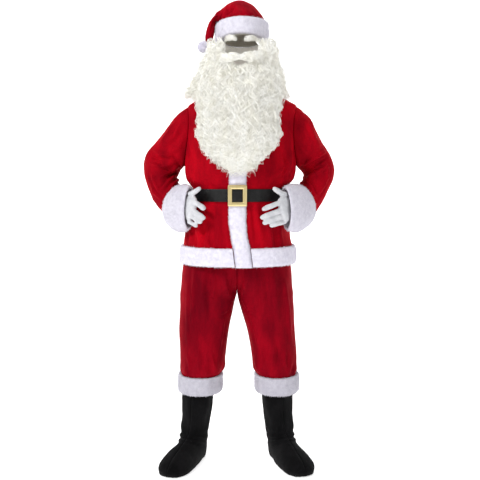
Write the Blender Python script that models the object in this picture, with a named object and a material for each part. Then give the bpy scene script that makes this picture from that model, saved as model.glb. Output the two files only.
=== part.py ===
"""Velvet costume suit with plush trims: jacket, belt, trousers, hat, wig, beard,
gloves and boot covers, all filled out as worn, with nobody inside.

Metres, +Z up. The front faces -Y and +X is the wearer's left. The tables give
heights above the floor; every piece is then lowered by ORIGIN_Z, so the origin
lies between the shoulders, where the jacket hangs."""
import bpy
import math
import numpy as np
from mathutils import Vector

# ------------------------------------------------------------ driving sizes
ORIGIN_Z = 1.427        # shoulder line above the floor
VELVET = 0.002          # wall of the red cloth
HAT_WALL = 0.0015       # wall of the hat, one lighter layer
HAT_ROUND = 16          # points round the hat and its band
FELT = 0.002            # wall of the boot covers
KNIT = 0.0014           # wall of the gloves
SEAM = 0.0004           # gap where two cut pieces meet
LIE = 0.0006            # gap under a piece that lies on another
PLUSH = 0.012           # reach of the plush trims
BELT_T = 0.0025         # belt thickness
BELT_LOW, BELT_HIGH = 1.054, 1.104
BUCKLE_W, BUCKLE_H, BUCKLE_BAR, BUCKLE_T = 0.072, 0.080, 0.016, 0.004
POMPOM_R = 0.0215
SOLE_T = 0.003
MID_Y = 0.0             # plane of the side seams
ARMHOLE_Z, ARMHOLE_HALF_Z, ARMHOLE_HALF_Y = 1.311, 0.116, 0.062
ARM_STEPS = 6           # rows down each armhole
ROUND = 2 * ARM_STEPS   # points round a sleeve, leg or boot


def table(columns, *rows):
    names = columns.split()
    return {n: [float(r[i]) for r in rows] for i, n in enumerate(names)}


# torso of the jacket: side, front and back reach, squareness, drop at the front
TORSO = table("z left right front back square drop",
    (0.812, -0.224, 0.219, -0.186, 0.140, 0.86, 0.000),
    (0.876, -0.220, 0.215, -0.185, 0.138, 0.85, 0.000),
    (0.930, -0.210, 0.202, -0.184, 0.132, 0.84, 0.000),
    (0.990, -0.194, 0.190, -0.182, 0.126, 0.84, 0.000),
    (1.054, -0.179, 0.180, -0.176, 0.120, 0.85, 0.000),
    (1.104, -0.184, 0.188, -0.176, 0.121, 0.85, 0.000),
    (1.145, -0.209, 0.222, -0.181, 0.128, 0.84, 0.000),
    (1.195, -0.213, 0.229, -0.176, 0.132, 0.82, 0.000),
    (1.250, -0.211, 0.226, -0.163, 0.132, 0.82, 0.000),
    (1.311, -0.208, 0.225, -0.145, 0.129, 0.82, 0.000),
    (1.370, -0.206, 0.228, -0.124, 0.120, 0.83, 0.000),
    (1.427, -0.199, 0.230, -0.098, 0.100, 0.86, 0.004),
    (1.450, -0.164, 0.194, -0.088, 0.090, 0.90, 0.010),
    (1.468, -0.126, 0.153, -0.080, 0.082, 0.94, 0.016),
    (1.481, -0.095, 0.118, -0.074, 0.076, 0.97, 0.022),
    (1.490, -0.078, 0.098, -0.070, 0.072, 1.00, 0.028))
HEM_TOP = 0.876

# front trim: middle, half width and reach at each height
PLACKET = table("z mid half thick",
    (0.8055, 0.0210, 0.0325, 0.015),
    (0.876, 0.0125, 0.0330, 0.014),
    (0.930, 0.0015, 0.0320, 0.012),
    (0.990, -0.0040, 0.0340, 0.011),
    (1.054, -0.0035, 0.0340, 0.007),
    (1.104, -0.0030, 0.0330, 0.007),
    (1.145, -0.0025, 0.0330, 0.011),
    (1.450, -0.0020, 0.0340, 0.010))

# sleeves: outline on the outer and inner side of the arm, middle depth, tilt, half depth, and how
# far the plush of the cuff reaches (0 above the cuff), how far the section is turned to the front; the cloth stops SLEEVE_INSIDE rows before the last
SLEEVE_INSIDE = 2
SLEEVE_RIGHT = table("ox oz ix iz cy tilt deep reach turn",
    (-0.2620, 1.368, -0.2220, 1.190, 0.012, 0.000, 0.070, 0, 0),
    (-0.3010, 1.320, -0.2270, 1.182, 0.022, 0.000, 0.071, 0, 0),
    (-0.3420, 1.278, -0.2340, 1.175, 0.032, 0.004, 0.070, 0, 0),
    (-0.3670, 1.250, -0.2420, 1.168, 0.038, 0.008, 0.068, 0, 0),
    (-0.3800, 1.214, -0.2500, 1.160, 0.040, 0.010, 0.066, 0, 0),
    (-0.3810, 1.174, -0.2510, 1.149, 0.036, 0.012, 0.064, 0, 0),
    (-0.3760, 1.138, -0.2460, 1.137, 0.028, 0.012, 0.062, 0, 0),
    (-0.3640, 1.104, -0.2400, 1.126, 0.016, 0.012, 0.060, 0, 0),
    (-0.3460, 1.068, -0.2350, 1.117, 0.004, 0.012, 0.057, 0, 0),
    (-0.3220, 1.032, -0.2320, 1.112, -0.010, 0.010, 0.053, 0, 0),
    (-0.2940, 1.000, -0.2290, 1.108, -0.025, 0.006, 0.049, 0, 0),
    (-0.2730, 0.978, -0.2310, 1.104, -0.041, 0.004, 0.046, 0.007, 0.1),
    (-0.2530, 0.960, -0.2270, 1.104, -0.060, 0.002, 0.043, 0.013, 0.3),
    (-0.2230, 0.949, -0.2090, 1.107, -0.096, 0.001, 0.039, 0.014, 0.7),
    (-0.1915, 0.956, -0.1845, 1.104, -0.133, 0.000, 0.034, 0.008, 1.0))
SLEEVE_LEFT = table("ox oz ix iz cy tilt deep reach turn",
    (0.2750, 1.384, 0.2420, 1.190, 0.012, 0.000, 0.070, 0, 0),
    (0.3020, 1.338, 0.2460, 1.182, 0.022, 0.000, 0.071, 0, 0),
    (0.3310, 1.292, 0.2500, 1.175, 0.032, 0.004, 0.070, 0, 0),
    (0.3590, 1.252, 0.2560, 1.168, 0.038, 0.008, 0.068, 0, 0),
    (0.3790, 1.213, 0.2610, 1.160, 0.040, 0.010, 0.066, 0, 0),
    (0.3880, 1.174, 0.2630, 1.150, 0.036, 0.012, 0.064, 0, 0),
    (0.3820, 1.136, 0.2580, 1.138, 0.028, 0.012, 0.062, 0, 0),
    (0.3660, 1.104, 0.2510, 1.127, 0.016, 0.012, 0.060, 0, 0),
    (0.3470, 1.072, 0.2460, 1.118, 0.004, 0.012, 0.057, 0, 0),
    (0.3250, 1.038, 0.2420, 1.113, -0.010, 0.010, 0.053, 0, 0),
    (0.3000, 1.005, 0.2390, 1.109, -0.026, 0.006, 0.049, 0, 0),
    (0.2770, 0.982, 0.2370, 1.106, -0.043, 0.004, 0.046, 0.007, 0.1),
    (0.2540, 0.962, 0.2310, 1.106, -0.064, 0.002, 0.044, 0.013, 0.3),
    (0.2200, 0.950, 0.2060, 1.108, -0.106, 0.001, 0.040, 0.014, 0.7),
    (0.1850, 0.956, 0.1760, 1.104, -0.147, 0.000, 0.034, 0.008, 1.0))

# trouser legs: middle, half width, front and back reach; a section that passes MID_X is cut off there
MID_X = -0.006
LEG_RIGHT = table("z mid half front back",
    (0.309, -0.1580, 0.0740, -0.085, 0.080),
    (0.335, -0.1560, 0.0760, -0.088, 0.082),
    (0.354, -0.1535, 0.0795, -0.094, 0.086),
    (0.375, -0.1465, 0.0875, -0.100, 0.090),
    (0.420, -0.1440, 0.0905, -0.103, 0.092),
    (0.520, -0.1395, 0.0985, -0.106, 0.096),
    (0.619, -0.1275, 0.1065, -0.115, 0.106),
    (0.668, -0.1215, 0.1115, -0.124, 0.118),
    (0.682, -0.1190, 0.1140, -0.127, 0.122),
    (0.700, -0.1130, 0.1175, -0.131, 0.127),
    (0.730, -0.0960, 0.1320, -0.138, 0.134),
    (0.780, -0.0600, 0.1640, -0.145, 0.134),
    (0.850, -0.0220, 0.1900, -0.148, 0.126),
    (0.940, -0.0070, 0.1820, -0.138, 0.112),
    (1.030, -0.0062, 0.1600, -0.130, 0.100))
LEG_LEFT = table("z mid half front back",
    (0.309, 0.1580, 0.0740, -0.085, 0.080),
    (0.335, 0.1560, 0.0760, -0.088, 0.082),
    (0.354, 0.1530, 0.0800, -0.094, 0.086),
    (0.375, 0.1470, 0.0890, -0.100, 0.090),
    (0.420, 0.1450, 0.0910, -0.103, 0.092),
    (0.520, 0.1330, 0.0955, -0.106, 0.096),
    (0.619, 0.1160, 0.1070, -0.115, 0.106),
    (0.668, 0.1080, 0.1120, -0.124, 0.118),
    (0.682, 0.1070, 0.1130, -0.127, 0.122),
    (0.700, 0.1010, 0.1160, -0.131, 0.127),
    (0.730, 0.0840, 0.1300, -0.138, 0.134),
    (0.780, 0.0480, 0.1620, -0.145, 0.134),
    (0.850, 0.0100, 0.1880, -0.148, 0.126),
    (0.940, -0.0050, 0.1820, -0.138, 0.112),
    (1.030, -0.0058, 0.1600, -0.130, 0.100))
LEG_SQUARE = 0.92
LEG_CUFF = table("z reach grow",
    (0.3535, 0.006, 0.000),
    (0.345, 0.011, 0.002),
    (0.317, 0.012, 0.001),
    (0.293, 0.011, 0.000),
    (0.282, 0.006, 0.000))

# boot covers, in the plane of the foot: back/under point, front/top point, half width
BOOT = table("bf bz tf tz half inward",
    (0.0020, 0.300, 0.1180, 0.300, 0.0600, 0.020),
    (0.0010, 0.250, 0.1180, 0.250, 0.0620, 0.016),
    (0.0040, 0.170, 0.1120, 0.172, 0.0570, 0.009),
    (0.0020, 0.112, 0.1140, 0.122, 0.0560, 0.003),
    (-0.0040, 0.070, 0.1260, 0.104, 0.0550, 0.000),
    (-0.0040, 0.034, 0.1440, 0.096, 0.0530, 0.000),
    (0.0080, -0.012, 0.1620, 0.090, 0.0530, 0.000),
    (0.0600, -0.022, 0.1850, 0.084, 0.0570, 0.000),
    (0.1200, -0.022, 0.2080, 0.077, 0.0620, 0.000),
    (0.1860, -0.022, 0.2420, 0.067, 0.0640, 0.000),
    (0.2460, -0.020, 0.2760, 0.054, 0.0590, 0.000),
    (0.2860, -0.010, 0.3020, 0.035, 0.0400, 0.000))
BOOT_TIP = (0.3110, 0.0150)
SOLE = table("f half",
    (0.008, 0.012), (0.020, 0.030), (0.060, 0.040), (0.120, 0.043), (0.186, 0.051),
    (0.238, 0.048), (0.272, 0.033), (0.289, 0.012))
BOOT_PLACE = {"right": ((-0.161, 0.057), (-0.366, -0.931)), "left": ((0.153, 0.068), (0.338, -0.941))}

# hat: outer and inner outline of the drooping cap, middle depth, half depth
HAT = table("ox oz ix iz cy deep",
    (-0.0740, 1.7300, 0.1020, 1.7300, 0.004, 0.110),
    (-0.0740, 1.7440, 0.1020, 1.7480, 0.004, 0.110),
    (-0.0740, 1.7487, 0.1000, 1.7660, 0.004, 0.109),
    (-0.0742, 1.7498, 0.0830, 1.7910, 0.004, 0.104),
    (-0.0747, 1.7511, 0.0580, 1.8160, 0.004, 0.094),
    (-0.0756, 1.7524, 0.0240, 1.8330, 0.004, 0.083),
    (-0.0766, 1.7535, -0.0120, 1.8340, 0.004, 0.074),
    (-0.0778, 1.7542, -0.0420, 1.8230, 0.003, 0.067),
    (-0.0792, 1.7548, -0.0660, 1.8050, 0.002, 0.061),
    (-0.0811, 1.7550, -0.0815, 1.7915, 0.001, 0.056),
    (-0.0833, 1.7546, -0.0920, 1.7800, 0.001, 0.051),
    (-0.0856, 1.7533, -0.1000, 1.7700, 0.000, 0.046),
    (-0.0873, 1.7510, -0.1070, 1.7605, 0.000, 0.042),
    (-0.0880, 1.7485, -0.1135, 1.7505, 0.000, 0.039),
    (-0.0890, 1.7420, -0.1190, 1.7400, -0.001, 0.036),
    (-0.0912, 1.7260, -0.1260, 1.7220, -0.002, 0.031),
    (-0.0960, 1.7050, -0.1305, 1.7000, -0.003, 0.025),
    (-0.1015, 1.6840, -0.1310, 1.6800, -0.004, 0.018))
HAT_TIP = (-0.1180, -0.005, 1.674)
ARCH = 0.015  # how far the lower edge of the hat is arched over the forehead
HAT_BAND = table("z reach", (1.677, 0.004), (1.682, 0.011), (1.700, 0.014), (1.728, 0.014), (1.746, 0.011), (1.752, 0.004))
BAND_INNER = dict(mid=0.014, half=0.0765, front=-0.1000, back=0.1050)
POMPOM_AT = (-0.1380, -0.016, 1.656)

# hair: reach to each side, front and back, and how thick the hair hangs
HAIR = table("z left right back thick",
    (1.672, -0.0600, 0.0870, 0.1020, 0.006),
    (1.662, -0.0860, 0.1240, 0.1200, 0.022),
    (1.645, -0.1020, 0.1430, 0.1290, 0.034),
    (1.625, -0.1180, 0.1500, 0.1340, 0.042),
    (1.595, -0.1400, 0.1550, 0.1390, 0.046),
    (1.550, -0.1570, 0.1760, 0.1450, 0.055),
    (1.500, -0.1830, 0.1860, 0.1520, 0.060),
    (1.462, -0.2030, 0.1950, 0.1560, 0.055))
HAIR_FRONT = -0.115
WIG_CAP = table("z half", (1.6735, 0.0660), (1.700, 0.0700), (1.730, 0.0680), (1.757, 0.0560), (1.775, 0.0360))
WIG_CAP_TOP = 1.784
BEARD = table("zmid zside left right ys front thick",
    (1.567, 1.644, -0.1000, 0.1220, -0.056, -0.128, 0.018),
    (1.533, 1.600, -0.1250, 0.1440, -0.060, -0.176, 0.034),
    (1.488, 1.545, -0.1420, 0.1600, -0.064, -0.205, 0.042),
    (1.440, 1.490, -0.1560, 0.1690, -0.078, -0.219, 0.044),
    (1.395, 1.430, -0.1620, 0.1640, -0.112, -0.226, 0.042),
    (1.350, 1.372, -0.1520, 0.1500, -0.134, -0.230, 0.038),
    (1.305, 1.318, -0.1540, 0.1580, -0.150, -0.232, 0.034),
    (1.262, 1.270, -0.1360, 0.1370, -0.174, -0.233, 0.030),
    (1.222, 1.232, -0.1040, 0.0930, -0.192, -0.235, 0.026),
    (1.192, 1.206, -0.0640, 0.0600, -0.201, -0.235, 0.022),
    (1.167, 1.184, -0.0320, 0.0330, -0.209, -0.232, 0.017))
MOUSTACHE = table("u top low front thick",
    (-0.0720, 1.613, 1.594, -0.146, 0.006), (-0.0580, 1.618, 1.584, -0.158, 0.010), (-0.0340, 1.614, 1.579, -0.172, 0.014),
    (-0.0120, 1.609, 1.585, -0.178, 0.015), (0.0060, 1.605, 1.590, -0.179, 0.015), (0.0240, 1.611, 1.584, -0.178, 0.015),
    (0.0450, 1.620, 1.580, -0.172, 0.014), (0.0690, 1.628, 1.586, -0.158, 0.010), (0.0860, 1.628, 1.597, -0.146, 0.006))
BROWS = {"eyebrow_right": ((-0.0530, -0.110, 1.6610), (-0.0310, -0.126, 1.6830), (-0.0055, -0.128, 1.6630)),
         "eyebrow_left": ((0.0745, -0.108, 1.6600), (0.0480, -0.126, 1.6800), (0.0215, -0.128, 1.6600))}

# gloves: palm sections (middle, half thickness, half height) and fingers
GLOVE = {
    "right": dict(
        palm=table("x y z thick high lean",
            (-0.2082, -0.104, 1.0388, 0.02009, 0.03895, 0.00),
            (-0.1984, -0.122, 1.0357, 0.01959, 0.04195, 0.03),
            (-0.1887, -0.141, 1.0327, 0.01859, 0.04795, 0.08),
            (-0.1792, -0.158, 1.0296, 0.01659, 0.04895, 0.14),
            (-0.1715, -0.171, 1.0271, 0.01309, 0.04395, 0.18)),
        fingers=(("thumb", (-0.1835, -0.1508, 1.0826), (-0.1614, -0.1780, 1.0928), (-0.1420, -0.2000, 1.1086), 0.0116, 0.0085),
                 ("index", (-0.1803, -0.1603, 1.0594), (-0.1502, -0.1947, 1.0499), (-0.1241, -0.2080, 1.0269), 0.0121, 0.0094),
                 ("middle", (-0.1810, -0.1576, 1.0274), (-0.1507, -0.1955, 1.0121), (-0.1246, -0.2080, 0.9914), 0.0107, 0.0094),
                 ("ring", (-0.1859, -0.1597, 1.0075), (-0.1603, -0.1928, 0.9912), (-0.1368, -0.2040, 0.9774), 0.0111, 0.0092),
                 ("little", (-0.1903, -0.1502, 0.9799), (-0.1722, -0.1774, 0.9737), (-0.1540, -0.1920, 0.9642), 0.0082, 0.0086))),
    "left": dict(
        palm=table("x y z thick high lean",
            (0.2000, -0.112, 1.0353, 0.0190, 0.0400, 0.00),
            (0.1930, -0.130, 1.0322, 0.0185, 0.0430, -0.03),
            (0.1833, -0.150, 1.0300, 0.0175, 0.0490, -0.08),
            (0.1731, -0.168, 1.0270, 0.0155, 0.0500, -0.14),
            (0.1633, -0.181, 1.0249, 0.0120, 0.0450, -0.18)),
        fingers=(("thumb", (0.1764, -0.1566, 1.0791), (0.1554, -0.1835, 1.0896), (0.1296, -0.2040, 1.1086), 0.0130, 0.0085),
                 ("index", (0.1716, -0.1678, 1.0566), (0.1351, -0.2064, 1.0472), (0.0878, -0.2140, 1.0272), 0.0111, 0.0092),
                 ("middle", (0.1744, -0.1715, 1.0278), (0.1241, -0.2080, 1.0151), (0.0819, -0.2140, 0.9951), 0.0111, 0.0092),
                 ("ring", (0.1756, -0.1685, 1.0046), (0.1281, -0.2046, 0.9917), (0.0902, -0.2120, 0.9749), 0.0111, 0.0090),
                 ("little", (0.1777, -0.1618, 0.9793), (0.1478, -0.1927, 0.9745), (0.1166, -0.2060, 0.9651), 0.0094, 0.0084))),
}


# ------------------------------------------------------------ reading tables
def smooth(xs, ys, x):
    """Monotone cubic through the points (xs, ys)."""
    if xs[0] > xs[-1]:
        xs, ys = xs[::-1], ys[::-1]
    if x <= xs[0]:
        return ys[0]
    if x >= xs[-1]:
        return ys[-1]
    n = len(xs)
    h = [xs[i + 1] - xs[i] for i in range(n - 1)]
    d = [(ys[i + 1] - ys[i]) / h[i] for i in range(n - 1)]
    m = [d[0]] + [0.0 if d[i - 1] * d[i] <= 0 else 2 * d[i - 1] * d[i] / (d[i - 1] + d[i]) for i in range(1, n - 1)] + [d[-1]]
    i = max(k for k in range(n - 1) if xs[k] <= x)
    t = (x - xs[i]) / h[i]
    return ((1 + 2 * t) * (1 - t) ** 2 * ys[i] + t * (1 - t) ** 2 * h[i] * m[i]
            + t * t * (3 - 2 * t) * ys[i + 1] + t * t * (t - 1) * h[i] * m[i + 1])


def read(tab, key, name, at):
    return smooth(tab[key], tab[name], at)


def power(v, p):
    return math.copysign(abs(v) ** p, v)


def unit(v):
    v = np.asarray(v, float)
    return v / max(float(np.linalg.norm(v)), 1e-12)


# ------------------------------------------------------------ the torso's form
def torso(z, ang):
    g = {c: read(TORSO, "z", c, z) for c in ("left", "right", "front", "back", "square", "drop")}
    c, s = math.cos(ang), math.sin(ang)
    mid, half = (g["left"] + g["right"]) / 2, (g["right"] - g["left"]) / 2
    reach = g["back"] - MID_Y if s > 0 else MID_Y - g["front"]
    return np.array([mid + half * power(c, g["square"]), MID_Y + reach * power(s, g["square"]),
                     z - g["drop"] * max(0.0, -s)])


def torso_normal(z, ang):
    e, f = 0.03, 0.004
    du = torso(z, ang + e) - torso(z, ang - e)
    lo, hi = max(z - f, TORSO["z"][0]), min(z + f, TORSO["z"][-1])
    dv = torso(hi, ang) - torso(lo, ang)
    return unit(np.cross(du, dv))


def angle_at_x(z, x):
    """Angle on the front at which the ring at z passes x."""
    left, right, sq = (read(TORSO, "z", c, z) for c in ("left", "right", "square"))
    c = power((x - (left + right) / 2) / ((right - left) / 2), 1 / sq)
    return -math.acos(max(-1.0, min(1.0, c)))


def armhole_half(z):
    t = (z - ARMHOLE_Z) / ARMHOLE_HALF_Z
    return ARMHOLE_HALF_Y * math.sqrt(max(0.0, 1 - t * t))


def edge_angle(z, front):
    """Angle from the side seam to the panel's edge; more than 0 only along the armhole."""
    y = armhole_half(z)
    reach = (MID_Y - read(TORSO, "z", "front", z)) if front else (read(TORSO, "z", "back", z) - MID_Y)
    s = (y / reach) ** (1 / read(TORSO, "z", "square", z))
    return math.asin(min(1.0, s))


ARM_Z = [ARMHOLE_Z - ARMHOLE_HALF_Z * math.cos(math.pi * i / ARM_STEPS) for i in range(ARM_STEPS + 1)]
ROWS = [0.812, 0.876, 0.930, 0.990, 1.054, 1.104, 1.145] + ARM_Z + [1.450, 1.468, 1.481, 1.490]


# ------------------------------------------------------------ mesh builders
def put(name, verts, faces, material, flat=False):
    mesh = bpy.data.meshes.new(name)
    mesh.from_pydata([(float(v[0]), float(v[1]), float(v[2]) - ORIGIN_Z) for v in verts], [], faces)
    mesh.validate()
    obj = bpy.data.objects.new(name, mesh)
    bpy.context.scene.collection.objects.link(obj)
    if not flat:
        mesh.shade_smooth()
        mesh.set_sharp_from_angle(angle=math.radians(50))
    mesh.materials.append(material)
    return obj


def quad(faces, a, b, c, d):
    faces.append((a, b, c))
    faces.append((a, c, d))


def wall(name, outer, inner, material, closed=False, cap=None):
    """A thin wall between two grids of the same size: rows of points, each row
    running round the piece. closed joins the last column to the first; cap closes
    the last row over a tip (outer point, inner point)."""
    rows, cols = len(outer), len(outer[0])
    verts = [p for row in outer for p in row] + [p for row in inner for p in row]
    n, faces = rows * cols, []
    at = lambda r, c: r * cols + c % cols
    last = cols if closed else cols - 1
    for r in range(rows - 1):
        for c in range(last):
            a, b, d, e = at(r, c), at(r, c + 1), at(r + 1, c + 1), at(r + 1, c)
            quad(faces, a, b, d, e)
            faces.extend([(n + a, n + d, n + b), (n + a, n + e, n + d)])
    for c in range(last):
        quad(faces, at(0, c + 1), at(0, c), n + at(0, c), n + at(0, c + 1))
        if cap is None:
            quad(faces, at(rows - 1, c), at(rows - 1, c + 1), n + at(rows - 1, c + 1), n + at(rows - 1, c))
    if cap is not None:
        verts += [cap[0], cap[1]]
        for c in range(last):
            faces.append((at(rows - 1, c), at(rows - 1, c + 1), 2 * n))
            faces.append((n + at(rows - 1, c + 1), n + at(rows - 1, c), 2 * n + 1))
    if not closed:
        for r in range(rows - 1):
            quad(faces, at(r, 0), at(r + 1, 0), n + at(r + 1, 0), n + at(r, 0))
            e = cols - 1
            quad(faces, r * cols + e + cols, r * cols + e, n + r * cols + e, n + r * cols + e + cols)
    return outward(put(name, verts, faces, material))


def outward(obj):
    """Turn every face out if the signed volume comes out negative."""
    mesh = obj.data
    vol = 0.0
    for p in mesh.polygons:
        v = [mesh.vertices[i].co for i in p.vertices]
        for k in range(1, len(v) - 1):
            vol += v[0].dot(v[k].cross(v[k + 1]))
    if vol < 0:
        mesh.flip_normals()
    return obj


def strip(name, sections, material, closed=False):
    """A solid swept through closed sections of equal length, capped at both ends unless closed."""
    m, n, faces = len(sections[0]), len(sections), []
    verts = [p for s in sections for p in s]
    for i in range(n if closed else n - 1):
        a, b = i * m, ((i + 1) % n) * m
        for k in range(m):
            quad(faces, a + k, a + (k + 1) % m, b + (k + 1) % m, b + k)
    if not closed:
        for k in range(1, m - 1):
            faces.append((0, k + 1, k))
            faces.append(((n - 1) * m, (n - 1) * m + k, (n - 1) * m + k + 1))
    return outward(put(name, verts, faces, material))


def material(name, colour, rough, metal=0.0, sheen=0.0):
    m = bpy.data.materials.new(name)
    m.use_nodes = True
    b = m.node_tree.nodes["Principled BSDF"]
    b.inputs["Base Color"].default_value = (*colour, 1.0)
    b.inputs["Roughness"].default_value = rough
    b.inputs["Metallic"].default_value = metal
    b.inputs["Sheen Weight"].default_value = sheen
    m.diffuse_color = (*colour, 1.0)
    return m


# ------------------------------------------------------------ jacket
def placket_x(z, side):
    """Edge of the front trim on one side."""
    return read(PLACKET, "z", "mid", z) + side * read(PLACKET, "z", "half", z)


def front_angles(z, side, steps=5):
    """Angles from the centre front to the side: the trim's edge first, then even steps."""
    a_pl = angle_at_x(z, placket_x(z, side))
    end = -edge_angle(z, True) if side > 0 else -math.pi + edge_angle(z, True)
    return [a_pl + (end - a_pl) * i / steps for i in range(steps + 1)]


def back_angles(z, steps=10):
    e = edge_angle(z, False)
    return [e + (math.pi - 2 * e) * i / steps for i in range(steps + 1)]


def jacket_front(name, side, mat):
    outer, inner = [], []
    for z in ROWS:
        mid = read(PLACKET, "z", "mid", z) + side * SEAM / 2
        angs = [angle_at_x(z, mid)] + front_angles(z, side)
        pts = [torso(z, a) for a in angs]
        nrm = [torso_normal(z, a) for a in angs]
        if armhole_half(z) == 0.0 or z in (ARM_Z[0], ARM_Z[-1]):
            pts[-1] = pts[-1] + np.array([0, -SEAM / 2, 0])
        outer.append(pts)
        inner.append([p - VELVET * n for p, n in zip(pts, nrm)])
    return wall(name, outer, inner, mat)


def jacket_back(mat):
    outer, inner = [], []
    for z in ROWS:
        angs = back_angles(z)
        pts = [torso(z, a) for a in angs]
        nrm = [torso_normal(z, a) for a in angs]
        if armhole_half(z) == 0.0 or z in (ARM_Z[0], ARM_Z[-1]):
            for k in (0, -1):
                pts[k] = pts[k] + np.array([0, SEAM / 2, 0])
        outer.append(pts)
        inner.append([p - VELVET * n for p, n in zip(pts, nrm)])
    return wall("jacket_back", outer, inner, mat)


def armhole_ring(side):
    """Points round the armhole from the top, down the front and up the back."""
    out = []
    for k in range(ROUND):
        i = ARM_STEPS - k if k <= ARM_STEPS else k - ARM_STEPS
        z, front = ARM_Z[i], k <= ARM_STEPS
        e = edge_angle(z, front)
        a = -e if front else e
        out.append(torso(z, a if side > 0 else math.pi - a))
    return out


def rings(tab, start=None, count=ROUND):
    """Frames (middle, first axis, second axis) of each section of a table of outlines."""
    mids, firsts = [], []
    for i in range(len(tab["ox"])):
        tilt = tab["tilt"][i] if "tilt" in tab else 0.0
        o = np.array([tab["ox"][i], tab["cy"][i] + tilt, tab["oz"][i]])
        q = np.array([tab["ix"][i], tab["cy"][i] - tilt, tab["iz"][i]])
        mids.append((o + q) / 2)
        firsts.append((o - q) / 2)
    frames, last = [], np.array([0.0, -1.0, 0.0])
    for i, (m, a) in enumerate(zip(mids, firsts)):
        lo, hi = mids[max(i - 1, 0)], mids[min(i + 1, len(mids) - 1)]
        if start is not None and i == 0:
            lo = start
        b = unit(np.cross(unit(hi - lo), unit(a)))
        if float(np.dot(b, last)) < 0:
            b = -b
        if "turn" in tab:
            b = unit(b * (1 - tab["turn"][i]) + tab["turn"][i] * unit([0.47 * np.sign(m[0]), -0.88, 0.0]))
        last = b
        frames.append((m, a, b * tab["deep"][i]))
    return frames


def ring_points(frame, grow=0.0, count=ROUND, square=1.0):
    m, a, b = frame
    la, lb = float(np.linalg.norm(a)), float(np.linalg.norm(b))
    out = []
    for k in range(count):
        t = 2 * math.pi * k / count
        out.append(m + unit(a) * (la + grow) * power(math.cos(t), square) + unit(b) * (lb + grow) * power(math.sin(t), square))
    return out


def grid_normals(grid, closed=False):
    """Unit normals of a grid of points, from its neighbours along each row and column."""
    g = np.array(grid)
    along = np.gradient(g, axis=0)
    if closed:
        round_ = (np.roll(g, -1, axis=1) - np.roll(g, 1, axis=1)) / 2
    else:
        round_ = np.gradient(g, axis=1)
    n = np.cross(along, round_)
    return n / np.maximum(np.linalg.norm(n, axis=2, keepdims=True), 1e-12)


def offset(grid, by, middle, closed=False):
    """The grid moved along its normals, towards the middle line of its rows when by is negative."""
    n = grid_normals(grid, closed)
    g = np.array(grid)
    mid = np.array(middle)[:, None, :]
    sign = np.sign(((g - mid) * n).sum(axis=2).sum())
    return [list(row) for row in g + n * sign * by]


def sleeve(name, side, tab, mat):
    hole = armhole_ring(side)
    mid = sum(hole) / len(hole)
    first = []
    for p in hole:
        inward = unit((mid - p) * np.array([0.2, 1, 1]))
        first.append(p + inward * SEAM + np.array([side * SEAM, 0, 0]))
    first_in = [p + unit((mid - p) * np.array([0.1, 1, 1])) * VELVET for p in first]
    frames = rings(tab, start=mid)[:-SLEEVE_INSIDE]
    outer = [first] + [ring_points(f) for f in frames]
    inner = offset(outer, -VELVET, [mid] + [f[0] for f in frames], closed=True)
    inner[0] = first_in
    return wall(name, outer, inner, mat, closed=True)


def cuff(name, tab, mat):
    """Plush tube round the end of a sleeve, on past the end of the cloth."""
    frames = rings(tab)
    rows = [(f, r) for f, r in zip(frames, tab["reach"]) if r > 0]
    outer = [ring_points(f, LIE + r) for f, r in rows]
    inner = [ring_points(f, LIE) for f, r in rows]
    return wall(name, outer, inner, mat, closed=True)


def hem_band(mat):
    """From one edge of the front trim round the back to the other."""
    z0, z1 = ROWS[0], ROWS[1]
    profile = ((0.0, LIE), (1.0, LIE), (1.0, 0.008), (0.93, 0.012), (0.5, 0.0135), (0.08, 0.012), (-0.05, 0.007), (-0.05, LIE))
    cols = []
    for i in range(6):
        cols.append([front_angles(z, 1)[i] for z in (z0, z1)])
    for i in range(1, 11):
        cols.append([back_angles(z)[i] for z in (z0, z1)])
    for i in range(4, -1, -1):
        cols.append([2 * math.pi + front_angles(z, -1)[i] for z in (z0, z1)])
    sections = []
    for j, (a0, a1) in enumerate(cols):
        p0, p1 = torso(z0, a0), torso(z1, a1)
        n0, n1 = torso_normal(z0, a0), torso_normal(z1, a1)
        push = np.array([0.0, 0.0, 0.0])
        if j in (0, len(cols) - 1):
            push[0] = (1 if j == 0 else -1) * 0.0012
        sections.append([p0 + (p1 - p0) * t + (n0 + (n1 - n0) * t) * out + push for t, out in profile])
    return strip("hem_band", sections, mat)


def placket(mat):
    """The front trim, on the front edges from the neckline to just past the hem."""
    zs = [z for z in ROWS if z <= 1.43]
    sections = []
    for k, z in enumerate([zs[0]] + zs):
        low = k == 0
        t = read(PLACKET, "z", "thick", z)
        angs = [angle_at_x(z, placket_x(z, -1)), angle_at_x(z, read(PLACKET, "z", "mid", z)), angle_at_x(z, placket_x(z, 1))]
        pts = [torso(z, a) for a in angs]
        nrm = [torso_normal(z, a) for a in angs]
        drop = np.array([0, 0, -0.0065 if low else 0.0])
        base = [p + n * (LIE + 0.0003) + drop for p, n in zip(pts, nrm)]
        top = [p + n * (LIE + (t if i == 1 else t * 0.82)) + drop for i, (p, n) in enumerate(zip(pts, nrm))]
        side = 0.0008
        sections.append([base[0] + [side, 0, 0], base[1], base[2] - [side, 0, 0],
                         top[2] - [side, 0, 0], top[1], top[0] + [side, 0, 0]])
    return strip("placket", sections, mat)


# ------------------------------------------------------------ belt and buckle
def belt_lift(x, z):
    """Height of the belt's back over the jacket: over the front trim it rides higher."""
    if placket_x(z, -1) - 0.001 <= x <= placket_x(z, 1) + 0.001:
        return LIE + read(PLACKET, "z", "thick", z) + LIE
    return LIE


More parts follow.
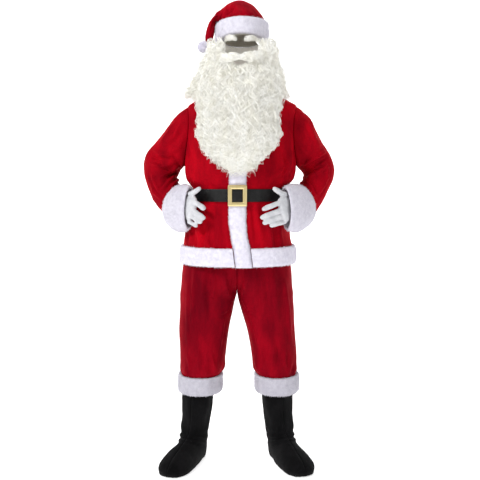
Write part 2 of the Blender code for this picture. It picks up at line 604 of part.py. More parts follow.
def belt(mat):
    cols = []
    for i in range(6):
        cols.append([front_angles(z, 1)[i] for z in (BELT_LOW, BELT_HIGH)])
    for i in range(1, 11):
        cols.append([back_angles(z)[i] for z in (BELT_LOW, BELT_HIGH)])
    for i in range(4, -1, -1):
        cols.append([2 * math.pi + front_angles(z, -1)[i] for z in (BELT_LOW, BELT_HIGH)])
    mid = [2 * math.pi + angle_at_x(z, read(PLACKET, "z", "mid", z)) for z in (BELT_LOW, BELT_HIGH)]
    cols.append(mid)
    sections = []
    for a in cols:
        sec_in, sec_out = [], []
        for z, ang in zip((BELT_LOW, BELT_HIGH), a):
            p, n = torso(z, ang), torso_normal(z, ang)
            lift = belt_lift(p[0], z) if p[1] < 0 else LIE
            zz = np.array([0, 0, 0.001 if z == BELT_LOW else -0.001])
            sec_in.append(p + n * lift + zz)
            sec_out.append(p + n * (lift + BELT_T) + zz)
        sections.append([sec_in[0], sec_in[1], sec_out[1], sec_out[0]])
    return strip("belt", sections, mat, closed=True)


def belt_front_y():
    z = (BELT_LOW + BELT_HIGH) / 2
    x = read(PLACKET, "z", "mid", z)
    return torso(z, angle_at_x(z, x))[1] - (LIE + read(PLACKET, "z", "thick", z) + LIE + BELT_T)


def belt_end(mat):
    """The free end: over the belt from inside the buckle to where it is tucked, on the wearer's right."""
    sections = []
    mid = read(PLACKET, "z", "mid", 1.08)
    edge = placket_x(1.08, -1)
    for x in (mid + 0.016, mid, edge, -0.068, -0.0945):
        sec_in, sec_out = [], []
        for z in (BELT_LOW, BELT_HIGH):
            ang = angle_at_x(z, x)
            p, n = torso(z, ang), torso_normal(z, ang)
            if x >= edge - 0.001:
                lift = LIE + read(PLACKET, "z", "thick", z) + LIE
            else:
                a0 = angle_at_x(z, edge)
                step = front_angles(z, -1)[1]
                t = (ang - a0) / (step - a0)
                chord = torso(z, a0) * (1 - min(1.0, t)) + torso(z, step) * min(1.0, t)
                lift = LIE + (1 - min(1.0, t)) * (read(PLACKET, "z", "thick", z) + LIE) + max(0.0, float(np.dot(chord - p, n))) + 0.0012
            zz = np.array([0, 0, 0.0015 if z == BELT_LOW else -0.0015])
            sec_in.append(p + n * (lift + BELT_T + LIE) + zz)
            sec_out.append(p + n * (lift + BELT_T + LIE + BELT_T) + zz)
        sections.append([sec_in[0], sec_in[1], sec_out[1], sec_out[0]])
    return strip("belt_end", sections, mat)


def buckle(mat):
    """A rectangular frame with bevelled bars."""
    z = (BELT_LOW + BELT_HIGH) / 2
    x = read(PLACKET, "z", "mid", z) - 0.0005
    y = belt_front_y() - BELT_T - 2 * LIE - 0.0016
    w, h, bar, t, bev = BUCKLE_W / 2, BUCKLE_H / 2, BUCKLE_BAR, BUCKLE_T, 0.0022
    prof = ((0.0, 0.0), (0.0, t - bev), (bev, t), (bar - bev, t), (bar, t - bev), (bar, 0.0))
    sections = []
    for sx, sz in ((-1, -1), (1, -1), (1, 1), (-1, 1)):
        sections.append([np.array([x + sx * (w - d), y - q, z + sz * (h - d)]) for d, q in prof])
    return strip("buckle", sections, mat, closed=True)


# ------------------------------------------------------------ trousers
LEG_ROWS = [1.030, 0.940, 0.850, 0.780, 0.730, 0.700, 0.682, 0.650, 0.560, 0.450, 0.392, 0.371, 0.354, 0.335]


def leg_point(tab, z, t, out=0.0):
    """Point of the leg's ring at angle t: 0 is the outer side, pi the inseam, the front at +pi/2."""
    g = {c: read(tab, "z", c, z) for c in ("mid", "half", "front", "back")}
    side = 1 if tab is LEG_LEFT else -1
    c, s = math.cos(t), math.sin(t)
    reach = -g["front"] if s > 0 else g["back"]
    x = g["mid"] + side * (g["half"] + out) * power(c, LEG_SQUARE)
    y = -(reach + out) * power(s, LEG_SQUARE)
    return np.array([x, y, z])


def leg_clip(tab, z):
    """Angle at which the ring meets the middle plane, or pi below the crotch."""
    mid, half = read(tab, "z", "mid", z), read(tab, "z", "half", z)
    c = abs(mid - MID_X) / half
    return math.pi - math.acos(min(1.0, c) ** (1 / LEG_SQUARE)) if c < 1 else math.pi


def trouser_panel(name, tab, front, mat, steps=ARM_STEPS):
    side = 1 if tab is LEG_LEFT else -1
    outer, inner = [], []
    for z in LEG_ROWS:
        end = leg_clip(tab, z)
        rows_o, rows_i = [], []
        for i in range(steps + 1):
            t = end * i / steps * (1 if front else -1)
            p = leg_point(tab, z, t)
            e = 0.03
            du = leg_point(tab, z, t + e) - leg_point(tab, z, t - e)
            dv = leg_point(tab, min(z + 0.01, 1.03), t) - leg_point(tab, max(z - 0.01, 0.3), t)
            n = unit(np.cross(du, dv))
            if float(np.dot(n[:2], (p - np.array([read(tab, "z", "mid", z), 0, z]))[:2])) < 0:
                n = -n
            gap = np.array([0.0, (-1 if front else 1) * SEAM / 2, 0.0])
            if i == 0 or (i == steps and end > math.pi - 1e-6):
                p = p + gap
            q = p - n * VELVET
            if i == steps:
                lim = MID_X + side * SEAM / 2
                if end < math.pi - 1e-6:
                    p = np.array([lim, p[1], p[2]])
                    q = np.array([lim, p[1] + (1 if front else -1) * VELVET, p[2]])
                    q[1] = min(q[1], -SEAM / 2) if front else max(q[1], SEAM / 2)
                else:
                    q[1] = p[1]
            rows_o.append(p)
            rows_i.append(q)
        outer.append(rows_o)
        inner.append(rows_i)
    return wall(name, outer, inner, mat)


def waistband(mat):
    """A plain elastic band round the top of the trousers."""
    sections = []
    for k in range(2 * ROUND):
        t = 2 * math.pi * (k + 0.5) / (2 * ROUND)
        sec = []
        for z, out in ((1.033, 0.0015), (1.068, 0.0005), (1.068, -0.003), (1.033, -0.002)):
            c, s = math.cos(t), math.sin(t)
            reach = 0.130 if s < 0 else 0.100
            sec.append(np.array([MID_X + (0.160 + out) * power(c, LEG_SQUARE), (reach + out) * power(s, LEG_SQUARE), z]))
        sections.append(sec)
    return strip("waistband", sections, mat, closed=True)


def leg_cuff(name, tab, mat):
    rows = list(zip(LEG_CUFF["z"], LEG_CUFF["reach"], LEG_CUFF["grow"]))
    sections = []
    for k in range(ROUND):
        t = 2 * math.pi * k / ROUND
        base = []
        for z, _, grow in rows:
            zz = min(max(z, 0.335), 0.354)
            p = leg_point(tab, zz, t, LIE + 0.0003)
            base.append(np.array([p[0], p[1], z]))
        out = []
        for z, reach, grow in rows:
            zz = min(max(z, 0.335), 0.354)
            p = leg_point(tab, zz, t, LIE + reach + grow)
            out.append(np.array([p[0], p[1], z]))
        sections.append(out + base[::-1])
    return strip(name, sections, mat, closed=True)


# ------------------------------------------------------------ boot covers
def boot_frames(side):
    (hx, hy), (dx, dy) = BOOT_PLACE[side]
    fwd, across = unit([dx, dy, 0]), unit([-dy, dx, 0])
    spot = lambda f, z: np.array([hx, hy, 0.0]) + fwd * f + np.array([0, 0, z])
    frames = []
    for i in range(len(BOOT["bf"])):
        lean = across * BOOT["inward"][i] * (1 if side == "right" else -1)
        b, t = spot(BOOT["bf"][i], BOOT["bz"][i]) + lean, spot(BOOT["tf"][i], BOOT["tz"][i]) + lean
        frames.append(((b + t) / 2, (t - b) / 2, across * BOOT["half"][i]))
    return frames, spot


def boot_half(name, side, sign, mat):
    """Half of a boot cover: from the front seam round one side to the back and under seam."""
    frames, spot = boot_frames(side)
    steps, outer, inner = ARM_STEPS, [], []
    floor_o, floor_i = SOLE_T + SEAM, SOLE_T + SEAM + FELT
    for m, a, b in frames:
        la, lb = float(np.linalg.norm(a)), float(np.linalg.norm(b))
        ro, ri = [], []
        for k in range(steps + 1):
            t = math.pi * k / steps
            shift = unit(b) * sign * SEAM / 2 if k in (0, steps) else np.zeros(3)
            p = m + unit(a) * la * math.cos(t) + unit(b) * sign * lb * math.sin(t) + shift
            q = m + unit(a) * (la - FELT) * math.cos(t) + unit(b) * sign * (lb - FELT) * math.sin(t) + shift
            p[2] = max(p[2], floor_o)
            q[2] = max(q[2], floor_i)
            ro.append(p)
            ri.append(q)
        outer.append(ro)
        inner.append(ri)
    across = unit(frames[0][2]) * sign * SEAM / 2
    tip_o, tip_i = spot(*BOOT_TIP) + across, spot(BOOT_TIP[0] - 2 * FELT, BOOT_TIP[1]) + across
    outer.append([tip_o + (p - tip_o) * 0.12 for p in outer[-1]])
    inner.append([tip_i + (p - tip_i) * 0.12 for p in inner[-1]])
    for grid, low in ((outer, floor_o), (inner, floor_i)):
        for p in grid[-1]:
            p[2] = max(p[2], low)
    return wall(name, outer, inner, mat)


def boot_sole(name, side, mat):
    _, spot = boot_frames(side)
    (_, _), (dx, dy) = BOOT_PLACE[side]
    across = unit([-dy, dx, 0])
    f = SOLE["f"]
    fine = [f[0] + (f[-1] - f[0]) * i / 12 for i in range(13)]
    line = [(v, read(SOLE, "f", "half", v)) for v in fine]
    loop = [spot(v, 0) + across * h for v, h in line] + [spot(v, 0) - across * h for v, h in line[::-1]]
    n = len(loop)
    verts = loop + [p + np.array([0, 0, SOLE_T]) for p in loop]
    faces = [tuple(range(n))[::-1], tuple(range(n, 2 * n))] + [(i, (i + 1) % n, n + (i + 1) % n, n + i) for i in range(n)]
    return outward(put(name, verts, faces, mat))


# ------------------------------------------------------------ hat
def hat_cap(mat):
    frames = rings(HAT)
    outer = [ring_points(f, 0.0, HAT_ROUND) for f in frames]
    inner = offset(outer, -HAT_WALL, [f[0] for f in frames], closed=True)
    tip = np.array(HAT_TIP)
    back = unit(frames[-1][0] - tip)
    return wall("hat_cap", outer, inner, mat, closed=True, cap=(tip, tip + back * 2.0 * HAT_WALL))


def oval(mid, half, front, back, t, out=0.0, square=0.94):
    s = math.sin(t)
    reach = (back if s > 0 else -front) + out
    return mid + (half + out) * power(math.cos(t), square), reach * power(s, square)


def arch(z, t):
    """Rise of the hat's lower edge at the front; it fades out 50 mm higher."""
    return ARCH * max(0.0, -math.sin(t)) ** 2 * max(0.0, 1 - (z - 1.6735) / 0.050)


def hat_band(mat):
    """A plush ring round the head; the cap's edge stands inside its upper half."""
    g = BAND_INNER
    rows = list(zip(HAT_BAND["z"], HAT_BAND["reach"]))
    sections = []
    for k in range(HAT_ROUND):
        t = 2 * math.pi * k / HAT_ROUND
        dip = 0.007 * max(0.0, -math.cos(t)) ** 3
        out = [np.array([*oval(g["mid"], 0.0925, -0.1135, 0.1215, t, r - 0.002, 1.0), z + arch(z, t) - (dip if z > 1.74 else 0.0)]) for z, r in rows]
        base = []
        for z, _ in rows[::-1]:
            low = min(1.0, max(0.0, (z - 1.700) / 0.028))
            half, front, back = (a + (b - a) * low for a, b in ((g["half"], 0.0895), (g["front"], -0.1075), (g["back"], 0.1155)))
            base.append(np.array([*oval(g["mid"], half, front, back, t, 0.0, 1.0), z + arch(z, t) - (dip if z > 1.74 else 0.0)]))
        sections.append(out + base)
    return strip("hat_band", sections, mat, closed=True)


def pompom(mat):
    rows, cols = 8, 12
    verts, faces = [], []
    c = np.array(POMPOM_AT)
    verts.append(c + [0, 0, POMPOM_R])
    for i in range(1, rows):
        a = math.pi * i / rows
        for k in range(cols):
            t = 2 * math.pi * k / cols
            verts.append(c + POMPOM_R * np.array([math.sin(a) * math.cos(t), math.sin(a) * math.sin(t), math.cos(a)]))
    verts.append(c - [0, 0, POMPOM_R])
    at = lambda i, k: 1 + (i - 1) * cols + k % cols
    for k in range(cols):
        faces.append((0, at(1, k), at(1, k + 1)))
        faces.append((len(verts) - 1, at(rows - 1, k + 1), at(rows - 1, k)))
        for i in range(1, rows - 1):
            faces.append((at(i, k), at(i + 1, k), at(i + 1, k + 1), at(i, k + 1)))
    return outward(put("pompom", verts, faces, mat))


# ------------------------------------------------------------ hair
def wig(mat):
    """Hair that hangs round the sides and back of the head, open at the face."""
    outer, inner = [], []
    start, end, steps = math.radians(-15), math.radians(195), 16
    for i, z in enumerate(HAIR["z"]):
        l, r, b, th = (HAIR[c][i] for c in ("left", "right", "back", "thick"))
        ro, ri = [], []
        for k in range(steps + 1):
            t = start + (end - start) * k / steps
            x, y = oval((l + r) / 2, (r - l) / 2, HAIR_FRONT, b, t, 0.0, 0.95)
            xi, yi = oval((l + r) / 2, (r - l) / 2 - th, HAIR_FRONT + th, b - th, t, 0.0, 0.95)
            last = i == len(HAIR["z"]) - 1
            shoulder = 0.0 if not last else -0.012
            ro.append(np.array([x, y, z + shoulder]))
            ri.append(np.array([xi, yi, z + (0.018 if last else 0.0)]))
        outer.append(ro)
        inner.append(ri)
    return wall("wig", outer, inner, mat)


def wig_cap(mat):
    g = BAND_INNER
    outer, inner = [], []
    for z, h in zip(WIG_CAP["z"], WIG_CAP["half"]):
        k = h / 0.070
        ts = [2 * math.pi * i / 16 for i in range(16)]
        outer.append([np.array([*oval(g["mid"], h, -0.095 * k, 0.095 * k, t), z + arch(z, t)]) for t in ts])
        inner.append([np.array([*oval(g["mid"], h - 0.002, -0.095 * k + 0.002, 0.095 * k - 0.002, t), z + arch(z, t) - 0.001]) for t in ts])
    top = np.array([g["mid"], 0.0, WIG_CAP_TOP])
    return wall("wig_cap", outer, inner, mat, closed=True, cap=(top, top - [0, 0, 0.0025]))


def beard_point(i, u, inside=False):
    """Row i of the beard's form; u runs from -1 to 1 across it."""
    g = {c: BEARD[c][i] for c in BEARD}
    half, ys, front = (g["right"] - g["left"]) / 2, g["ys"], g["front"]
    if inside:
        half, ys, front = half - min(0.014, 0.4 * half), ys + 0.25 * g["thick"], front + g["thick"]
    bow = max(0.0, 1 - abs(u) ** 2.3) ** 0.62
    return np.array([(g["left"] + g["right"]) / 2 + half * u, ys + (front - ys) * bow,
                     g["zmid"] + (g["zside"] - g["zmid"]) * abs(u) ** 1.6])


def beard(mat):
    steps = 12
    us = [math.sin(math.pi / 2 * (2 * k / steps - 1)) for k in range(steps + 1)]
    outer = [[beard_point(i, u) for u in us] for i in range(len(BEARD["zmid"]))]
    inner = [[beard_point(i, u, True) for u in us] for i in range(len(BEARD["zmid"]))]
    return wall("beard", outer, inner, mat)


def moustache(mat):
    sections = []
    for u, top, low, front, t in zip(*(MOUSTACHE[c] for c in ("u", "top", "low", "front", "thick"))):
        mid = (top + low) / 2
        sections.append([np.array([u, front + t, low + 0.002]), np.array([u, front + 0.2 * t, low]),
                         np.array([u, front - 0.25 * t, mid]), np.array([u, front + 0.3 * t, top]), np.array([u, front + t, top - 0.002])])
    return strip("moustache", sections, mat)


def eyebrow(name, mat):
    path = [np.array(p) for p in BROWS[name]]
    sections = []
    for i in range(7):
        t = i / 6
        p = path[0] * (1 - t) ** 2 + 2 * path[1] * t * (1 - t) + path[2] * t * t
        fat = 0.0035 + 0.0055 * math.sin(math.pi * min(1.0, 0.15 + t * 0.8))
        sections.append([p + np.array([0, 0.45 * fat * math.cos(a), fat * math.sin(a)]) for a in (math.pi * k / 3 for k in range(6))])
    return strip(name, sections, mat)


# ------------------------------------------------------------ gloves
def palm_rows(tab, grow, extend):
    rows, n = [], len(tab["x"])
    for i in range(n):
        lo, hi = max(i - 1, 0), min(i + 1, n - 1)
        way = unit([tab[c][hi] - tab[c][lo] for c in "xyz"])
        up = unit(np.array([tab["lean"][i], 0, 1]) - way * way[2])
        side = unit(np.cross(way, up))
        c = np.array([tab["x"][i], tab["y"][i], tab["z"][i]])
        if i == 0:
            c = c - way * extend
        ring = []
        for k in range(10):
            t = 2 * math.pi * (k + 0.5) / 10
            ring.append(c + up * (tab["high"][i] + grow) * power(math.cos(t), 0.8) + side * (tab["thick"][i] + grow) * power(math.sin(t), 0.8))
        rows.append(ring)
    return rows


def solid_rows(name, rows, tips, mat):
    """A closed solid from rings, each end drawn to a point."""
    m, n = len(rows[0]), len(rows)
    verts = [p for r in rows for p in r] + list(tips)
    faces = []
    for r in range(n - 1):
        for k in range(m):
            quad(faces, r * m + k, r * m + (k + 1) % m, (r + 1) * m + (k + 1) % m, (r + 1) * m + k)
    for k in range(m):
        faces.append((n * m, (k + 1) % m, k))
        faces.append(((n - 1) * m + k, (n - 1) * m + (k + 1) % m, n * m + 1))
    return outward(put(name, verts, faces, mat))


def finger_rows(a, b, c, r0, r1, grow, sides=6):
    """Rings along a bent finger from its root a over the knuckle b to the tip c."""
    a, b, c = (np.array(p, float) for p in (a, b, c))
    rows, spots = [], []
    for t in (0.0, 0.36, 0.70, 0.93):
        p = a * (1 - t) ** 2 + 2 * b * t * (1 - t) + c * t * t
        d = unit(2 * (b - a) * (1 - t) + 2 * (c - b) * t)
        r = (r0 + (r1 - r0) * t + grow) * (1.0 if t < 0.9 else 0.76)
        up = unit(np.array([0, 0, 1.0]) - d * d[2])
        side = np.cross(d, up)
        rows.append([p + up * r * math.cos(2 * math.pi * k / sides) + side * r * math.sin(2 * math.pi * k / sides) for k in range(sides)])
        spots.append(p)
    return rows, (a, c + unit(c - b) * grow)


def glove_solid(name, spec, grow, extend, mat):
    rows = palm_rows(spec["palm"], grow, extend)
    mids = [sum(r) / len(r) for r in rows]
    tip = mids[-1] + unit(mids[-1] - mids[-2]) * (0.008 + grow)
    base = solid_rows(name, rows, (mids[0], tip), mat)
    for _, a, b, c, r0, r1 in spec["fingers"]:
        frows, ends = finger_rows(a, b, c, r0, r1, grow)
        f = solid_rows(name + "_finger", frows, ends, mat)
        join(base, f, "UNION")
    return base


def join(base, tool, how):
    mod = base.modifiers.new("cut", "BOOLEAN")
    mod.operation, mod.object, mod.solver = how, tool, "EXACT"
    bpy.context.view_layer.update()
    graph = bpy.context.evaluated_depsgraph_get()
    mesh = bpy.data.meshes.new_from_object(base.evaluated_get(graph))
    base.modifiers.clear()
    old = base.data
    base.data = mesh
    mesh.name = base.name
    bpy.data.meshes.remove(old)
    gone = tool.data
    bpy.data.objects.remove(tool)
    bpy.data.meshes.remove(gone)


def glove(name, side, mat):
    spec = GLOVE[side]
    obj = glove_solid(name, spec, 0.0, 0.0, mat)
    hollow = glove_solid(name + "_hollow", spec, -KNIT, 0.02, mat)
    join(obj, hollow, "DIFFERENCE")
    obj.data.shade_smooth()
    return obj


# ------------------------------------------------------------ build
def main():
    for obj in list(bpy.data.objects):
        bpy.data.objects.remove(obj)
    velvet = lambda n: material(n + "_velvet", (0.58, 0.004, 0.018), 0.72, sheen=0.6)
    plush = lambda n: material(n + "_plush", (0.80, 0.79, 0.86), 0.92, sheen=0.4)
    hair = lambda n: material(n + "_hair", (0.84, 0.83, 0.76), 0.55)
    jacket_front("jacket_front_left", 1, velvet("jacket_front_left"))
    jacket_front("jacket_front_right", -1, velvet("jacket_front_right"))
    jacket_back(velvet("jacket_back"))
    sleeve("sleeve_left", 1, SLEEVE_LEFT, velvet("sleeve_left"))
    sleeve("sleeve_right", -1, SLEEVE_RIGHT, velvet("sleeve_right"))
    cuff("cuff_left", SLEEVE_LEFT, plush("cuff_left"))
    cuff("cuff_right", SLEEVE_RIGHT, plush("cuff_right"))
    hem_band(plush("hem_band"))
    placket(plush("placket"))
    belt(material("belt_vinyl", (0.012, 0.012, 0.014), 0.35))
    belt_end(material("belt_end_vinyl", (0.012, 0.012, 0.014), 0.35))
    buckle(material("buckle_gold", (0.86, 0.72, 0.36), 0.32, 1.0))
    for side, tab in (("left", LEG_LEFT), ("right", LEG_RIGHT)):
        trouser_panel("trouser_front_" + side, tab, True, velvet("trouser_front_" + side))
        trouser_panel("trouser_back_" + side, tab, False, velvet("trouser_back_" + side))
        leg_cuff("leg_cuff_" + side, tab, plush("leg_cuff_" + side))
        felt = lambda n: material(n, (0.010, 0.010, 0.011), 0.85)
        outer_sign = 1 if side == "left" else -1
        boot_half("boot_%s_outer" % side, side, outer_sign, felt("boot_%s_outer_felt" % side))
        boot_half("boot_%s_inner" % side, side, -outer_sign, felt("boot_%s_inner_felt" % side))
        boot_sole("boot_%s_sole" % side, side, material("boot_%s_sole_felt" % side, (0.008, 0.008, 0.008), 0.9))
        glove("glove_" + side, side, material("glove_%s_knit" % side, (0.78, 0.78, 0.80), 0.8))
    waistband(velvet("waistband"))
    hat_cap(velvet("hat_cap"))
    hat_band(plush("hat_band"))
    pompom(plush("pompom"))
    wig(hair("wig"))
    wig_cap(hair("wig_cap"))
    beard(hair("beard"))
    moustache(hair("moustache"))
    eyebrow("eyebrow_left", hair("eyebrow_left"))
    eyebrow("eyebrow_right", hair("eyebrow_right"))


main()
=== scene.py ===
"""The looks of the velvet costume suit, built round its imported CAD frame.

Metres, +Z up, front to -Y, +X the wearer's left. The tables below are the ones the
CAD model is made from, with heights above the floor; low() brings a height into the
row frame. Every soft piece here is a finer shell on the form of its own solid."""
import bpy
import math
import numpy as np
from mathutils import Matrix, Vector


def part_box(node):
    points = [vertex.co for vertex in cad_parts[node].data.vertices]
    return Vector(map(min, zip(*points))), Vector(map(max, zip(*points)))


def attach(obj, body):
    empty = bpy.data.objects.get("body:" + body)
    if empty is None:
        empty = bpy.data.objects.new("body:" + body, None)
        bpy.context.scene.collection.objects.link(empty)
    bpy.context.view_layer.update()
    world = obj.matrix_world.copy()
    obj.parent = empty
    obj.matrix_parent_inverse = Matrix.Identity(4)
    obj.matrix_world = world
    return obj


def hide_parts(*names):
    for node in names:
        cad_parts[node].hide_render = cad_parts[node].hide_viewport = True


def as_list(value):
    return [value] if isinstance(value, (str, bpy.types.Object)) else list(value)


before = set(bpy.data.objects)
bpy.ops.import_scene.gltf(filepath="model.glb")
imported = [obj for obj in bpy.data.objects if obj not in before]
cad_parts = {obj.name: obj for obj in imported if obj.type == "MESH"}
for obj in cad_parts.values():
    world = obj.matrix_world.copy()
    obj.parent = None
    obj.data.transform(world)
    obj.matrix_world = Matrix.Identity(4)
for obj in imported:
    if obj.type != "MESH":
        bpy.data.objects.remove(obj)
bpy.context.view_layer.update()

ORIGIN_Z = 1.427
SEAM = 0.0004
LIE = 0.0006
VELVET = 0.0016         # shown wall of the red cloth, inside its solid's wall
BELT_T = 0.0025
BELT_LOW, BELT_HIGH = 1.054, 1.104
BUCKLE_W, BUCKLE_H, BUCKLE_BAR, BUCKLE_T = 0.072, 0.080, 0.016, 0.004
POMPOM_R = 0.0215
SOLE_T = 0.003
MID_Y = 0.0
ARMHOLE_Z, ARMHOLE_HALF_Z, ARMHOLE_HALF_Y = 1.311, 0.116, 0.062


def table(columns, *rows):
    names = columns.split()
    return {n: np.array([float(r[i]) for r in rows]) for i, n in enumerate(names)}


# torso of the jacket: side, front and back reach, squareness, drop at the front
TORSO = table("z left right front back square drop",
    (0.812, -0.224, 0.219, -0.186, 0.140, 0.86, 0.000),
    (0.876, -0.220, 0.215, -0.185, 0.138, 0.85, 0.000),
    (0.930, -0.210, 0.202, -0.184, 0.132, 0.84, 0.000),
    (0.990, -0.194, 0.190, -0.182, 0.126, 0.84, 0.000),
    (1.054, -0.179, 0.180, -0.176, 0.120, 0.85, 0.000),
    (1.104, -0.184, 0.188, -0.176, 0.121, 0.85, 0.000),
    (1.145, -0.209, 0.222, -0.181, 0.128, 0.84, 0.000),
    (1.195, -0.213, 0.229, -0.176, 0.132, 0.82, 0.000),
    (1.250, -0.211, 0.226, -0.163, 0.132, 0.82, 0.000),
    (1.311, -0.208, 0.225, -0.145, 0.129, 0.82, 0.000),
    (1.370, -0.206, 0.228, -0.124, 0.120, 0.83, 0.000),
    (1.427, -0.199, 0.230, -0.098, 0.100, 0.86, 0.004),
    (1.450, -0.164, 0.194, -0.088, 0.090, 0.90, 0.010),
    (1.468, -0.126, 0.153, -0.080, 0.082, 0.94, 0.016),
    (1.481, -0.095, 0.118, -0.074, 0.076, 0.97, 0.022),
    (1.490, -0.078, 0.098, -0.070, 0.072, 1.00, 0.028))
HEM_TOP = 0.876

# front trim: middle, half width and reach at each height
PLACKET = table("z mid half thick",
    (0.8055, 0.0210, 0.0325, 0.015),
    (0.876, 0.0125, 0.0330, 0.014),
    (0.930, 0.0015, 0.0320, 0.012),
    (0.990, -0.0040, 0.0340, 0.011),
    (1.054, -0.0035, 0.0340, 0.007),
    (1.104, -0.0030, 0.0330, 0.007),
    (1.145, -0.0025, 0.0330, 0.011),
    (1.450, -0.0020, 0.0340, 0.010))

# sleeves: outline on the outer and inner side of the arm, middle depth, tilt, half depth, and how
# far the plush of the cuff reaches (0 above the cuff), how far the section is turned to the front; the cloth stops SLEEVE_INSIDE rows before the last
SLEEVE_INSIDE = 2
SLEEVE_RIGHT = table("ox oz ix iz cy tilt deep reach turn",
    (-0.2620, 1.368, -0.2220, 1.190, 0.012, 0.000, 0.070, 0, 0),
    (-0.3010, 1.320, -0.2270, 1.182, 0.022, 0.000, 0.071, 0, 0),
    (-0.3420, 1.278, -0.2340, 1.175, 0.032, 0.004, 0.070, 0, 0),
    (-0.3670, 1.250, -0.2420, 1.168, 0.038, 0.008, 0.068, 0, 0),
    (-0.3800, 1.214, -0.2500, 1.160, 0.040, 0.010, 0.066, 0, 0),
    (-0.3810, 1.174, -0.2510, 1.149, 0.036, 0.012, 0.064, 0, 0),
    (-0.3760, 1.138, -0.2460, 1.137, 0.028, 0.012, 0.062, 0, 0),
    (-0.3640, 1.104, -0.2400, 1.126, 0.016, 0.012, 0.060, 0, 0),
    (-0.3460, 1.068, -0.2350, 1.117, 0.004, 0.012, 0.057, 0, 0),
    (-0.3220, 1.032, -0.2320, 1.112, -0.010, 0.010, 0.053, 0, 0),
    (-0.2940, 1.000, -0.2290, 1.108, -0.025, 0.006, 0.049, 0, 0),
    (-0.2730, 0.978, -0.2310, 1.104, -0.041, 0.004, 0.046, 0.007, 0.1),
    (-0.2530, 0.960, -0.2270, 1.104, -0.060, 0.002, 0.043, 0.013, 0.3),
    (-0.2230, 0.949, -0.2090, 1.107, -0.096, 0.001, 0.039, 0.014, 0.7),
    (-0.1915, 0.956, -0.1845, 1.104, -0.133, 0.000, 0.034, 0.008, 1.0))
SLEEVE_LEFT = table("ox oz ix iz cy tilt deep reach turn",
    (0.2750, 1.384, 0.2420, 1.190, 0.012, 0.000, 0.070, 0, 0),
    (0.3020, 1.338, 0.2460, 1.182, 0.022, 0.000, 0.071, 0, 0),
    (0.3310, 1.292, 0.2500, 1.175, 0.032, 0.004, 0.070, 0, 0),
    (0.3590, 1.252, 0.2560, 1.168, 0.038, 0.008, 0.068, 0, 0),
    (0.3790, 1.213, 0.2610, 1.160, 0.040, 0.010, 0.066, 0, 0),
    (0.3880, 1.174, 0.2630, 1.150, 0.036, 0.012, 0.064, 0, 0),
    (0.3820, 1.136, 0.2580, 1.138, 0.028, 0.012, 0.062, 0, 0),
    (0.3660, 1.104, 0.2510, 1.127, 0.016, 0.012, 0.060, 0, 0),
    (0.3470, 1.072, 0.2460, 1.118, 0.004, 0.012, 0.057, 0, 0),
    (0.3250, 1.038, 0.2420, 1.113, -0.010, 0.010, 0.053, 0, 0),
    (0.3000, 1.005, 0.2390, 1.109, -0.026, 0.006, 0.049, 0, 0),
    (0.2770, 0.982, 0.2370, 1.106, -0.043, 0.004, 0.046, 0.007, 0.1),
    (0.2540, 0.962, 0.2310, 1.106, -0.064, 0.002, 0.044, 0.013, 0.3),
    (0.2200, 0.950, 0.2060, 1.108, -0.106, 0.001, 0.040, 0.014, 0.7),
    (0.1850, 0.956, 0.1760, 1.104, -0.147, 0.000, 0.034, 0.008, 1.0))

# trouser legs: middle, half width, front and back reach; a section that passes MID_X is cut off there
MID_X = -0.006
LEG_RIGHT = table("z mid half front back",
    (0.309, -0.1580, 0.0740, -0.085, 0.080),
    (0.335, -0.1560, 0.0760, -0.088, 0.082),
    (0.354, -0.1535, 0.0795, -0.094, 0.086),
    (0.375, -0.1465, 0.0875, -0.100, 0.090),
    (0.420, -0.1440, 0.0905, -0.103, 0.092),
    (0.520, -0.1395, 0.0985, -0.106, 0.096),
    (0.619, -0.1275, 0.1065, -0.115, 0.106),
    (0.668, -0.1215, 0.1115, -0.124, 0.118),
    (0.682, -0.1190, 0.1140, -0.127, 0.122),
    (0.700, -0.1130, 0.1175, -0.131, 0.127),
    (0.730, -0.0960, 0.1320, -0.138, 0.134),
    (0.780, -0.0600, 0.1640, -0.145, 0.134),
    (0.850, -0.0220, 0.1900, -0.148, 0.126),
    (0.940, -0.0070, 0.1820, -0.138, 0.112),
    (1.030, -0.0062, 0.1600, -0.130, 0.100))
LEG_LEFT = table("z mid half front back",
    (0.309, 0.1580, 0.0740, -0.085, 0.080),
    (0.335, 0.1560, 0.0760, -0.088, 0.082),
    (0.354, 0.1530, 0.0800, -0.094, 0.086),
    (0.375, 0.1470, 0.0890, -0.100, 0.090),
    (0.420, 0.1450, 0.0910, -0.103, 0.092),
    (0.520, 0.1330, 0.0955, -0.106, 0.096),
    (0.619, 0.1160, 0.1070, -0.115, 0.106),
    (0.668, 0.1080, 0.1120, -0.124, 0.118),
    (0.682, 0.1070, 0.1130, -0.127, 0.122),
    (0.700, 0.1010, 0.1160, -0.131, 0.127),
    (0.730, 0.0840, 0.1300, -0.138, 0.134),
    (0.780, 0.0480, 0.1620, -0.145, 0.134),
    (0.850, 0.0100, 0.1880, -0.148, 0.126),
    (0.940, -0.0050, 0.1820, -0.138, 0.112),
    (1.030, -0.0058, 0.1600, -0.130, 0.100))
LEG_SQUARE = 0.92
LEG_CUFF = table("z reach grow",
    (0.3535, 0.006, 0.000),
    (0.345, 0.011, 0.002),
    (0.317, 0.012, 0.001),
    (0.293, 0.011, 0.000),
    (0.282, 0.006, 0.000))

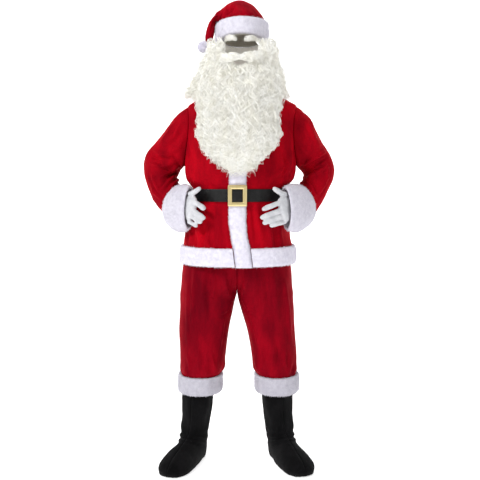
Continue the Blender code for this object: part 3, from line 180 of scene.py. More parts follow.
# boot covers, in the plane of the foot: back/under point, front/top point, half width
BOOT = table("bf bz tf tz half inward",
    (0.0020, 0.300, 0.1180, 0.300, 0.0600, 0.020),
    (0.0010, 0.250, 0.1180, 0.250, 0.0620, 0.016),
    (0.0040, 0.170, 0.1120, 0.172, 0.0570, 0.009),
    (0.0020, 0.112, 0.1140, 0.122, 0.0560, 0.003),
    (-0.0040, 0.070, 0.1260, 0.104, 0.0550, 0.000),
    (-0.0040, 0.034, 0.1440, 0.096, 0.0530, 0.000),
    (0.0080, -0.012, 0.1620, 0.090, 0.0530, 0.000),
    (0.0600, -0.022, 0.1850, 0.084, 0.0570, 0.000),
    (0.1200, -0.022, 0.2080, 0.077, 0.0620, 0.000),
    (0.1860, -0.022, 0.2420, 0.067, 0.0640, 0.000),
    (0.2460, -0.020, 0.2760, 0.054, 0.0590, 0.000),
    (0.2860, -0.010, 0.3020, 0.035, 0.0400, 0.000))
BOOT_TIP = (0.3110, 0.0150)
SOLE = table("f half",
    (0.008, 0.012), (0.020, 0.030), (0.060, 0.040), (0.120, 0.043), (0.186, 0.051),
    (0.238, 0.048), (0.272, 0.033), (0.289, 0.012))
BOOT_PLACE = {"right": ((-0.161, 0.057), (-0.366, -0.931)), "left": ((0.153, 0.068), (0.338, -0.941))}

# hat: outer and inner outline of the drooping cap, middle depth, half depth
HAT = table("ox oz ix iz cy deep",
    (-0.0740, 1.7300, 0.1020, 1.7300, 0.004, 0.110),
    (-0.0740, 1.7440, 0.1020, 1.7480, 0.004, 0.110),
    (-0.0740, 1.7487, 0.1000, 1.7660, 0.004, 0.109),
    (-0.0742, 1.7498, 0.0830, 1.7910, 0.004, 0.104),
    (-0.0747, 1.7511, 0.0580, 1.8160, 0.004, 0.094),
    (-0.0756, 1.7524, 0.0240, 1.8330, 0.004, 0.083),
    (-0.0766, 1.7535, -0.0120, 1.8340, 0.004, 0.074),
    (-0.0778, 1.7542, -0.0420, 1.8230, 0.003, 0.067),
    (-0.0792, 1.7548, -0.0660, 1.8050, 0.002, 0.061),
    (-0.0811, 1.7550, -0.0815, 1.7915, 0.001, 0.056),
    (-0.0833, 1.7546, -0.0920, 1.7800, 0.001, 0.051),
    (-0.0856, 1.7533, -0.1000, 1.7700, 0.000, 0.046),
    (-0.0873, 1.7510, -0.1070, 1.7605, 0.000, 0.042),
    (-0.0880, 1.7485, -0.1135, 1.7505, 0.000, 0.039),
    (-0.0890, 1.7420, -0.1190, 1.7400, -0.001, 0.036),
    (-0.0912, 1.7260, -0.1260, 1.7220, -0.002, 0.031),
    (-0.0960, 1.7050, -0.1305, 1.7000, -0.003, 0.025),
    (-0.1015, 1.6840, -0.1310, 1.6800, -0.004, 0.018))
HAT_TIP = (-0.1180, -0.005, 1.674)
ARCH = 0.015  # how far the lower edge of the hat is arched over the forehead
HAT_BAND = table("z reach", (1.677, 0.004), (1.682, 0.011), (1.700, 0.014), (1.728, 0.014), (1.746, 0.011), (1.752, 0.004))
BAND_INNER = dict(mid=0.014, half=0.0765, front=-0.1000, back=0.1050)
POMPOM_AT = (-0.1380, -0.016, 1.656)

# hair: reach to each side, front and back, and how thick the hair hangs
HAIR = table("z left right back thick",
    (1.672, -0.0600, 0.0870, 0.1020, 0.006),
    (1.662, -0.0860, 0.1240, 0.1200, 0.022),
    (1.645, -0.1020, 0.1430, 0.1290, 0.034),
    (1.625, -0.1180, 0.1500, 0.1340, 0.042),
    (1.595, -0.1400, 0.1550, 0.1390, 0.046),
    (1.550, -0.1570, 0.1760, 0.1450, 0.055),
    (1.500, -0.1830, 0.1860, 0.1520, 0.060),
    (1.462, -0.2030, 0.1950, 0.1560, 0.055))
HAIR_FRONT = -0.115
WIG_CAP = table("z half", (1.6735, 0.0660), (1.700, 0.0700), (1.730, 0.0680), (1.757, 0.0560), (1.775, 0.0360))
WIG_CAP_TOP = 1.784
BEARD = table("zmid zside left right ys front thick",
    (1.567, 1.644, -0.1000, 0.1220, -0.056, -0.128, 0.018),
    (1.533, 1.600, -0.1250, 0.1440, -0.060, -0.176, 0.034),
    (1.488, 1.545, -0.1420, 0.1600, -0.064, -0.205, 0.042),
    (1.440, 1.490, -0.1560, 0.1690, -0.078, -0.219, 0.044),
    (1.395, 1.430, -0.1620, 0.1640, -0.112, -0.226, 0.042),
    (1.350, 1.372, -0.1520, 0.1500, -0.134, -0.230, 0.038),
    (1.305, 1.318, -0.1540, 0.1580, -0.150, -0.232, 0.034),
    (1.262, 1.270, -0.1360, 0.1370, -0.174, -0.233, 0.030),
    (1.222, 1.232, -0.1040, 0.0930, -0.192, -0.235, 0.026),
    (1.192, 1.206, -0.0640, 0.0600, -0.201, -0.235, 0.022),
    (1.167, 1.184, -0.0320, 0.0330, -0.209, -0.232, 0.017))
MOUSTACHE = table("u top low front thick",
    (-0.0720, 1.613, 1.594, -0.146, 0.006), (-0.0580, 1.618, 1.584, -0.158, 0.010), (-0.0340, 1.614, 1.579, -0.172, 0.014),
    (-0.0120, 1.609, 1.585, -0.178, 0.015), (0.0060, 1.605, 1.590, -0.179, 0.015), (0.0240, 1.611, 1.584, -0.178, 0.015),
    (0.0450, 1.620, 1.580, -0.172, 0.014), (0.0690, 1.628, 1.586, -0.158, 0.010), (0.0860, 1.628, 1.597, -0.146, 0.006))
BROWS = {"eyebrow_right": ((-0.0530, -0.110, 1.6610), (-0.0310, -0.126, 1.6830), (-0.0055, -0.128, 1.6630)),
         "eyebrow_left": ((0.0745, -0.108, 1.6600), (0.0480, -0.126, 1.6800), (0.0215, -0.128, 1.6600))}

# gloves: palm sections (middle, half thickness, half height) and fingers
GLOVE = {
    "right": dict(
        palm=table("x y z thick high lean",
            (-0.2082, -0.104, 1.0388, 0.02009, 0.03895, 0.00),
            (-0.1984, -0.122, 1.0357, 0.01959, 0.04195, 0.03),
            (-0.1887, -0.141, 1.0327, 0.01859, 0.04795, 0.08),
            (-0.1792, -0.158, 1.0296, 0.01659, 0.04895, 0.14),
            (-0.1715, -0.171, 1.0271, 0.01309, 0.04395, 0.18)),
        fingers=(("thumb", (-0.1835, -0.1508, 1.0826), (-0.1614, -0.1780, 1.0928), (-0.1420, -0.2000, 1.1086), 0.0116, 0.0085),
                 ("index", (-0.1803, -0.1603, 1.0594), (-0.1502, -0.1947, 1.0499), (-0.1241, -0.2080, 1.0269), 0.0121, 0.0094),
                 ("middle", (-0.1810, -0.1576, 1.0274), (-0.1507, -0.1955, 1.0121), (-0.1246, -0.2080, 0.9914), 0.0107, 0.0094),
                 ("ring", (-0.1859, -0.1597, 1.0075), (-0.1603, -0.1928, 0.9912), (-0.1368, -0.2040, 0.9774), 0.0111, 0.0092),
                 ("little", (-0.1903, -0.1502, 0.9799), (-0.1722, -0.1774, 0.9737), (-0.1540, -0.1920, 0.9642), 0.0082, 0.0086))),
    "left": dict(
        palm=table("x y z thick high lean",
            (0.2000, -0.112, 1.0353, 0.0190, 0.0400, 0.00),
            (0.1930, -0.130, 1.0322, 0.0185, 0.0430, -0.03),
            (0.1833, -0.150, 1.0300, 0.0175, 0.0490, -0.08),
            (0.1731, -0.168, 1.0270, 0.0155, 0.0500, -0.14),
            (0.1633, -0.181, 1.0249, 0.0120, 0.0450, -0.18)),
        fingers=(("thumb", (0.1764, -0.1566, 1.0791), (0.1554, -0.1835, 1.0896), (0.1296, -0.2040, 1.1086), 0.0130, 0.0085),
                 ("index", (0.1716, -0.1678, 1.0566), (0.1351, -0.2064, 1.0472), (0.0878, -0.2140, 1.0272), 0.0111, 0.0092),
                 ("middle", (0.1744, -0.1715, 1.0278), (0.1241, -0.2080, 1.0151), (0.0819, -0.2140, 0.9951), 0.0111, 0.0092),
                 ("ring", (0.1756, -0.1685, 1.0046), (0.1281, -0.2046, 0.9917), (0.0902, -0.2120, 0.9749), 0.0111, 0.0090),
                 ("little", (0.1777, -0.1618, 0.9793), (0.1478, -0.1927, 0.9745), (0.1166, -0.2060, 0.9651), 0.0094, 0.0084))),
}


# ------------------------------------------------------------ numbers
RNG = np.random.default_rng(5642)


def curve(xs, ys):
    """Monotone cubic through (xs, ys), for whole arrays."""
    xs, ys = np.array(xs, float), np.array(ys, float)
    if xs[0] > xs[-1]:
        xs, ys = xs[::-1], ys[::-1]
    h = np.diff(xs)
    d = np.diff(ys) / h
    m = np.empty_like(xs)
    m[0], m[-1] = d[0], d[-1]
    prod = d[:-1] * d[1:]
    m[1:-1] = np.where(prod <= 0, 0.0, 2 * prod / np.where(prod <= 0, 1.0, d[:-1] + d[1:]))

    def f(x):
        x = np.clip(np.asarray(x, float), xs[0], xs[-1])
        i = np.clip(np.searchsorted(xs, x, side="right") - 1, 0, len(h) - 1)
        t = (x - xs[i]) / h[i]
        return ((1 + 2 * t) * (1 - t) ** 2 * ys[i] + t * (1 - t) ** 2 * h[i] * m[i]
                + t * t * (3 - 2 * t) * ys[i + 1] + t * t * (t - 1) * h[i] * m[i + 1])
    return f


def along(ys):
    """Smooth curve through ys at 0, 1, 2 ... (Catmull-Rom)."""
    ys = np.array(ys, float)

    def f(x):
        x = np.clip(np.asarray(x, float), 0, len(ys) - 1)
        i = np.minimum(x.astype(int), len(ys) - 2)
        t = x - i
        a, b = ys[np.maximum(i - 1, 0)], ys[i]
        c, d = ys[i + 1], ys[np.minimum(i + 2, len(ys) - 1)]
        a = np.where(i == 0, 2 * b - c, a)
        d = np.where(i == len(ys) - 2, 2 * c - b, d)
        return 0.5 * (2 * b + (c - a) * t + (2 * a - 5 * b + 4 * c - d) * t ** 2 + (3 * b - a - 3 * c + d) * t ** 3)
    return f


def power(v, p):
    return np.sign(v) * np.abs(v) ** p


def unit(v):
    v = np.asarray(v, float)
    return v / np.maximum(np.linalg.norm(v, axis=-1, keepdims=True), 1e-12)


def low(p):
    """Heights above the floor to heights in the row frame."""
    q = np.array(p, float)
    q[..., 2] -= ORIGIN_Z
    return q


def ramp(x, a, b):
    t = np.clip((np.asarray(x, float) - a) / (b - a), 0, 1)
    return t * t * (3 - 2 * t)


def hash01(i, j, k, seed):
    n = (i.astype(np.int64) * 374761393 + j.astype(np.int64) * 668265263 + k.astype(np.int64) * 2147483647 + seed * 1274126177) & 0xFFFFFFFF
    n = ((n ^ (n >> 13)) * 1274126177) & 0xFFFFFFFF
    n = n ^ (n >> 16)
    return n.astype(float) / 4294967295.0


def noise(p, size, seed=0, stretch=(1, 1, 1)):
    """Smooth value noise from -1 to 1 on points, size in metres."""
    q = np.asarray(p, float) / size / np.array(stretch, float)
    i = np.floor(q).astype(np.int64)
    f = q - i
    f = f * f * (3 - 2 * f)
    out = 0.0
    for dx in (0, 1):
        for dy in (0, 1):
            for dz in (0, 1):
                w = (f[..., 0] if dx else 1 - f[..., 0]) * (f[..., 1] if dy else 1 - f[..., 1]) * (f[..., 2] if dz else 1 - f[..., 2])
                out = out + w * hash01(i[..., 0] + dx, i[..., 1] + dy, i[..., 2] + dz, seed)
    return out * 2 - 1


def seen(px, py, y=-0.12):
    """Where the view at (px, py) meets the plane at depth y: (x, height above the floor)."""
    cp, sp = math.cos(PITCH), math.sin(PITCH)
    a, b = (px - 240) / VIEW_F, -(py - 240) / VIEW_F
    dx, dy, dz = a, cp + b * sp, -sp + b * cp
    t = (y - CAM_Y) / dy
    return CAM_X + t * dx, CAM_H + t * dz


CAM_X, CAM_Y, CAM_H = 0.006, -2.95, 1.15
PITCH = math.atan(0.254 / 2.95)
VIEW_F = 735.8


def strokes(x, z, lines):
    """Sum of long folds drawn in a plane. Each line: (points, width, height, lean); the fold fades
    at both ends, and lean puts a hollow beside the ridge, on its left for a positive lean."""
    x, z = np.asarray(x, float), np.asarray(z, float)
    out = np.zeros(np.broadcast(x, z).shape)
    for pts, width, height, lean in lines:
        pts = np.array(pts, float)
        seg = np.diff(pts, axis=0)
        ln = np.linalg.norm(seg, axis=1)
        total, start = ln.sum(), 0.0
        best = np.full(out.shape, 1e9)
        side, where = np.zeros(out.shape), np.zeros(out.shape)
        for p, d, length in zip(pts[:-1], seg, ln):
            u = d / length
            rx, rz = x - p[0], z - p[1]
            t = np.clip(rx * u[0] + rz * u[1], 0, length)
            ex, ez = rx - t * u[0], rz - t * u[1]
            dist = np.hypot(ex, ez)
            near = dist < best
            best = np.where(near, dist, best)
            side = np.where(near, np.sign(u[0] * rz - u[1] * rx) * dist, side)
            where = np.where(near, (start + t) / total, where)
            start += length
        fade = np.clip(np.sin(np.pi * np.clip(where, 0, 1)), 0, 1) ** 0.75
        ridge = np.exp(-(best / width) ** 2)
        hollow = np.exp(-((side - np.sign(lean) * 1.5 * width) / (1.1 * width)) ** 2) * abs(lean) if lean else 0.0
        out = out + 1.45 * height * fade * (ridge - hollow * np.exp(-(best / (3.2 * width)) ** 2))
    return out


# ------------------------------------------------------------ meshes
def mesh_object(name, verts, faces, mat, smooth=True, uv=None):
    """verts (n,3); faces an (m,3) or (m,4) array or a list of such arrays."""
    groups = faces if isinstance(faces, list) else [faces]
    groups = [np.asarray(g, np.int32) for g in groups if len(g)]
    me = bpy.data.meshes.new(name)
    me.vertices.add(len(verts))
    me.vertices.foreach_set("co", np.asarray(verts, np.float32).ravel())
    idx = np.concatenate([g.ravel() for g in groups])
    sizes = np.concatenate([np.full(len(g), g.shape[1], np.int32) for g in groups])
    me.loops.add(len(idx))
    me.loops.foreach_set("vertex_index", idx)
    me.polygons.add(len(sizes))
    me.polygons.foreach_set("loop_start", np.concatenate([[0], np.cumsum(sizes)[:-1]]).astype(np.int32))
    if smooth:
        me.polygons.foreach_set("use_smooth", np.ones(len(sizes), bool))
    if uv is not None:
        layer = me.uv_layers.new(name="UVMap")
        layer.data.foreach_set("uv", np.asarray(uv, np.float32)[idx].ravel())
    me.update(calc_edges=True)
    me.validate()
    ob = bpy.data.objects.new(name, me)
    bpy.context.scene.collection.objects.link(ob)
    me.materials.append(mat)
    return ob


def grid_faces(rows, cols, closed=False, base=0, flip=False):
    r = np.arange(rows - 1)[:, None]
    c = np.arange(cols if closed else cols - 1)[None, :]
    n = (c + 1) % cols
    f = np.stack([r * cols + c, r * cols + n, (r + 1) * cols + n, (r + 1) * cols + c], -1).reshape(-1, 4) + base
    return f[:, ::-1] if flip else f


def grid_normals(g, closed=False):
    a = np.gradient(g, axis=0)
    b = (np.roll(g, -1, axis=1) - np.roll(g, 1, axis=1)) / 2 if closed else np.gradient(g, axis=1)
    return unit(np.cross(a, b))


def shell(name, outer, mat, thick=VELVET, closed=False, middle=None, normals=None, inner=None):
    """A closed thin wall whose outer face is the grid. middle: a point or row of points inside it."""
    outer = np.asarray(outer, float)
    rows, cols, _ = outer.shape
    if inner is None:
        n = grid_normals(outer, closed) if normals is None else normals
        if middle is not None:
            mid = np.asarray(middle, float)
            mid = mid[:, None, :] if mid.ndim == 2 else mid
            n = n * np.sign(((outer - mid) * n).sum())
        inner = outer - n * thick
    count = rows * cols
    f = grid_faces(rows, cols, closed)
    fi = f[:, ::-1] + count
    top = np.arange(cols if closed else cols - 1)
    nxt = (top + 1) % cols
    rim0 = np.stack([nxt, top, top + count, nxt + count], -1)
    last = (rows - 1) * cols
    rim1 = np.stack([last + top, last + nxt, last + nxt + count, last + top + count], -1)
    faces = [f, fi, rim0, rim1]
    if not closed:
        r = np.arange(rows - 1)
        a, b = r * cols, (r + 1) * cols
        faces.append(np.stack([a, b, b + count, a + count], -1))
        a, b = a + cols - 1, b + cols - 1
        faces.append(np.stack([b, a, a + count, b + count], -1))
    verts = np.concatenate([outer.reshape(-1, 3), inner.reshape(-1, 3)])
    ob = mesh_object(name, verts, np.concatenate(faces), mat)
    return outward(ob)


def outward(ob):
    me = ob.data
    me.calc_loop_triangles()
    tri = np.empty(len(me.loop_triangles) * 3, np.int32)
    me.loop_triangles.foreach_get("vertices", tri)
    co = np.empty(len(me.vertices) * 3, np.float32)
    me.vertices.foreach_get("co", co)
    v = co.reshape(-1, 3)[tri.reshape(-1, 3)].astype(float)
    if np.einsum("ij,ij->i", v[:, 0], np.cross(v[:, 1], v[:, 2])).sum() < 0:
        me.flip_normals()
    return ob


def merge(name, objs):
    """Joins objects into the first one's mesh and returns it, renamed."""
    verts, faces, base = [], {}, 0
    mats, index = [], []
    for o in objs:
        me = o.data
        co = np.empty(len(me.vertices) * 3, np.float32)
        me.vertices.foreach_get("co", co)
        verts.append(co.reshape(-1, 3))
        for p in me.polygons:
            faces.setdefault(len(p.vertices), []).append([base + i for i in p.vertices])
        base += len(me.vertices)
    mat = objs[0].data.materials[0]
    for o in objs:
        bpy.data.objects.remove(o)
    return mesh_object(name, np.concatenate(verts), [np.array(f) for f in faces.values()], mat)


def surface_points(ob, count, rng, only=None):
    """Random points on an object's faces, with normals, spread by area."""
    me = ob.data
    me.calc_loop_triangles()
    tri = np.empty(len(me.loop_triangles) * 3, np.int32)
    me.loop_triangles.foreach_get("vertices", tri)
    co = np.empty(len(me.vertices) * 3, np.float32)
    me.vertices.foreach_get("co", co)
    v = co.reshape(-1, 3)[tri.reshape(-1, 3)].astype(float)
    cr = np.cross(v[:, 1] - v[:, 0], v[:, 2] - v[:, 0])
    area = np.linalg.norm(cr, axis=1) / 2
    nrm = unit(cr)
    if only is not None:
        area = area * only(v.mean(axis=1), nrm)
    pick = rng.choice(len(area), size=count, p=area / area.sum())
    a, b = rng.random(count), rng.random(count)
    over = a + b > 1
    a, b = np.where(over, 1 - a, a), np.where(over, 1 - b, b)
    pts = v[pick, 0] + (v[pick, 1] - v[pick, 0]) * a[:, None] + (v[pick, 2] - v[pick, 0]) * b[:, None]
    return pts, nrm[pick], float(area.sum())


def tubes(name, paths, radii, mat, sides=3, flat=1.0):
    """Strands: paths (n, k, 3), radii (n, k). Closed at both ends, and pressed in where they stand far out."""
    paths = np.array(paths, float)
    y = paths[..., 1]
    paths[..., 1] = np.where(y < -0.236, -0.236 + (y + 0.236) * 0.45, np.where(y > 0.156, 0.156 + (y - 0.156) * 0.45, y))
    n, k, _ = paths.shape
    t = unit(np.gradient(paths, axis=1))
    ref = np.zeros_like(t)
    ref[..., 1] = 1.0
    swap = np.abs(t[..., 1]) > 0.9
    ref[swap] = (1.0, 0.0, 0.0)
    b = unit(np.cross(t, ref))
    c = np.cross(b, t)
    ang = 2 * np.pi * np.arange(sides) / sides
    ring = (b[:, :, None, :] * np.cos(ang)[None, None, :, None] + c[:, :, None, :] * np.sin(ang)[None, None, :, None] * flat)
    v = paths[:, :, None, :] + ring * radii[:, :, None, None]
    verts = v.reshape(-1, 3)
    base = (np.arange(n) * k * sides)[:, None, None]
    r = np.arange(k - 1)[None, :, None] * sides
    s = np.arange(sides)[None, None, :]
    nx = (s + 1) % sides
    q = np.stack([base + r + s, base + r + nx, base + r + sides + nx, base + r + sides + s], -1).reshape(-1, 4)
    faces = [q]
    if sides == 3:
        b0 = (np.arange(n) * k * sides)[:, None]
        faces.append(np.concatenate([b0 + 2, b0 + 1, b0], 1))
        e = b0 + (k - 1) * sides
        faces.append(np.concatenate([e, e + 1, e + 2], 1))
    return mesh_object(name, verts, faces, mat)


# ------------------------------------------------------------ materials
def nodes_of(name):
    m = bpy.data.materials.new(name)
    m.use_nodes = True
    t = m.node_tree
    return m, t, t.nodes["Principled BSDF"]


def tex(t, kind, **props):
    n = t.nodes.new(kind)
    for k, v in props.items():
        if k in n.inputs:
            n.inputs[k].default_value = v
        else:
            setattr(n, k, v)
    return n


def coords(t, scale=(1, 1, 1)):
    c = t.nodes.new("ShaderNodeTexCoord")
    mp = t.nodes.new("ShaderNodeMapping")
    mp.inputs["Scale"].default_value = scale
    t.links.new(c.outputs["Object"], mp.inputs["Vector"])
    return mp.outputs["Vector"]


def mix_colour(t, fac, a, b, blend="MIX"):
    n = t.nodes.new("ShaderNodeMix")
    n.data_type, n.blend_type = "RGBA", blend
    for sock, val in ((n.inputs[0], fac), (n.inputs[6], a), (n.inputs[7], b)):
        if isinstance(val, (int, float)):
            sock.default_value = val
        elif isinstance(val, tuple):
            sock.default_value = (*val[:3], 1.0)
        else:
            t.links.new(val, sock)
    return n.outputs[2]


def steps(t, value, stops):
    r = t.nodes.new("ShaderNodeValToRGB")
    r.color_ramp.elements[0].position, r.color_ramp.elements[0].color = stops[0][0], (*([stops[0][1]] * 3), 1)
    r.color_ramp.elements[1].position, r.color_ramp.elements[1].color = stops[1][0], (*([stops[1][1]] * 3), 1)
    for pos, val in stops[2:]:
        e = r.color_ramp.elements.new(pos)
        e.color = (*([val] * 3), 1)
    t.links.new(value, r.inputs["Fac"])
    return r.outputs["Color"]


def bump(t, b, height, strength, dist):
    n = t.nodes.new("ShaderNodeBump")
    n.inputs["Strength"].default_value, n.inputs["Distance"].default_value = strength, dist
    t.links.new(height, n.inputs["Height"])
    t.links.new(n.outputs["Normal"], b.inputs["Normal"])


def velvet(name, painted_light_level=1.0):
    """Short red pile: soft, with lighter brushed patches along the nap at random places, partly the pile's own tone and
    partly a painted sheen, and a painted sheen that mixes the colour towards a brighter red where the surface turns
    from view. The brightness factor gives each piece a lighter or darker copy of the red for how lit the piece is:
    painted light and shade.
    """
    m, t, b = nodes_of(name)
    nap = tex(t, "ShaderNodeTexNoise", Scale=9.0, Detail=4.0, Roughness=0.55)
    t.links.new(coords(t, (1.6, 1.6, 0.55)), nap.inputs["Vector"])
    fine = tex(t, "ShaderNodeTexNoise", Scale=420.0, Detail=3.0, Roughness=0.6)
    t.links.new(coords(t, (1, 1, 0.45)), fine.inputs["Vector"])
    # lighter patches along the nap at random places: partly the pile's own tone, partly painted sheen
    nap_tone_and_sheen = steps(t, nap.outputs["Fac"], ((0.34, 0.0), (0.68, 1.0)))
    # the brightness factor scales both reds, so each piece gets a lighter or darker copy for how lit it is: painted
    # light and shade
    base = mix_colour(t, nap_tone_and_sheen, (0.21 * painted_light_level, 0.0, 0.006), (0.45 * painted_light_level, 0.0002, 0.009))
    speck = steps(t, fine.outputs["Fac"], ((0.30, 0.72), (0.72, 1.0)))
    col = mix_colour(t, 1.0, base, speck, "MULTIPLY")
    # painted sheen: the colour is mixed towards a brighter red where the surface turns from view
    edge = t.nodes.new("ShaderNodeLayerWeight")
    edge.inputs["Blend"].default_value = 0.32
    col = mix_colour(t, steps(t, edge.outputs["Facing"], ((0.35, 0.0), (0.95, 0.45))), col, (0.64 * painted_light_level, 0.001, 0.012))
    t.links.new(col, b.inputs["Base Color"])
    rough = steps(t, nap.outputs["Fac"], ((0.2, 0.86), (0.8, 0.66)))
    t.links.new(rough, b.inputs["Roughness"])
    b.inputs["Sheen Weight"].default_value = 0.14
    b.inputs["Sheen Roughness"].default_value = 0.35
    b.inputs["Sheen Tint"].default_value = (1.0, 0.0, 0.02, 1)
    b.inputs["Specular IOR Level"].default_value = 0.04
    bump(t, b, fine.outputs["Fac"], 0.35, 0.0012)
    return m


def plush(name, fur=False, painted_light_level=1.0):
    """Cool white fur trim. The brightness factor gives each piece a lighter or darker copy of the white for how lit the
    piece is: painted light and shade. For fur, a faint emission is a painted glow that lightens the shade among the
    fibres.
    """
    m, t, b = nodes_of(name)
    big = tex(t, "ShaderNodeTexNoise", Scale=75.0, Detail=4.0, Roughness=0.6)
    t.links.new(coords(t), big.inputs["Vector"])
    fine = tex(t, "ShaderNodeTexNoise", Scale=520.0, Detail=2.0, Roughness=0.6)
    t.links.new(coords(t), fine.inputs["Vector"])
    # the brightness factor scales the white, so each piece gets a lighter or darker copy for how lit it is: painted
    # light and shade
    col = mix_colour(t, steps(t, big.outputs["Fac"], ((0.32, 0.0), (0.66, 1.0))), (0.64 * painted_light_level, 0.62 * painted_light_level, 0.71 * painted_light_level), (0.77 * painted_light_level, 0.75 * painted_light_level, 0.83 * painted_light_level))
    t.links.new(col, b.inputs["Base Color"])
    rough = steps(t, fine.outputs["Fac"], ((0.2, 0.95), (0.8, 0.8)))
    t.links.new(rough, b.inputs["Roughness"])
    b.inputs["Sheen Weight"].default_value = 0.25
    b.inputs["Sheen Roughness"].default_value = 0.5
    b.inputs["Specular IOR Level"].default_value = 0.12
    # painted glow: with fur, a faint emission lightens the fur's shade
    if fur:
        b.inputs["Emission Color"].default_value = (0.92, 0.90, 1.0, 1)
        b.inputs["Emission Strength"].default_value = 0.07
    else:
        bump(t, b, big.outputs["Fac"], 0.5, 0.004)
    return m


def hair(name, dark=(0.83, 0.815, 0.735), light=(0.93, 0.925, 0.885), gloss=0.5, base=False):
    """Ivory curls: strands differ a little in tone at random, the darker tone yellower. A faint ivory emission is a
    painted glow that lightens the shade among the curls.
    """
    m, t, b = nodes_of(name)
    n = tex(t, "ShaderNodeTexNoise", Scale=30.0, Detail=3.0, Roughness=0.6)
    t.links.new(coords(t, (1, 1, 0.6)), n.inputs["Vector"])
    f = tex(t, "ShaderNodeTexNoise", Scale=240.0, Detail=2.0, Roughness=0.7)
    t.links.new(coords(t, (1, 1, 0.25)), f.inputs["Vector"])
    col = mix_colour(t, steps(t, n.outputs["Fac"], ((0.30, 0.0), (0.60, 1.0))), dark, light)
    col = mix_colour(t, 1.0, col, steps(t, f.outputs["Fac"], ((0.25, 0.86), (0.7, 1.0))), "MULTIPLY")
    t.links.new(col, b.inputs["Base Color"])
    rough = steps(t, f.outputs["Fac"], ((0.2, gloss + 0.2), (0.8, gloss)))
    t.links.new(rough, b.inputs["Roughness"])
    b.inputs["Specular IOR Level"].default_value = 0.35
    # painted glow: a faint ivory emission lightens the shade between the strands
    b.inputs["Emission Color"].default_value = (1.0, 0.985, 0.92, 1)
    b.inputs["Emission Strength"].default_value = 0.13
    if base:
        bump(t, b, n.outputs["Fac"], 0.8, 0.006)
    return m


def vinyl(name):
    m, t, b = nodes_of(name)
    n = tex(t, "ShaderNodeTexNoise", Scale=260.0, Detail=4.0, Roughness=0.6)
    t.links.new(coords(t), n.inputs["Vector"])
    w = tex(t, "ShaderNodeTexNoise", Scale=15.0, Detail=5.0, Roughness=0.65)
    t.links.new(coords(t, (1.6, 1.6, 1.0)), w.inputs["Vector"])
    # lighter grey patches in the black at random places: painted highlights of the gloss
    col = mix_colour(t, steps(t, w.outputs["Fac"], ((0.45, 0.0), (0.68, 1.0))), (0.0008, 0.0008, 0.001), (0.012, 0.012, 0.012))
    t.links.new(col, b.inputs["Base Color"])
    t.links.new(steps(t, w.outputs["Fac"], ((0.3, 0.52), (0.7, 0.20))), b.inputs["Roughness"])
    b.inputs["Specular IOR Level"].default_value = 0.30
    both = mix_colour(t, 0.55, n.outputs["Fac"], w.outputs["Fac"])
    bump(t, b, both, 0.7, 0.006)
    return m


def gold(name):
    m, t, b = nodes_of(name)
    n = tex(t, "ShaderNodeTexNoise", Scale=55.0, Detail=5.0, Roughness=0.7)
    t.links.new(coords(t, (14, 14, 0.6)), n.inputs["Vector"])
    col = mix_colour(t, steps(t, n.outputs["Fac"], ((0.3, 0.0), (0.7, 1.0))), (0.72, 0.55, 0.22), (0.93, 0.80, 0.46))
    t.links.new(col, b.inputs["Base Color"])
    t.links.new(steps(t, n.outputs["Fac"], ((0.2, 0.42), (0.8, 0.27))), b.inputs["Roughness"])
    b.inputs["Metallic"].default_value = 1.0
    bump(t, b, n.outputs["Fac"], 0.10, 0.0004)
    return m


def felt(name):
    """Matt black brushed fabric with grey lint."""
    m, t, b = nodes_of(name)
    n = tex(t, "ShaderNodeTexNoise", Scale=22.0, Detail=5.0, Roughness=0.6)
    t.links.new(coords(t, (1, 1, 0.6)), n.inputs["Vector"])
    f = tex(t, "ShaderNodeTexNoise", Scale=600.0, Detail=2.0, Roughness=0.6)
    t.links.new(coords(t), f.inputs["Vector"])
    col = mix_colour(t, steps(t, n.outputs["Fac"], ((0.35, 0.0), (0.72, 1.0))), (0.0022, 0.0022, 0.0025), (0.0065, 0.006, 0.0068))
    col = mix_colour(t, steps(t, f.outputs["Fac"], ((0.62, 0.0), (0.82, 0.4))), col, (0.016, 0.0155, 0.017))
    t.links.new(col, b.inputs["Base Color"])
    t.links.new(steps(t, n.outputs["Fac"], ((0.2, 0.95), (0.8, 0.82))), b.inputs["Roughness"])
    b.inputs["Sheen Weight"].default_value = 0.02
    b.inputs["Sheen Roughness"].default_value = 0.6
    b.inputs["Specular IOR Level"].default_value = 0.06
    bump(t, b, f.outputs["Fac"], 0.5, 0.0012)
    return m


def knit(name):
    """Fine white jersey: close vertical ribs of stitches."""
    m, t, b = nodes_of(name)
    w = tex(t, "ShaderNodeTexWave", Scale=260.0, Distortion=0.6, Detail=1.0)
    w.wave_type, w.bands_direction = "BANDS", "X"
    t.links.new(coords(t), w.inputs["Vector"])
    w2 = tex(t, "ShaderNodeTexWave", Scale=300.0, Distortion=0.8, Detail=1.0)
    w2.wave_type, w2.bands_direction = "BANDS", "Z"
    t.links.new(coords(t), w2.inputs["Vector"])
    n = tex(t, "ShaderNodeTexNoise", Scale=45.0, Detail=3.0, Roughness=0.5)
    t.links.new(coords(t), n.inputs["Vector"])
    col = mix_colour(t, steps(t, n.outputs["Fac"], ((0.3, 0.0), (0.7, 1.0))), (0.56, 0.565, 0.60), (0.70, 0.705, 0.73))
    both = mix_colour(t, 0.5, w.outputs["Color"], w2.outputs["Color"], "MULTIPLY")
    col = mix_colour(t, 1.0, col, steps(t, both, ((0.0, 0.86), (0.6, 1.0))), "MULTIPLY")
    t.links.new(col, b.inputs["Base Color"])
    t.links.new(steps(t, n.outputs["Fac"], ((0.2, 0.92), (0.8, 0.78))), b.inputs["Roughness"])
    b.inputs["Sheen Weight"].default_value = 0.15
    b.inputs["Specular IOR Level"].default_value = 0.15
    bump(t, b, both, 0.4, 0.0006)
    return m


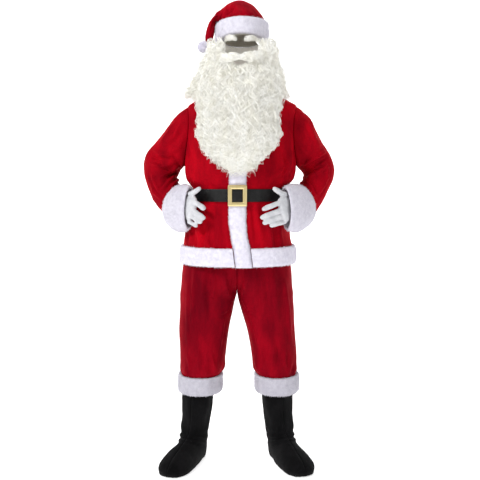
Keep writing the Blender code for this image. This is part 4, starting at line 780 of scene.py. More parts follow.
# ------------------------------------------------------------ the torso's form
T = {c: curve(TORSO["z"], TORSO[c]) for c in ("left", "right", "front", "back", "square", "drop")}
PL_MID, PL_HALF, PL_THICK = (curve(PLACKET["z"], PLACKET[c]) for c in ("mid", "half", "thick"))


def torso(z, ang):
    z, ang = np.broadcast_arrays(np.asarray(z, float), np.asarray(ang, float))
    c, s = np.cos(ang), np.sin(ang)
    left, right, sq = T["left"](z), T["right"](z), T["square"](z)
    reach = np.where(s > 0, T["back"](z) - MID_Y, MID_Y - T["front"](z))
    return np.stack([(left + right) / 2 + (right - left) / 2 * power(c, sq), MID_Y + reach * power(s, sq),
                     z - T["drop"](z) * np.maximum(0.0, -s)], -1)


def torso_normal(z, ang):
    e, f = 0.03, 0.004
    du = torso(z, ang + e) - torso(z, ang - e)
    lo, hi = np.maximum(z - f, TORSO["z"][0]), np.minimum(z + f, TORSO["z"][-1])
    return unit(np.cross(du, torso(hi, ang) - torso(lo, ang)))


def angle_at_x(z, x):
    left, right, sq = T["left"](z), T["right"](z), T["square"](z)
    c = power((x - (left + right) / 2) / ((right - left) / 2), 1 / sq)
    return -np.arccos(np.clip(c, -1, 1))


def armhole_half(z):
    t = (z - ARMHOLE_Z) / ARMHOLE_HALF_Z
    return ARMHOLE_HALF_Y * np.sqrt(np.maximum(0.0, 1 - t * t))


def edge_angle(z, front):
    y = armhole_half(z)
    reach = (MID_Y - T["front"](z)) if front else (T["back"](z) - MID_Y)
    return np.arcsin(np.minimum(1.0, (y / reach) ** (1 / T["square"](z))))


def jacket_rows(n):
    arm = ARMHOLE_Z - ARMHOLE_HALF_Z * np.cos(np.pi * np.arange(27) / 26)
    lo = np.linspace(TORSO["z"][0], arm[0], 54)[:-1]
    hi = np.linspace(arm[-1], TORSO["z"][-1], 10)[1:]
    return np.concatenate([lo, arm, hi])


FRONT_FOLDS = [  # drawn in the view of the front: folds of the chest, of the waist and of the skirt
    ([seen(289, 140), seen(291, 158), seen(287, 176), seen(279, 187)], 0.011, 0.0075, 0.7),
    ([seen(296, 168), seen(288, 178), seen(276, 184)], 0.008, 0.0060, -0.6),
    ([seen(294, 178), seen(284, 186), seen(272, 187)], 0.007, 0.0050, 0.5),
    ([seen(283, 122), seen(290, 136), seen(293, 150)], 0.012, 0.0050, 0.5),
    ([seen(189, 126), seen(192, 146), seen(200, 168)], 0.012, 0.0065, -0.6),
    ([seen(186, 168), seen(196, 180), seen(212, 186)], 0.009, 0.0060, 0.6),
    ([seen(199, 172), seen(214, 183), seen(225, 187)], 0.009, 0.0040, 0.4),
    ([seen(206, 150), seen(212, 168), seen(222, 184)], 0.012, 0.0035, -0.5),
    ([seen(189, 206), seen(198, 222), seen(208, 247)], 0.010, 0.0060, 0.6),
    ([seen(196, 228), seen(200, 238), seen(199, 250)], 0.007, 0.0060, -0.6),
    ([seen(209, 228), seen(208, 238), seen(211, 250)], 0.007, 0.0060, 0.6),
    ([seen(218, 206), seen(219, 226), seen(217, 248)], 0.010, 0.0050, -0.5),
    ([seen(184, 224), seen(186, 236), seen(184, 246)], 0.008, 0.0050, 0.4),
    ([seen(226, 204), seen(228, 226), seen(229, 248)], 0.008, 0.0035, 0.4),
    ([seen(256, 204), seen(258, 224), seen(262, 246)], 0.011, 0.0050, -0.5),
    ([seen(268, 222), seen(270, 234), seen(272, 247)], 0.008, 0.0065, 0.6),
    ([seen(280, 226), seen(280, 236), seen(283, 244)], 0.008, 0.0065, -0.6),
    ([seen(249, 206), seen(251, 228), seen(252, 247)], 0.009, 0.0035, 0.4),
    ([seen(290, 204), seen(290, 224), seen(292, 240)], 0.009, 0.0050, 0.4)]
FRONT_FOLDS += [  # the sharper creases beside the belt and over the hem
    ([seen(281, 150), seen(286, 163), seen(281, 177)], 0.0050, -0.0060, 0.0),
    ([seen(291, 150), seen(286, 165), seen(273, 178)], 0.0050, 0.0050, 0.0),
    ([seen(195, 222), seen(193, 234), seen(196, 246)], 0.0040, -0.0060, 0.0),
    ([seen(203, 226), seen(205, 237), seen(203, 248)], 0.0042, -0.0058, 0.0),
    ([seen(188, 228), seen(191, 238), seen(189, 246)], 0.0040, 0.0050, 0.0),
    ([seen(193, 176), seen(204, 184), seen(218, 187)], 0.0045, -0.0045, 0.0),
    ([seen(276, 226), seen(275, 236), seen(278, 246)], 0.0042, -0.0050, 0.0)]
BACK_FOLDS = [  # drawn from behind, in (x, height): the same kinds of fold, opposite lean
    ([(0.16, 1.36), (0.15, 1.25), (0.11, 1.13)], 0.013, 0.0060, 0.6),
    ([(-0.16, 1.37), (-0.15, 1.24), (-0.10, 1.12)], 0.013, 0.0060, -0.6),
    ([(0.06, 1.40), (0.07, 1.25), (0.04, 1.12)], 0.016, 0.0040, 0.4),
    ([(-0.05, 1.40), (-0.07, 1.26), (-0.05, 1.12)], 0.016, 0.0040, -0.4),
    ([(0.19, 1.18), (0.12, 1.13), (0.06, 1.115)], 0.009, 0.0050, 0.5),
    ([(-0.18, 1.17), (-0.12, 1.13), (-0.05, 1.112)], 0.009, 0.0050, -0.5),
    ([(0.02, 1.04), (0.03, 0.97), (0.02, 0.89)], 0.011, 0.0060, 0.6),
    ([(0.09, 1.04), (0.10, 0.97), (0.11, 0.89)], 0.011, 0.0060, -0.6),
    ([(0.16, 1.04), (0.17, 0.98), (0.18, 0.89)], 0.011, 0.0050, 0.5),
    ([(-0.05, 1.04), (-0.05, 0.97), (-0.06, 0.89)], 0.011, 0.0060, -0.6),
    ([(-0.12, 1.04), (-0.13, 0.97), (-0.12, 0.89)], 0.011, 0.0060, 0.6),
    ([(-0.17, 1.04), (-0.18, 0.97), (-0.19, 0.89)], 0.010, 0.0050, -0.5)]


def jacket_lift(p, ang):
    """How far the cloth stands off its smooth form: gathers at the belt, drawn folds, soft unevenness."""
    x, y, z = p[..., 0], p[..., 1], p[..., 2]
    front = y < 0
    lift = np.where(front, strokes(x, z, FRONT_FOLDS), strokes(x, z, BACK_FOLDS))
    turn = np.unwrap(ang, axis=-1) if ang.ndim else ang
    wob = 0.9 * np.sin(turn * 3.1 + z * 9) + 0.6 * np.sin(turn * 5.3 + 1.7)
    gather = np.sin(turn * 19 + wob * 1.8) * 0.62 + np.sin(turn * 31 + wob * 2.2 + 0.8) * 0.38
    above = np.exp(-np.maximum(0, z - BELT_HIGH) / 0.034) * ramp(z, BELT_HIGH - 0.004, BELT_HIGH + 0.010)
    below = np.exp(-np.maximum(0, BELT_LOW - z) / 0.050) * ramp(-z, -BELT_LOW - 0.004, -BELT_LOW + 0.010)
    lift = lift + 0.0030 * gather * (above + below)
    lift = lift + 0.0022 * noise(p, 0.085, 3) * (1 - 0.7 * ramp(z, 1.35, 1.45)) + 0.0008 * noise(p, 0.03, 4)
    under = ramp(z, BELT_LOW - 0.012, BELT_LOW) * (1 - ramp(z, BELT_HIGH, BELT_HIGH + 0.012))
    lift = lift * (1 - under) - 0.0012 * under
    trim = np.exp(-((np.abs(x - PL_MID(z)) - 0.03) / 0.010).clip(0) ** 2) * front
    lift = lift * (1 - trim) - 0.0006 * trim
    hem = ramp(0.90 - z, 0.0, 0.03)
    return np.clip(lift * (1 - hem) - 0.0004 * hem, -0.0075, 0.0085)


def panel(name, z, ang, mat):
    zz = np.broadcast_to(z[:, None], ang.shape)
    p, n = torso(zz, ang), torso_normal(zz, ang)
    lift = jacket_lift(p, ang)
    rows, cols = ang.shape
    edge = np.linalg.norm(p - p[:, -1:, :], axis=-1)
    arm = (armhole_half(z) > 0)[:, None]
    groove = np.exp(-(edge / 0.0035) ** 2) * 0.0006
    stitched = np.exp(-((edge - 0.007) / 0.0022) ** 2) * 0.0004
    keep = ramp(edge, 0.0, 0.012) if arm.any() else 1.0
    lift = lift * np.where(arm, keep, 1.0) - groove + stitched
    shoulder = 1 - ramp(zz, 1.462, 1.488)
    lift = lift * shoulder
    return p, n, lift


def jacket():
    # a lighter copy of the red velvet for the jacket: painted light
    red = velvet("red_velvet_jacket", 1.14)
    z = jacket_rows(0)
    parts = []
    for side, node in ((1, "jacket_front_left"), (-1, "jacket_front_right")):
        a_mid = angle_at_x(z, PL_MID(z) + side * SEAM)
        end = -edge_angle(z, True) if side > 0 else -math.pi + edge_angle(z, True)
        u = np.linspace(0, 1, 70)[None, :]
        ang = a_mid[:, None] + (end - a_mid)[:, None] * u
        p, n, lift = panel(node, z, ang, red)
        p = p + n * lift[..., None]
        p[:, -1, 1] -= np.where(armhole_half(z) == 0, SEAM / 2, 0)
        ob = shell(node + "_cloth", low(p), red, VELVET, normals=n)
        parts.append((ob, node))
    e = edge_angle(z, False)
    u = np.linspace(0, 1, 100)[None, :]
    ang = e[:, None] + (math.pi - 2 * e)[:, None] * u
    p, n, lift = panel("jacket_back", z, ang, red)
    pr, nr, liftr = panel("jacket_back", z, ang[:, ::-1], red)
    lift = np.minimum(lift, liftr[:, ::-1])
    mid = np.exp(-((ang - math.pi / 2) * 0.125 / 0.0028) ** 2) * 0.0010
    p = p + n * (lift - mid)[..., None]
    for k in (0, -1):
        p[:, k, 1] += np.where(armhole_half(z) == 0, SEAM / 2, 0)
    parts.append((shell("jacket_back_cloth", low(p), red, VELVET, normals=n), "jacket_back"))
    for ob, node in parts:
        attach(ob, "root")
        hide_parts(node)
    return [o for o, _ in parts]


def loop_angles(z, count):
    """Angles right round the torso at height z, from one edge of the front trim to the other."""
    a = angle_at_x(z, PL_MID(z) + PL_HALF(z))
    b = angle_at_x(z, PL_MID(z) - PL_HALF(z)) + 2 * math.pi
    return a + (b - a) * np.linspace(0, 1, count)


def sweep(name, sections, mat, closed=False):
    """A solid from (n, m, 3) sections; open ends are capped with a fan."""
    n, m, _ = sections.shape
    f = grid_faces(n, m, True)
    if closed:
        c = np.arange(m)
        nx = (c + 1) % m
        f = np.concatenate([f, np.stack([(n - 1) * m + c, (n - 1) * m + nx, nx, c], -1)])
        verts, faces = sections.reshape(-1, 3), [f]
    else:
        ends = np.stack([sections[0].mean(0), sections[-1].mean(0)])
        verts = np.concatenate([sections.reshape(-1, 3), ends])
        c = np.arange(m)
        nx = (c + 1) % m
        e0, e1 = n * m, n * m + 1
        faces = [f, np.concatenate([np.stack([nx, c, np.full(m, e0)], -1), np.stack([(n - 1) * m + c, (n - 1) * m + nx, np.full(m, e1)], -1)])]
    return outward(mesh_object(name, verts, faces, mat))


def fur_profile(low_, high, thick, count=18, base=LIE, full=0.62):
    """Rounded section of a fur strip as (position along its width 0..1, reach)."""
    k = np.linspace(0, 1, count)
    t = low_ + (high - low_) * (0.5 - 0.5 * np.cos(np.pi * k))
    reach = base + thick * np.maximum(0.0, 1 - np.abs(2 * k - 1) ** 2.6) ** full
    return t, reach


def hem_band():
    # a lighter copy of the plush for the hem: painted light
    white, fur = plush("hem_plush", painted_light_level=1.07), plush("hem_fur", True, 1.07)
    z0, z1 = 0.812, 0.876
    n = 300
    a0, a1 = loop_angles(np.array(z0), n), loop_angles(np.array(z1), n)
    p0, p1 = torso(np.full(n, z0), a0), torso(np.full(n, z1), a1)
    q0, q1 = torso_normal(np.full(n, z0), a0), torso_normal(np.full(n, z1), a1)
    p0[0, 0] += 0.0014
    p1[0, 0] += 0.0014
    p0[-1, 0] -= 0.0014
    p1[-1, 0] -= 0.0014
    t, reach = fur_profile(-0.06, 1.04, 0.0125)
    line = p0[:, None] + (p1 - p0)[:, None] * t[None, :, None]
    nor = unit(q0[:, None] + (q1 - q0)[:, None] * t[None, :, None])
    out = line + nor * reach[None, :, None]
    lump = 0.0016 * noise(out, 0.016, 8) + 0.0022 * noise(out, 0.055, 9)
    out = out + nor * (lump * (reach / 0.0125)[None, :])[..., None]
    back = line[:, ::-1][:, 1:-1] + nor[:, ::-1][:, 1:-1] * LIE
    ob = sweep("hem_band_plush", low(np.concatenate([out, back], 1)), white)
    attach(ob, "root")
    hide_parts("hem_band")
    pts, nrm, _ = surface_points(ob, 6200, RNG, outside_only)
    f = spikes("hem_band_fur", pts, nrm, 0.0062, 0.0009, fur, RNG)
    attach(f, "root")
    return [ob, f]


def outside_only(c, n):
    """Weight 1 on faces that look away from the middle of the suit."""
    return ((c * n * np.array([1, 1, 0])).sum(1) > -0.002).astype(float) + 0.02


def placket():
    # a lighter copy of the plush for the front trim: painted light
    white, fur = plush("placket_plush", painted_light_level=1.07), plush("placket_fur", True, 1.07)
    zs = np.linspace(0.8055, 1.43, 120)
    k = np.linspace(-1, 1, 21)
    zz = np.broadcast_to(zs[:, None], (len(zs), len(k)))
    x = PL_MID(zz) + (PL_HALF(zz) - 0.0008) * k
    zc = np.maximum(zz, 0.812)
    ang = angle_at_x(zc, x)
    p, n = torso(zc, ang), torso_normal(zc, ang)
    p[..., 2] += zz - zc
    th = PL_THICK(zz)
    top = LIE + th * np.maximum(0.0, 1 - np.abs(k) ** 3.0)[None, :] ** 0.55
    end = ramp(zz, 0.8055, 0.8140) * 0.75 + 0.25
    lump = 0.0013 * noise(p, 0.015, 18) + 0.0016 * noise(p, 0.05, 19)
    cross = 0.0014 * np.sin(zz * 150 + 2.5 * noise(p, 0.06, 20))
    belt_zone = ramp(zz, BELT_LOW - 0.012, BELT_LOW) * (1 - ramp(zz, BELT_HIGH, BELT_HIGH + 0.012))
    rise = top * end + (lump + cross * 0.35) * (1 - belt_zone) * (top > LIE + 0.003) - 0.0012 * belt_zone * (top > LIE + 0.003)
    out = p + n * rise[..., None]
    back = (p + n * (LIE + 0.0002))[:, ::-1][:, 1:-1]
    ob = sweep("placket_plush", low(np.concatenate([out, back], 1)), white)
    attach(ob, "root")
    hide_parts("placket")
    hold = lambda c, nn: (1 + 3.0 * (np.abs(nn[:, 0]) > 0.45)) * ((nn[:, 1] < 0.3) & ~((c[:, 2] + ORIGIN_Z > BELT_LOW - 0.006) & (c[:, 2] + ORIGIN_Z < BELT_HIGH + 0.006))).astype(float) + 1e-6
    pts, nrm, _ = surface_points(ob, 3600, RNG, hold)
    f = spikes("placket_fur", pts, nrm, 0.0060, 0.0009, fur, RNG)
    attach(f, "root")
    return [ob, f]


# ------------------------------------------------------------ belt and buckle
def belt_lift(x, z, front):
    d = np.abs(x - PL_MID(z)) - PL_HALF(z)
    over = 1 - ramp(d, -0.004, 0.014)
    return LIE + np.where(front, over, 0.0) * (PL_THICK(z) + LIE)


def belt():
    mat = vinyl("black_vinyl")
    n, m = 240, 7
    ang = -math.pi + np.linspace(0, 2 * math.pi, n, endpoint=False)
    k = np.linspace(0, 1, m)
    z = BELT_LOW + 0.001 + (BELT_HIGH - BELT_LOW - 0.002) * k
    zz, aa = np.meshgrid(z, ang)
    p, nn = torso(zz, aa), torso_normal(zz, aa)
    lift = belt_lift(p[..., 0], zz, p[..., 1] < 0)
    crown = 0.0004 * (1 - (2 * k - 1) ** 2)[None, :]
    wave = 0.0009 * np.sin(aa * 11 + 1.3) * np.sin(aa * 4.1) * (2 * k - 1)[None, :]
    a = p + nn * (lift + 0.0003 + np.abs(wave))[..., None]
    bvl = np.minimum(1.0, 0.45 + 0.55 * np.minimum(k, 1 - k) / 0.12)[None, :]
    b = p + nn * (lift + 0.0003 + np.abs(wave) + BELT_T * 0.9 * bvl + crown)[..., None]
    ob = sweep("belt_strap", low(np.concatenate([a, b[:, ::-1]], 1)), mat, closed=True)
    ob.data.set_sharp_from_angle(angle=math.radians(48))
    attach(ob, "root")
    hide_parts("belt")
    return ob


def belt_end():
    mat = vinyl("black_vinyl_end")
    mid = float(PL_MID(1.08))
    xs = np.linspace(mid + 0.017, -0.0960, 60)
    m = 9
    k = np.linspace(0, 1, m)
    tip = np.sqrt(np.clip((xs + 0.0960) / 0.011, 0, 1)) * 0.26 + 0.74
    z = 1.079 + (k[None, :] - 0.5) * (BELT_HIGH - BELT_LOW - 0.003) * tip[:, None]
    x = np.broadcast_to(xs[:, None], z.shape)
    ang = angle_at_x(z, x)
    p, nn = torso(z, ang), torso_normal(z, ang)
    lift = belt_lift(x, z, True) + BELT_T + 0.0012
    rise = 0.0008 + 0.0022 * ramp(-x, 0.055, 0.092)
    a = p + nn * (lift + rise)[..., None]
    bvl = np.minimum(1.0, 0.45 + 0.55 * np.minimum(k, 1 - k) / 0.12)[None, :]
    b = p + nn * (lift + rise + 0.0020 * bvl)[..., None]
    ob = sweep("belt_free_end", low(np.concatenate([a, b[:, ::-1]], 1)), mat)
    ob.data.set_sharp_from_angle(angle=math.radians(48))
    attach(ob, "root")
    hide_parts("belt_end")
    return ob


def buckle():
    """A cast frame with rounded bars and corners, in the place and size of its solid."""
    lo, hi = (np.array(c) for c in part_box("buckle"))
    c = (lo + hi) / 2
    w, h, bar = (hi[0] - lo[0]) / 2, (hi[2] - lo[2]) / 2, BUCKLE_BAR
    prof = [(0.0, 0.0), (-0.0001, 0.0014), (0.0006, 0.0028), (0.0024, 0.0038), (0.0055, 0.0040), (0.0105, 0.0040), (0.0136, 0.0038),
            (0.0152, 0.0028), (0.0159, 0.0014), (0.0160, 0.0)]
    sections = []
    corner = 0.0045
    path = []
    for sx, sz, a0 in ((1, -1, -90), (1, 1, 0), (-1, 1, 90), (-1, -1, 180)):
        for i in range(7):
            a = math.radians(a0 + 90 * i / 6)
            path.append((sx, sz, math.cos(a), math.sin(a)))
        nx = {(1, -1): (0, 1), (1, 1): (-1, 0), (-1, 1): (0, -1), (-1, -1): (1, 0)}[(sx, sz)]
    for sx, sz, ca, sa in path:
        sec = []
        for d, q in prof:
            r = max(corner - d, 0.0006)
            cx, cz = w - d - r, h - d - r
            sec.append([c[0] + sx * cx + r * ca, hi[1] - q, c[2] + sz * cz + r * sa])
        sections.append(sec)
    ob = sweep("buckle_frame", np.array(sections), gold("pale_gold"), closed=True)
    ob.data.set_sharp_from_angle(angle=math.radians(40))
    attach(ob, "root")
    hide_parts("buckle")
    return ob


# ------------------------------------------------------------ short fur
def spikes(name, pts, nrm, length, width, mat, rng, lay=(0, 0, -0.4), spread=0.45):
    """Short fur: one fine closed spike of four faces at each point."""
    n = len(pts)
    d = unit(nrm + np.array(lay) + spread * rng.normal(size=(n, 3)))
    d = unit(d + nrm * np.maximum(0, 0.30 - (d * nrm).sum(1))[:, None])
    ref = np.where(np.abs(d[:, 1:2]) > 0.9, np.array([[1.0, 0, 0]]), np.array([[0, 1.0, 0]]))
    b = unit(np.cross(d, ref))
    c = np.cross(b, d)
    turn = rng.uniform(0, 2 * math.pi, n)[:, None]
    ln = (length * rng.uniform(0.55, 1.15, n))[:, None]
    w = (width * rng.uniform(0.8, 1.3, n))[:, None]
    foot = pts - nrm * 0.0012
    ring = [foot + w * (b * np.cos(turn + k * 2.0944) + c * np.sin(turn + k * 2.0944)) for k in range(3)]
    verts = np.stack([*ring, foot + d * (ln + 0.0012)], 1).reshape(-1, 3)
    o = (np.arange(n) * 4)[:, None]
    f = np.concatenate([o + np.array([[2, 1, 0]]), o + np.array([[0, 1, 3]]), o + np.array([[1, 2, 3]]), o + np.array([[2, 0, 3]])])
    return outward(mesh_object(name, verts, f, mat))


# ------------------------------------------------------------ sleeves and cuffs
ELBOW_RIGHT = [  # folds of the sleeves, drawn in the view of the front
    ([seen(147, 155), seen(153, 158), seen(163, 160)], 0.0085, -0.0080, 0.0),
    ([seen(150, 149), seen(160, 154), seen(172, 156)], 0.0090, 0.0075, -0.6),
    ([seen(147, 163), seen(158, 166), seen(170, 163)], 0.0090, 0.0075, 0.6),
    ([seen(177, 165), seen(168, 172), seen(156, 178)], 0.0085, 0.0080, 0.7),
    ([seen(176, 172), seen(166, 182), seen(158, 194)], 0.0085, 0.0080, -0.6),
    ([seen(178, 178), seen(171, 186), seen(168, 196)], 0.0070, 0.0060, 0.6),
    ([seen(148, 172), seen(152, 184), seen(160, 196)], 0.0080, 0.0060, -0.5),
    ([seen(147, 182), seen(152, 193), seen(162, 202)], 0.0060, 0.0050, 0.5),
    ([seen(181, 120), seen(174, 134), seen(160, 146)], 0.0120, 0.0060, 0.6),
    ([seen(184, 134), seen(178, 146), seen(166, 152)], 0.0100, 0.0055, -0.6),
    ([seen(176, 118), seen(167, 132), seen(156, 146)], 0.0120, 0.0040, 0.4),
    ([seen(185, 148), seen(183, 160), seen(178, 168)], 0.0080, 0.0050, 0.5)]
ELBOW_LEFT = [
    ([seen(331, 157), seen(320, 164), seen(306, 173)], 0.0085, -0.0085, 0.0),
    ([seen(330, 150), seen(318, 157), seen(304, 165)], 0.0090, 0.0080, 0.6),
    ([seen(332, 165), seen(321, 171), seen(309, 178)], 0.0090, 0.0080, -0.6),
    ([seen(306, 178), seen(314, 188), seen(318, 200)], 0.0080, 0.0070, 0.6),
    ([seen(332, 176), seen(326, 186), seen(318, 197)], 0.0080, 0.0060, 0.5),
    ([seen(303, 182), seen(307, 192), seen(311, 204)], 0.0070, 0.0050, -0.5),
    ([seen(300, 118), seen(307, 134), seen(316, 148)], 0.0120, 0.0055, -0.6),
    ([seen(297, 136), seen(303, 148), seen(312, 154)], 0.0100, 0.0055, 0.6),
    ([seen(306, 116), seen(313, 132), seen(322, 148)], 0.0120, 0.0040, -0.4),
    ([seen(298, 152), seen(300, 162), seen(303, 170)], 0.0080, 0.0050, -0.5),
    ([seen(327, 160), seen(331, 170), seen(331, 180)], 0.0070, 0.0040, 0.4)]


def frames(tab):
    """Middle, first and second axis of a table's sections, as smooth functions of the row number."""
    n = len(tab["ox"])
    tilt = tab["tilt"] if "tilt" in tab else np.zeros(n)
    o = np.stack([tab["ox"], tab["cy"] + tilt, tab["oz"]], -1)
    q = np.stack([tab["ix"], tab["cy"] - tilt, tab["iz"]], -1)
    fo = [along(o[:, i]) for i in range(3)]
    fq = [along(q[:, i]) for i in range(3)]
    fd = along(tab["deep"])
    ft = along(tab["turn"]) if "turn" in tab else None

    def f(s):
        s = np.asarray(s, float)
        oo, qq = np.stack([g(s) for g in fo], -1), np.stack([g(s) for g in fq], -1)
        mid, a = (oo + qq) / 2, (oo - qq) / 2
        way = np.gradient(mid, axis=0)
        b = unit(np.cross(unit(way), unit(a)))
        b = b * np.where(b[:, 1:2] > 0, -1.0, 1.0)
        if ft is not None:
            k = np.clip(ft(s), 0, 1)[:, None]
            b = unit(b * (1 - k) + k * unit(np.stack([0.47 * np.sign(mid[:, 0]), np.full(len(mid), -0.88), np.zeros(len(mid))], -1)))
        return mid, a, b * fd(s)[:, None], way
    return f


def tube_grid(tab, s, count, grow=0.0):
    mid, a, b, way = frames(tab)(s)
    t = 2 * np.pi * np.arange(count) / count
    la, lb = np.linalg.norm(a, axis=-1), np.linalg.norm(b, axis=-1)
    g = np.asarray(grow, float)
    g = g[:, None] if g.ndim else g
    p = (mid[:, None] + unit(a)[:, None] * ((la[:, None] + g) * np.cos(t))[..., None]
         + unit(b)[:, None] * ((lb[:, None] + g) * np.sin(t))[..., None])
    return p, mid


def armhole_ring(side, count):
    k = np.arange(count) / count
    z = ARMHOLE_Z + ARMHOLE_HALF_Z * np.cos(2 * np.pi * k)
    front = k < 0.5
    e = np.where(front, edge_angle(z, True), edge_angle(z, False))
    a = np.where(front, -e, e)
    a = a if side > 0 else math.pi - a
    return torso(z, a)


def sleeve(side, tab, folds):
    name = "left" if side > 0 else "right"
    # a slightly lighter copy of the red velvet for the sleeves: painted light
    red = velvet("red_velvet_sleeve_" + name, 1.05)
    count, last = 80, len(tab["ox"]) - 1 - SLEEVE_INSIDE
    s = np.linspace(0, last, 108)
    p, mid = tube_grid(tab, s, count)
    hole = armhole_ring(side, count)
    hmid = hole.mean(0)
    start = hole + unit((hmid - hole) * np.array([0.2, 1, 1])) * SEAM + np.array([side * SEAM, 0, 0])
    join = np.linspace(0, 1, 14)[:-1, None, None]
    first = p[0][None]
    bridge = start[None] * (1 - join) + first * join
    puff = np.sin(np.pi * join) * 0.004
    bridge = bridge + unit(bridge - (hmid * (1 - join[:, :, 0]) + mid[0] * join[:, :, 0])[:, None, :]) * puff
    g = np.concatenate([bridge, p])
    mids = np.concatenate([hmid * (1 - join[:, :, 0]) + mid[0] * join[:, :, 0], mid])
    n = grid_normals(g, True)
    n = n * np.sign(((g - mids[:, None]) * n).sum())
    for _ in range(2):
        n = unit(n + np.roll(n, 1, 1) + np.roll(n, -1, 1))
    face = ramp(-n[..., 1], -0.25, 0.35)
    folds = [(pts, 0.80 * width, 1.20 * height, lean) for pts, width, height, lean in folds]
    lift = strokes(g[..., 0], g[..., 2], folds) * face
    rear = strokes(g[..., 0] * 1.0 + 0.004 * side, g[..., 2] - 0.012, folds) * (1 - face) * 0.8
    lift = lift + rear
    length = np.concatenate([np.linspace(-13, 0, 13, endpoint=False) * 0.06, s])
    t = 2 * np.pi * np.arange(count) / count
    bag = np.exp(-((length - (last - 0.9)) / 1.1) ** 2)[:, None]
    lift = lift + bag * 0.0022 * np.sin(t[None] * 9 + 4.2 * noise(g, 0.05, 31))
    lift = lift + 0.0024 * noise(g, 0.05, 32 + side) + 0.0009 * noise(g, 0.02, 34)
    cap = ramp(length, -0.78, -0.2)[:, None]
    endr = 1 - ramp(length, last - 1.3, last - 0.5)[:, None]
    groove = np.exp(-((length + 0.78) / 0.10) ** 2)[:, None] * 0.0012
    head = np.exp(-((length + 0.1) / 0.6) ** 2)[:, None] * np.maximum(0, np.cos(t))[None] * 0.0016 * np.sin(t * 26)[None]
    lift = np.clip((lift + head) * cap * endr, -0.011, 0.0095) - groove
    seam_line = np.exp(-(np.minimum(np.abs(t - np.pi), 1) * 0.06 / 0.0028) ** 2)[None] * 0.0012
    g = g + n * (lift - seam_line * cap)[..., None]
    ob = shell("sleeve_%s_cloth" % name, low(g), red, VELVET, closed=True, normals=n)
    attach(ob, "root")
    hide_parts("sleeve_" + name)
    return ob


def cuff(side, tab):
    name = "left" if side > 0 else "right"
    # a darker copy of the plush for the cuffs: painted shade
    white, fur = plush("cuff_plush_" + name, painted_light_level=0.88), plush("cuff_fur_" + name, True, 0.88)
    rows = len(tab["ox"])
    s0, s1 = rows - 4.06, rows - 0.97
    count, m = 80, 18
    k = np.linspace(0, 1, m)
    s = s0 + (s1 - s0) * (0.5 - 0.5 * np.cos(np.pi * k))
    thick = 0.0140 * np.maximum(0.0, 1 - np.abs(2 * k - 1) ** 2.8) ** 0.6
    base, mid = tube_grid(tab, np.clip(s, 0, rows - 1), count)
    extra = np.maximum(0, s - (rows - 1))[:, None, None] * (base[-1] - base[-2])[None] * 0
    base = base + extra
    n = unit(base - mid[:, None])
    out = base + n * (LIE + thick)[:, None, None]
    lump = 0.0016 * noise(out, 0.015, 41) + 0.0022 * noise(out, 0.05, 42)
    out = out + n * (lump * (thick / 0.014)[:, None])[..., None]
    inner = base[1:-1][::-1] + n[1:-1][::-1] * (LIE + 0.0001)
    g = np.concatenate([out, inner])
    ob = sweep("cuff_%s_plush" % name, low(np.transpose(g, (1, 0, 2))), white, closed=True)
    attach(ob, "root")
    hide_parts("cuff_" + name)
    centre = low(mid.mean(0))
    side_of = lambda c, nn: (((c - centre) * nn).sum(1) > 0).astype(float) + 0.15
    pts, nrm, _ = surface_points(ob, 2300, RNG, side_of)
    f = spikes("cuff_%s_fur" % name, pts, nrm, 0.0058, 0.0009, fur, RNG, lay=(0, 0, -0.2))
    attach(f, "root")
    return [ob, f]


# ------------------------------------------------------------ trousers
LEG_FOLDS = [  # drawn in the view of the front
    ([seen(205, 266), seen(203, 292), seen(206, 322)], 0.0110, 0.0075, 0.6),
    ([seen(212, 266), seen(214, 284), seen(213, 304)], 0.0085, 0.0060, -0.6),
    ([seen(235, 270), seen(234, 282), seen(233, 296)], 0.0090, -0.0080, 0.0),
    ([seen(224, 268), seen(226, 284), seen(229, 300)], 0.0095, 0.0060, 0.6),
    ([seen(195, 268), seen(192, 300), seen(190, 336)], 0.0110, 0.0060, -0.5),
    ([seen(187, 284), seen(187, 316), seen(188, 350)], 0.0080, 0.0050, 0.5),
    ([seen(259, 266), seen(262, 290), seen(263, 316)], 0.0100, 0.0075, -0.6),
    ([seen(247, 268), seen(245, 284), seen(242, 298)], 0.0095, 0.0060, -0.6),
    ([seen(273, 266), seen(276, 296), seen(279, 330)], 0.0110, 0.0055, 0.5),
    ([seen(284, 278), seen(288, 312), seen(292, 348)], 0.0080, 0.0055, -0.5),
    ([seen(232, 302), seen(226, 312), seen(214, 318)], 0.0080, 0.0055, 0.5),
    ([seen(243, 302), seen(250, 312), seen(262, 318)], 0.0080, 0.0055, -0.5),
    ([seen(224, 316), seen(221, 336), seen(219, 352)], 0.0080, 0.0050, 0.5),
    ([seen(252, 318), seen(256, 336), seen(259, 352)], 0.0080, 0.0050, -0.5),
    ([seen(272, 338), seen(275, 354), seen(272, 370)], 0.0075, 0.0075, 0.6),
    ([seen(264, 348), seen(266, 360), seen(264, 372)], 0.0065, 0.0060, -0.5),
    ([seen(286, 352), seen(285, 362), seen(288, 372)], 0.0065, 0.0060, 0.5),
    ([seen(198, 350), seen(200, 362), seen(197, 374)], 0.0070, 0.0065, 0.6),
    ([seen(210, 352), seen(212, 364), seen(214, 374)], 0.0065, 0.0060, -0.5),
    ([seen(187, 356), seen(190, 366), seen(189, 375)], 0.0060, 0.0050, 0.5)]
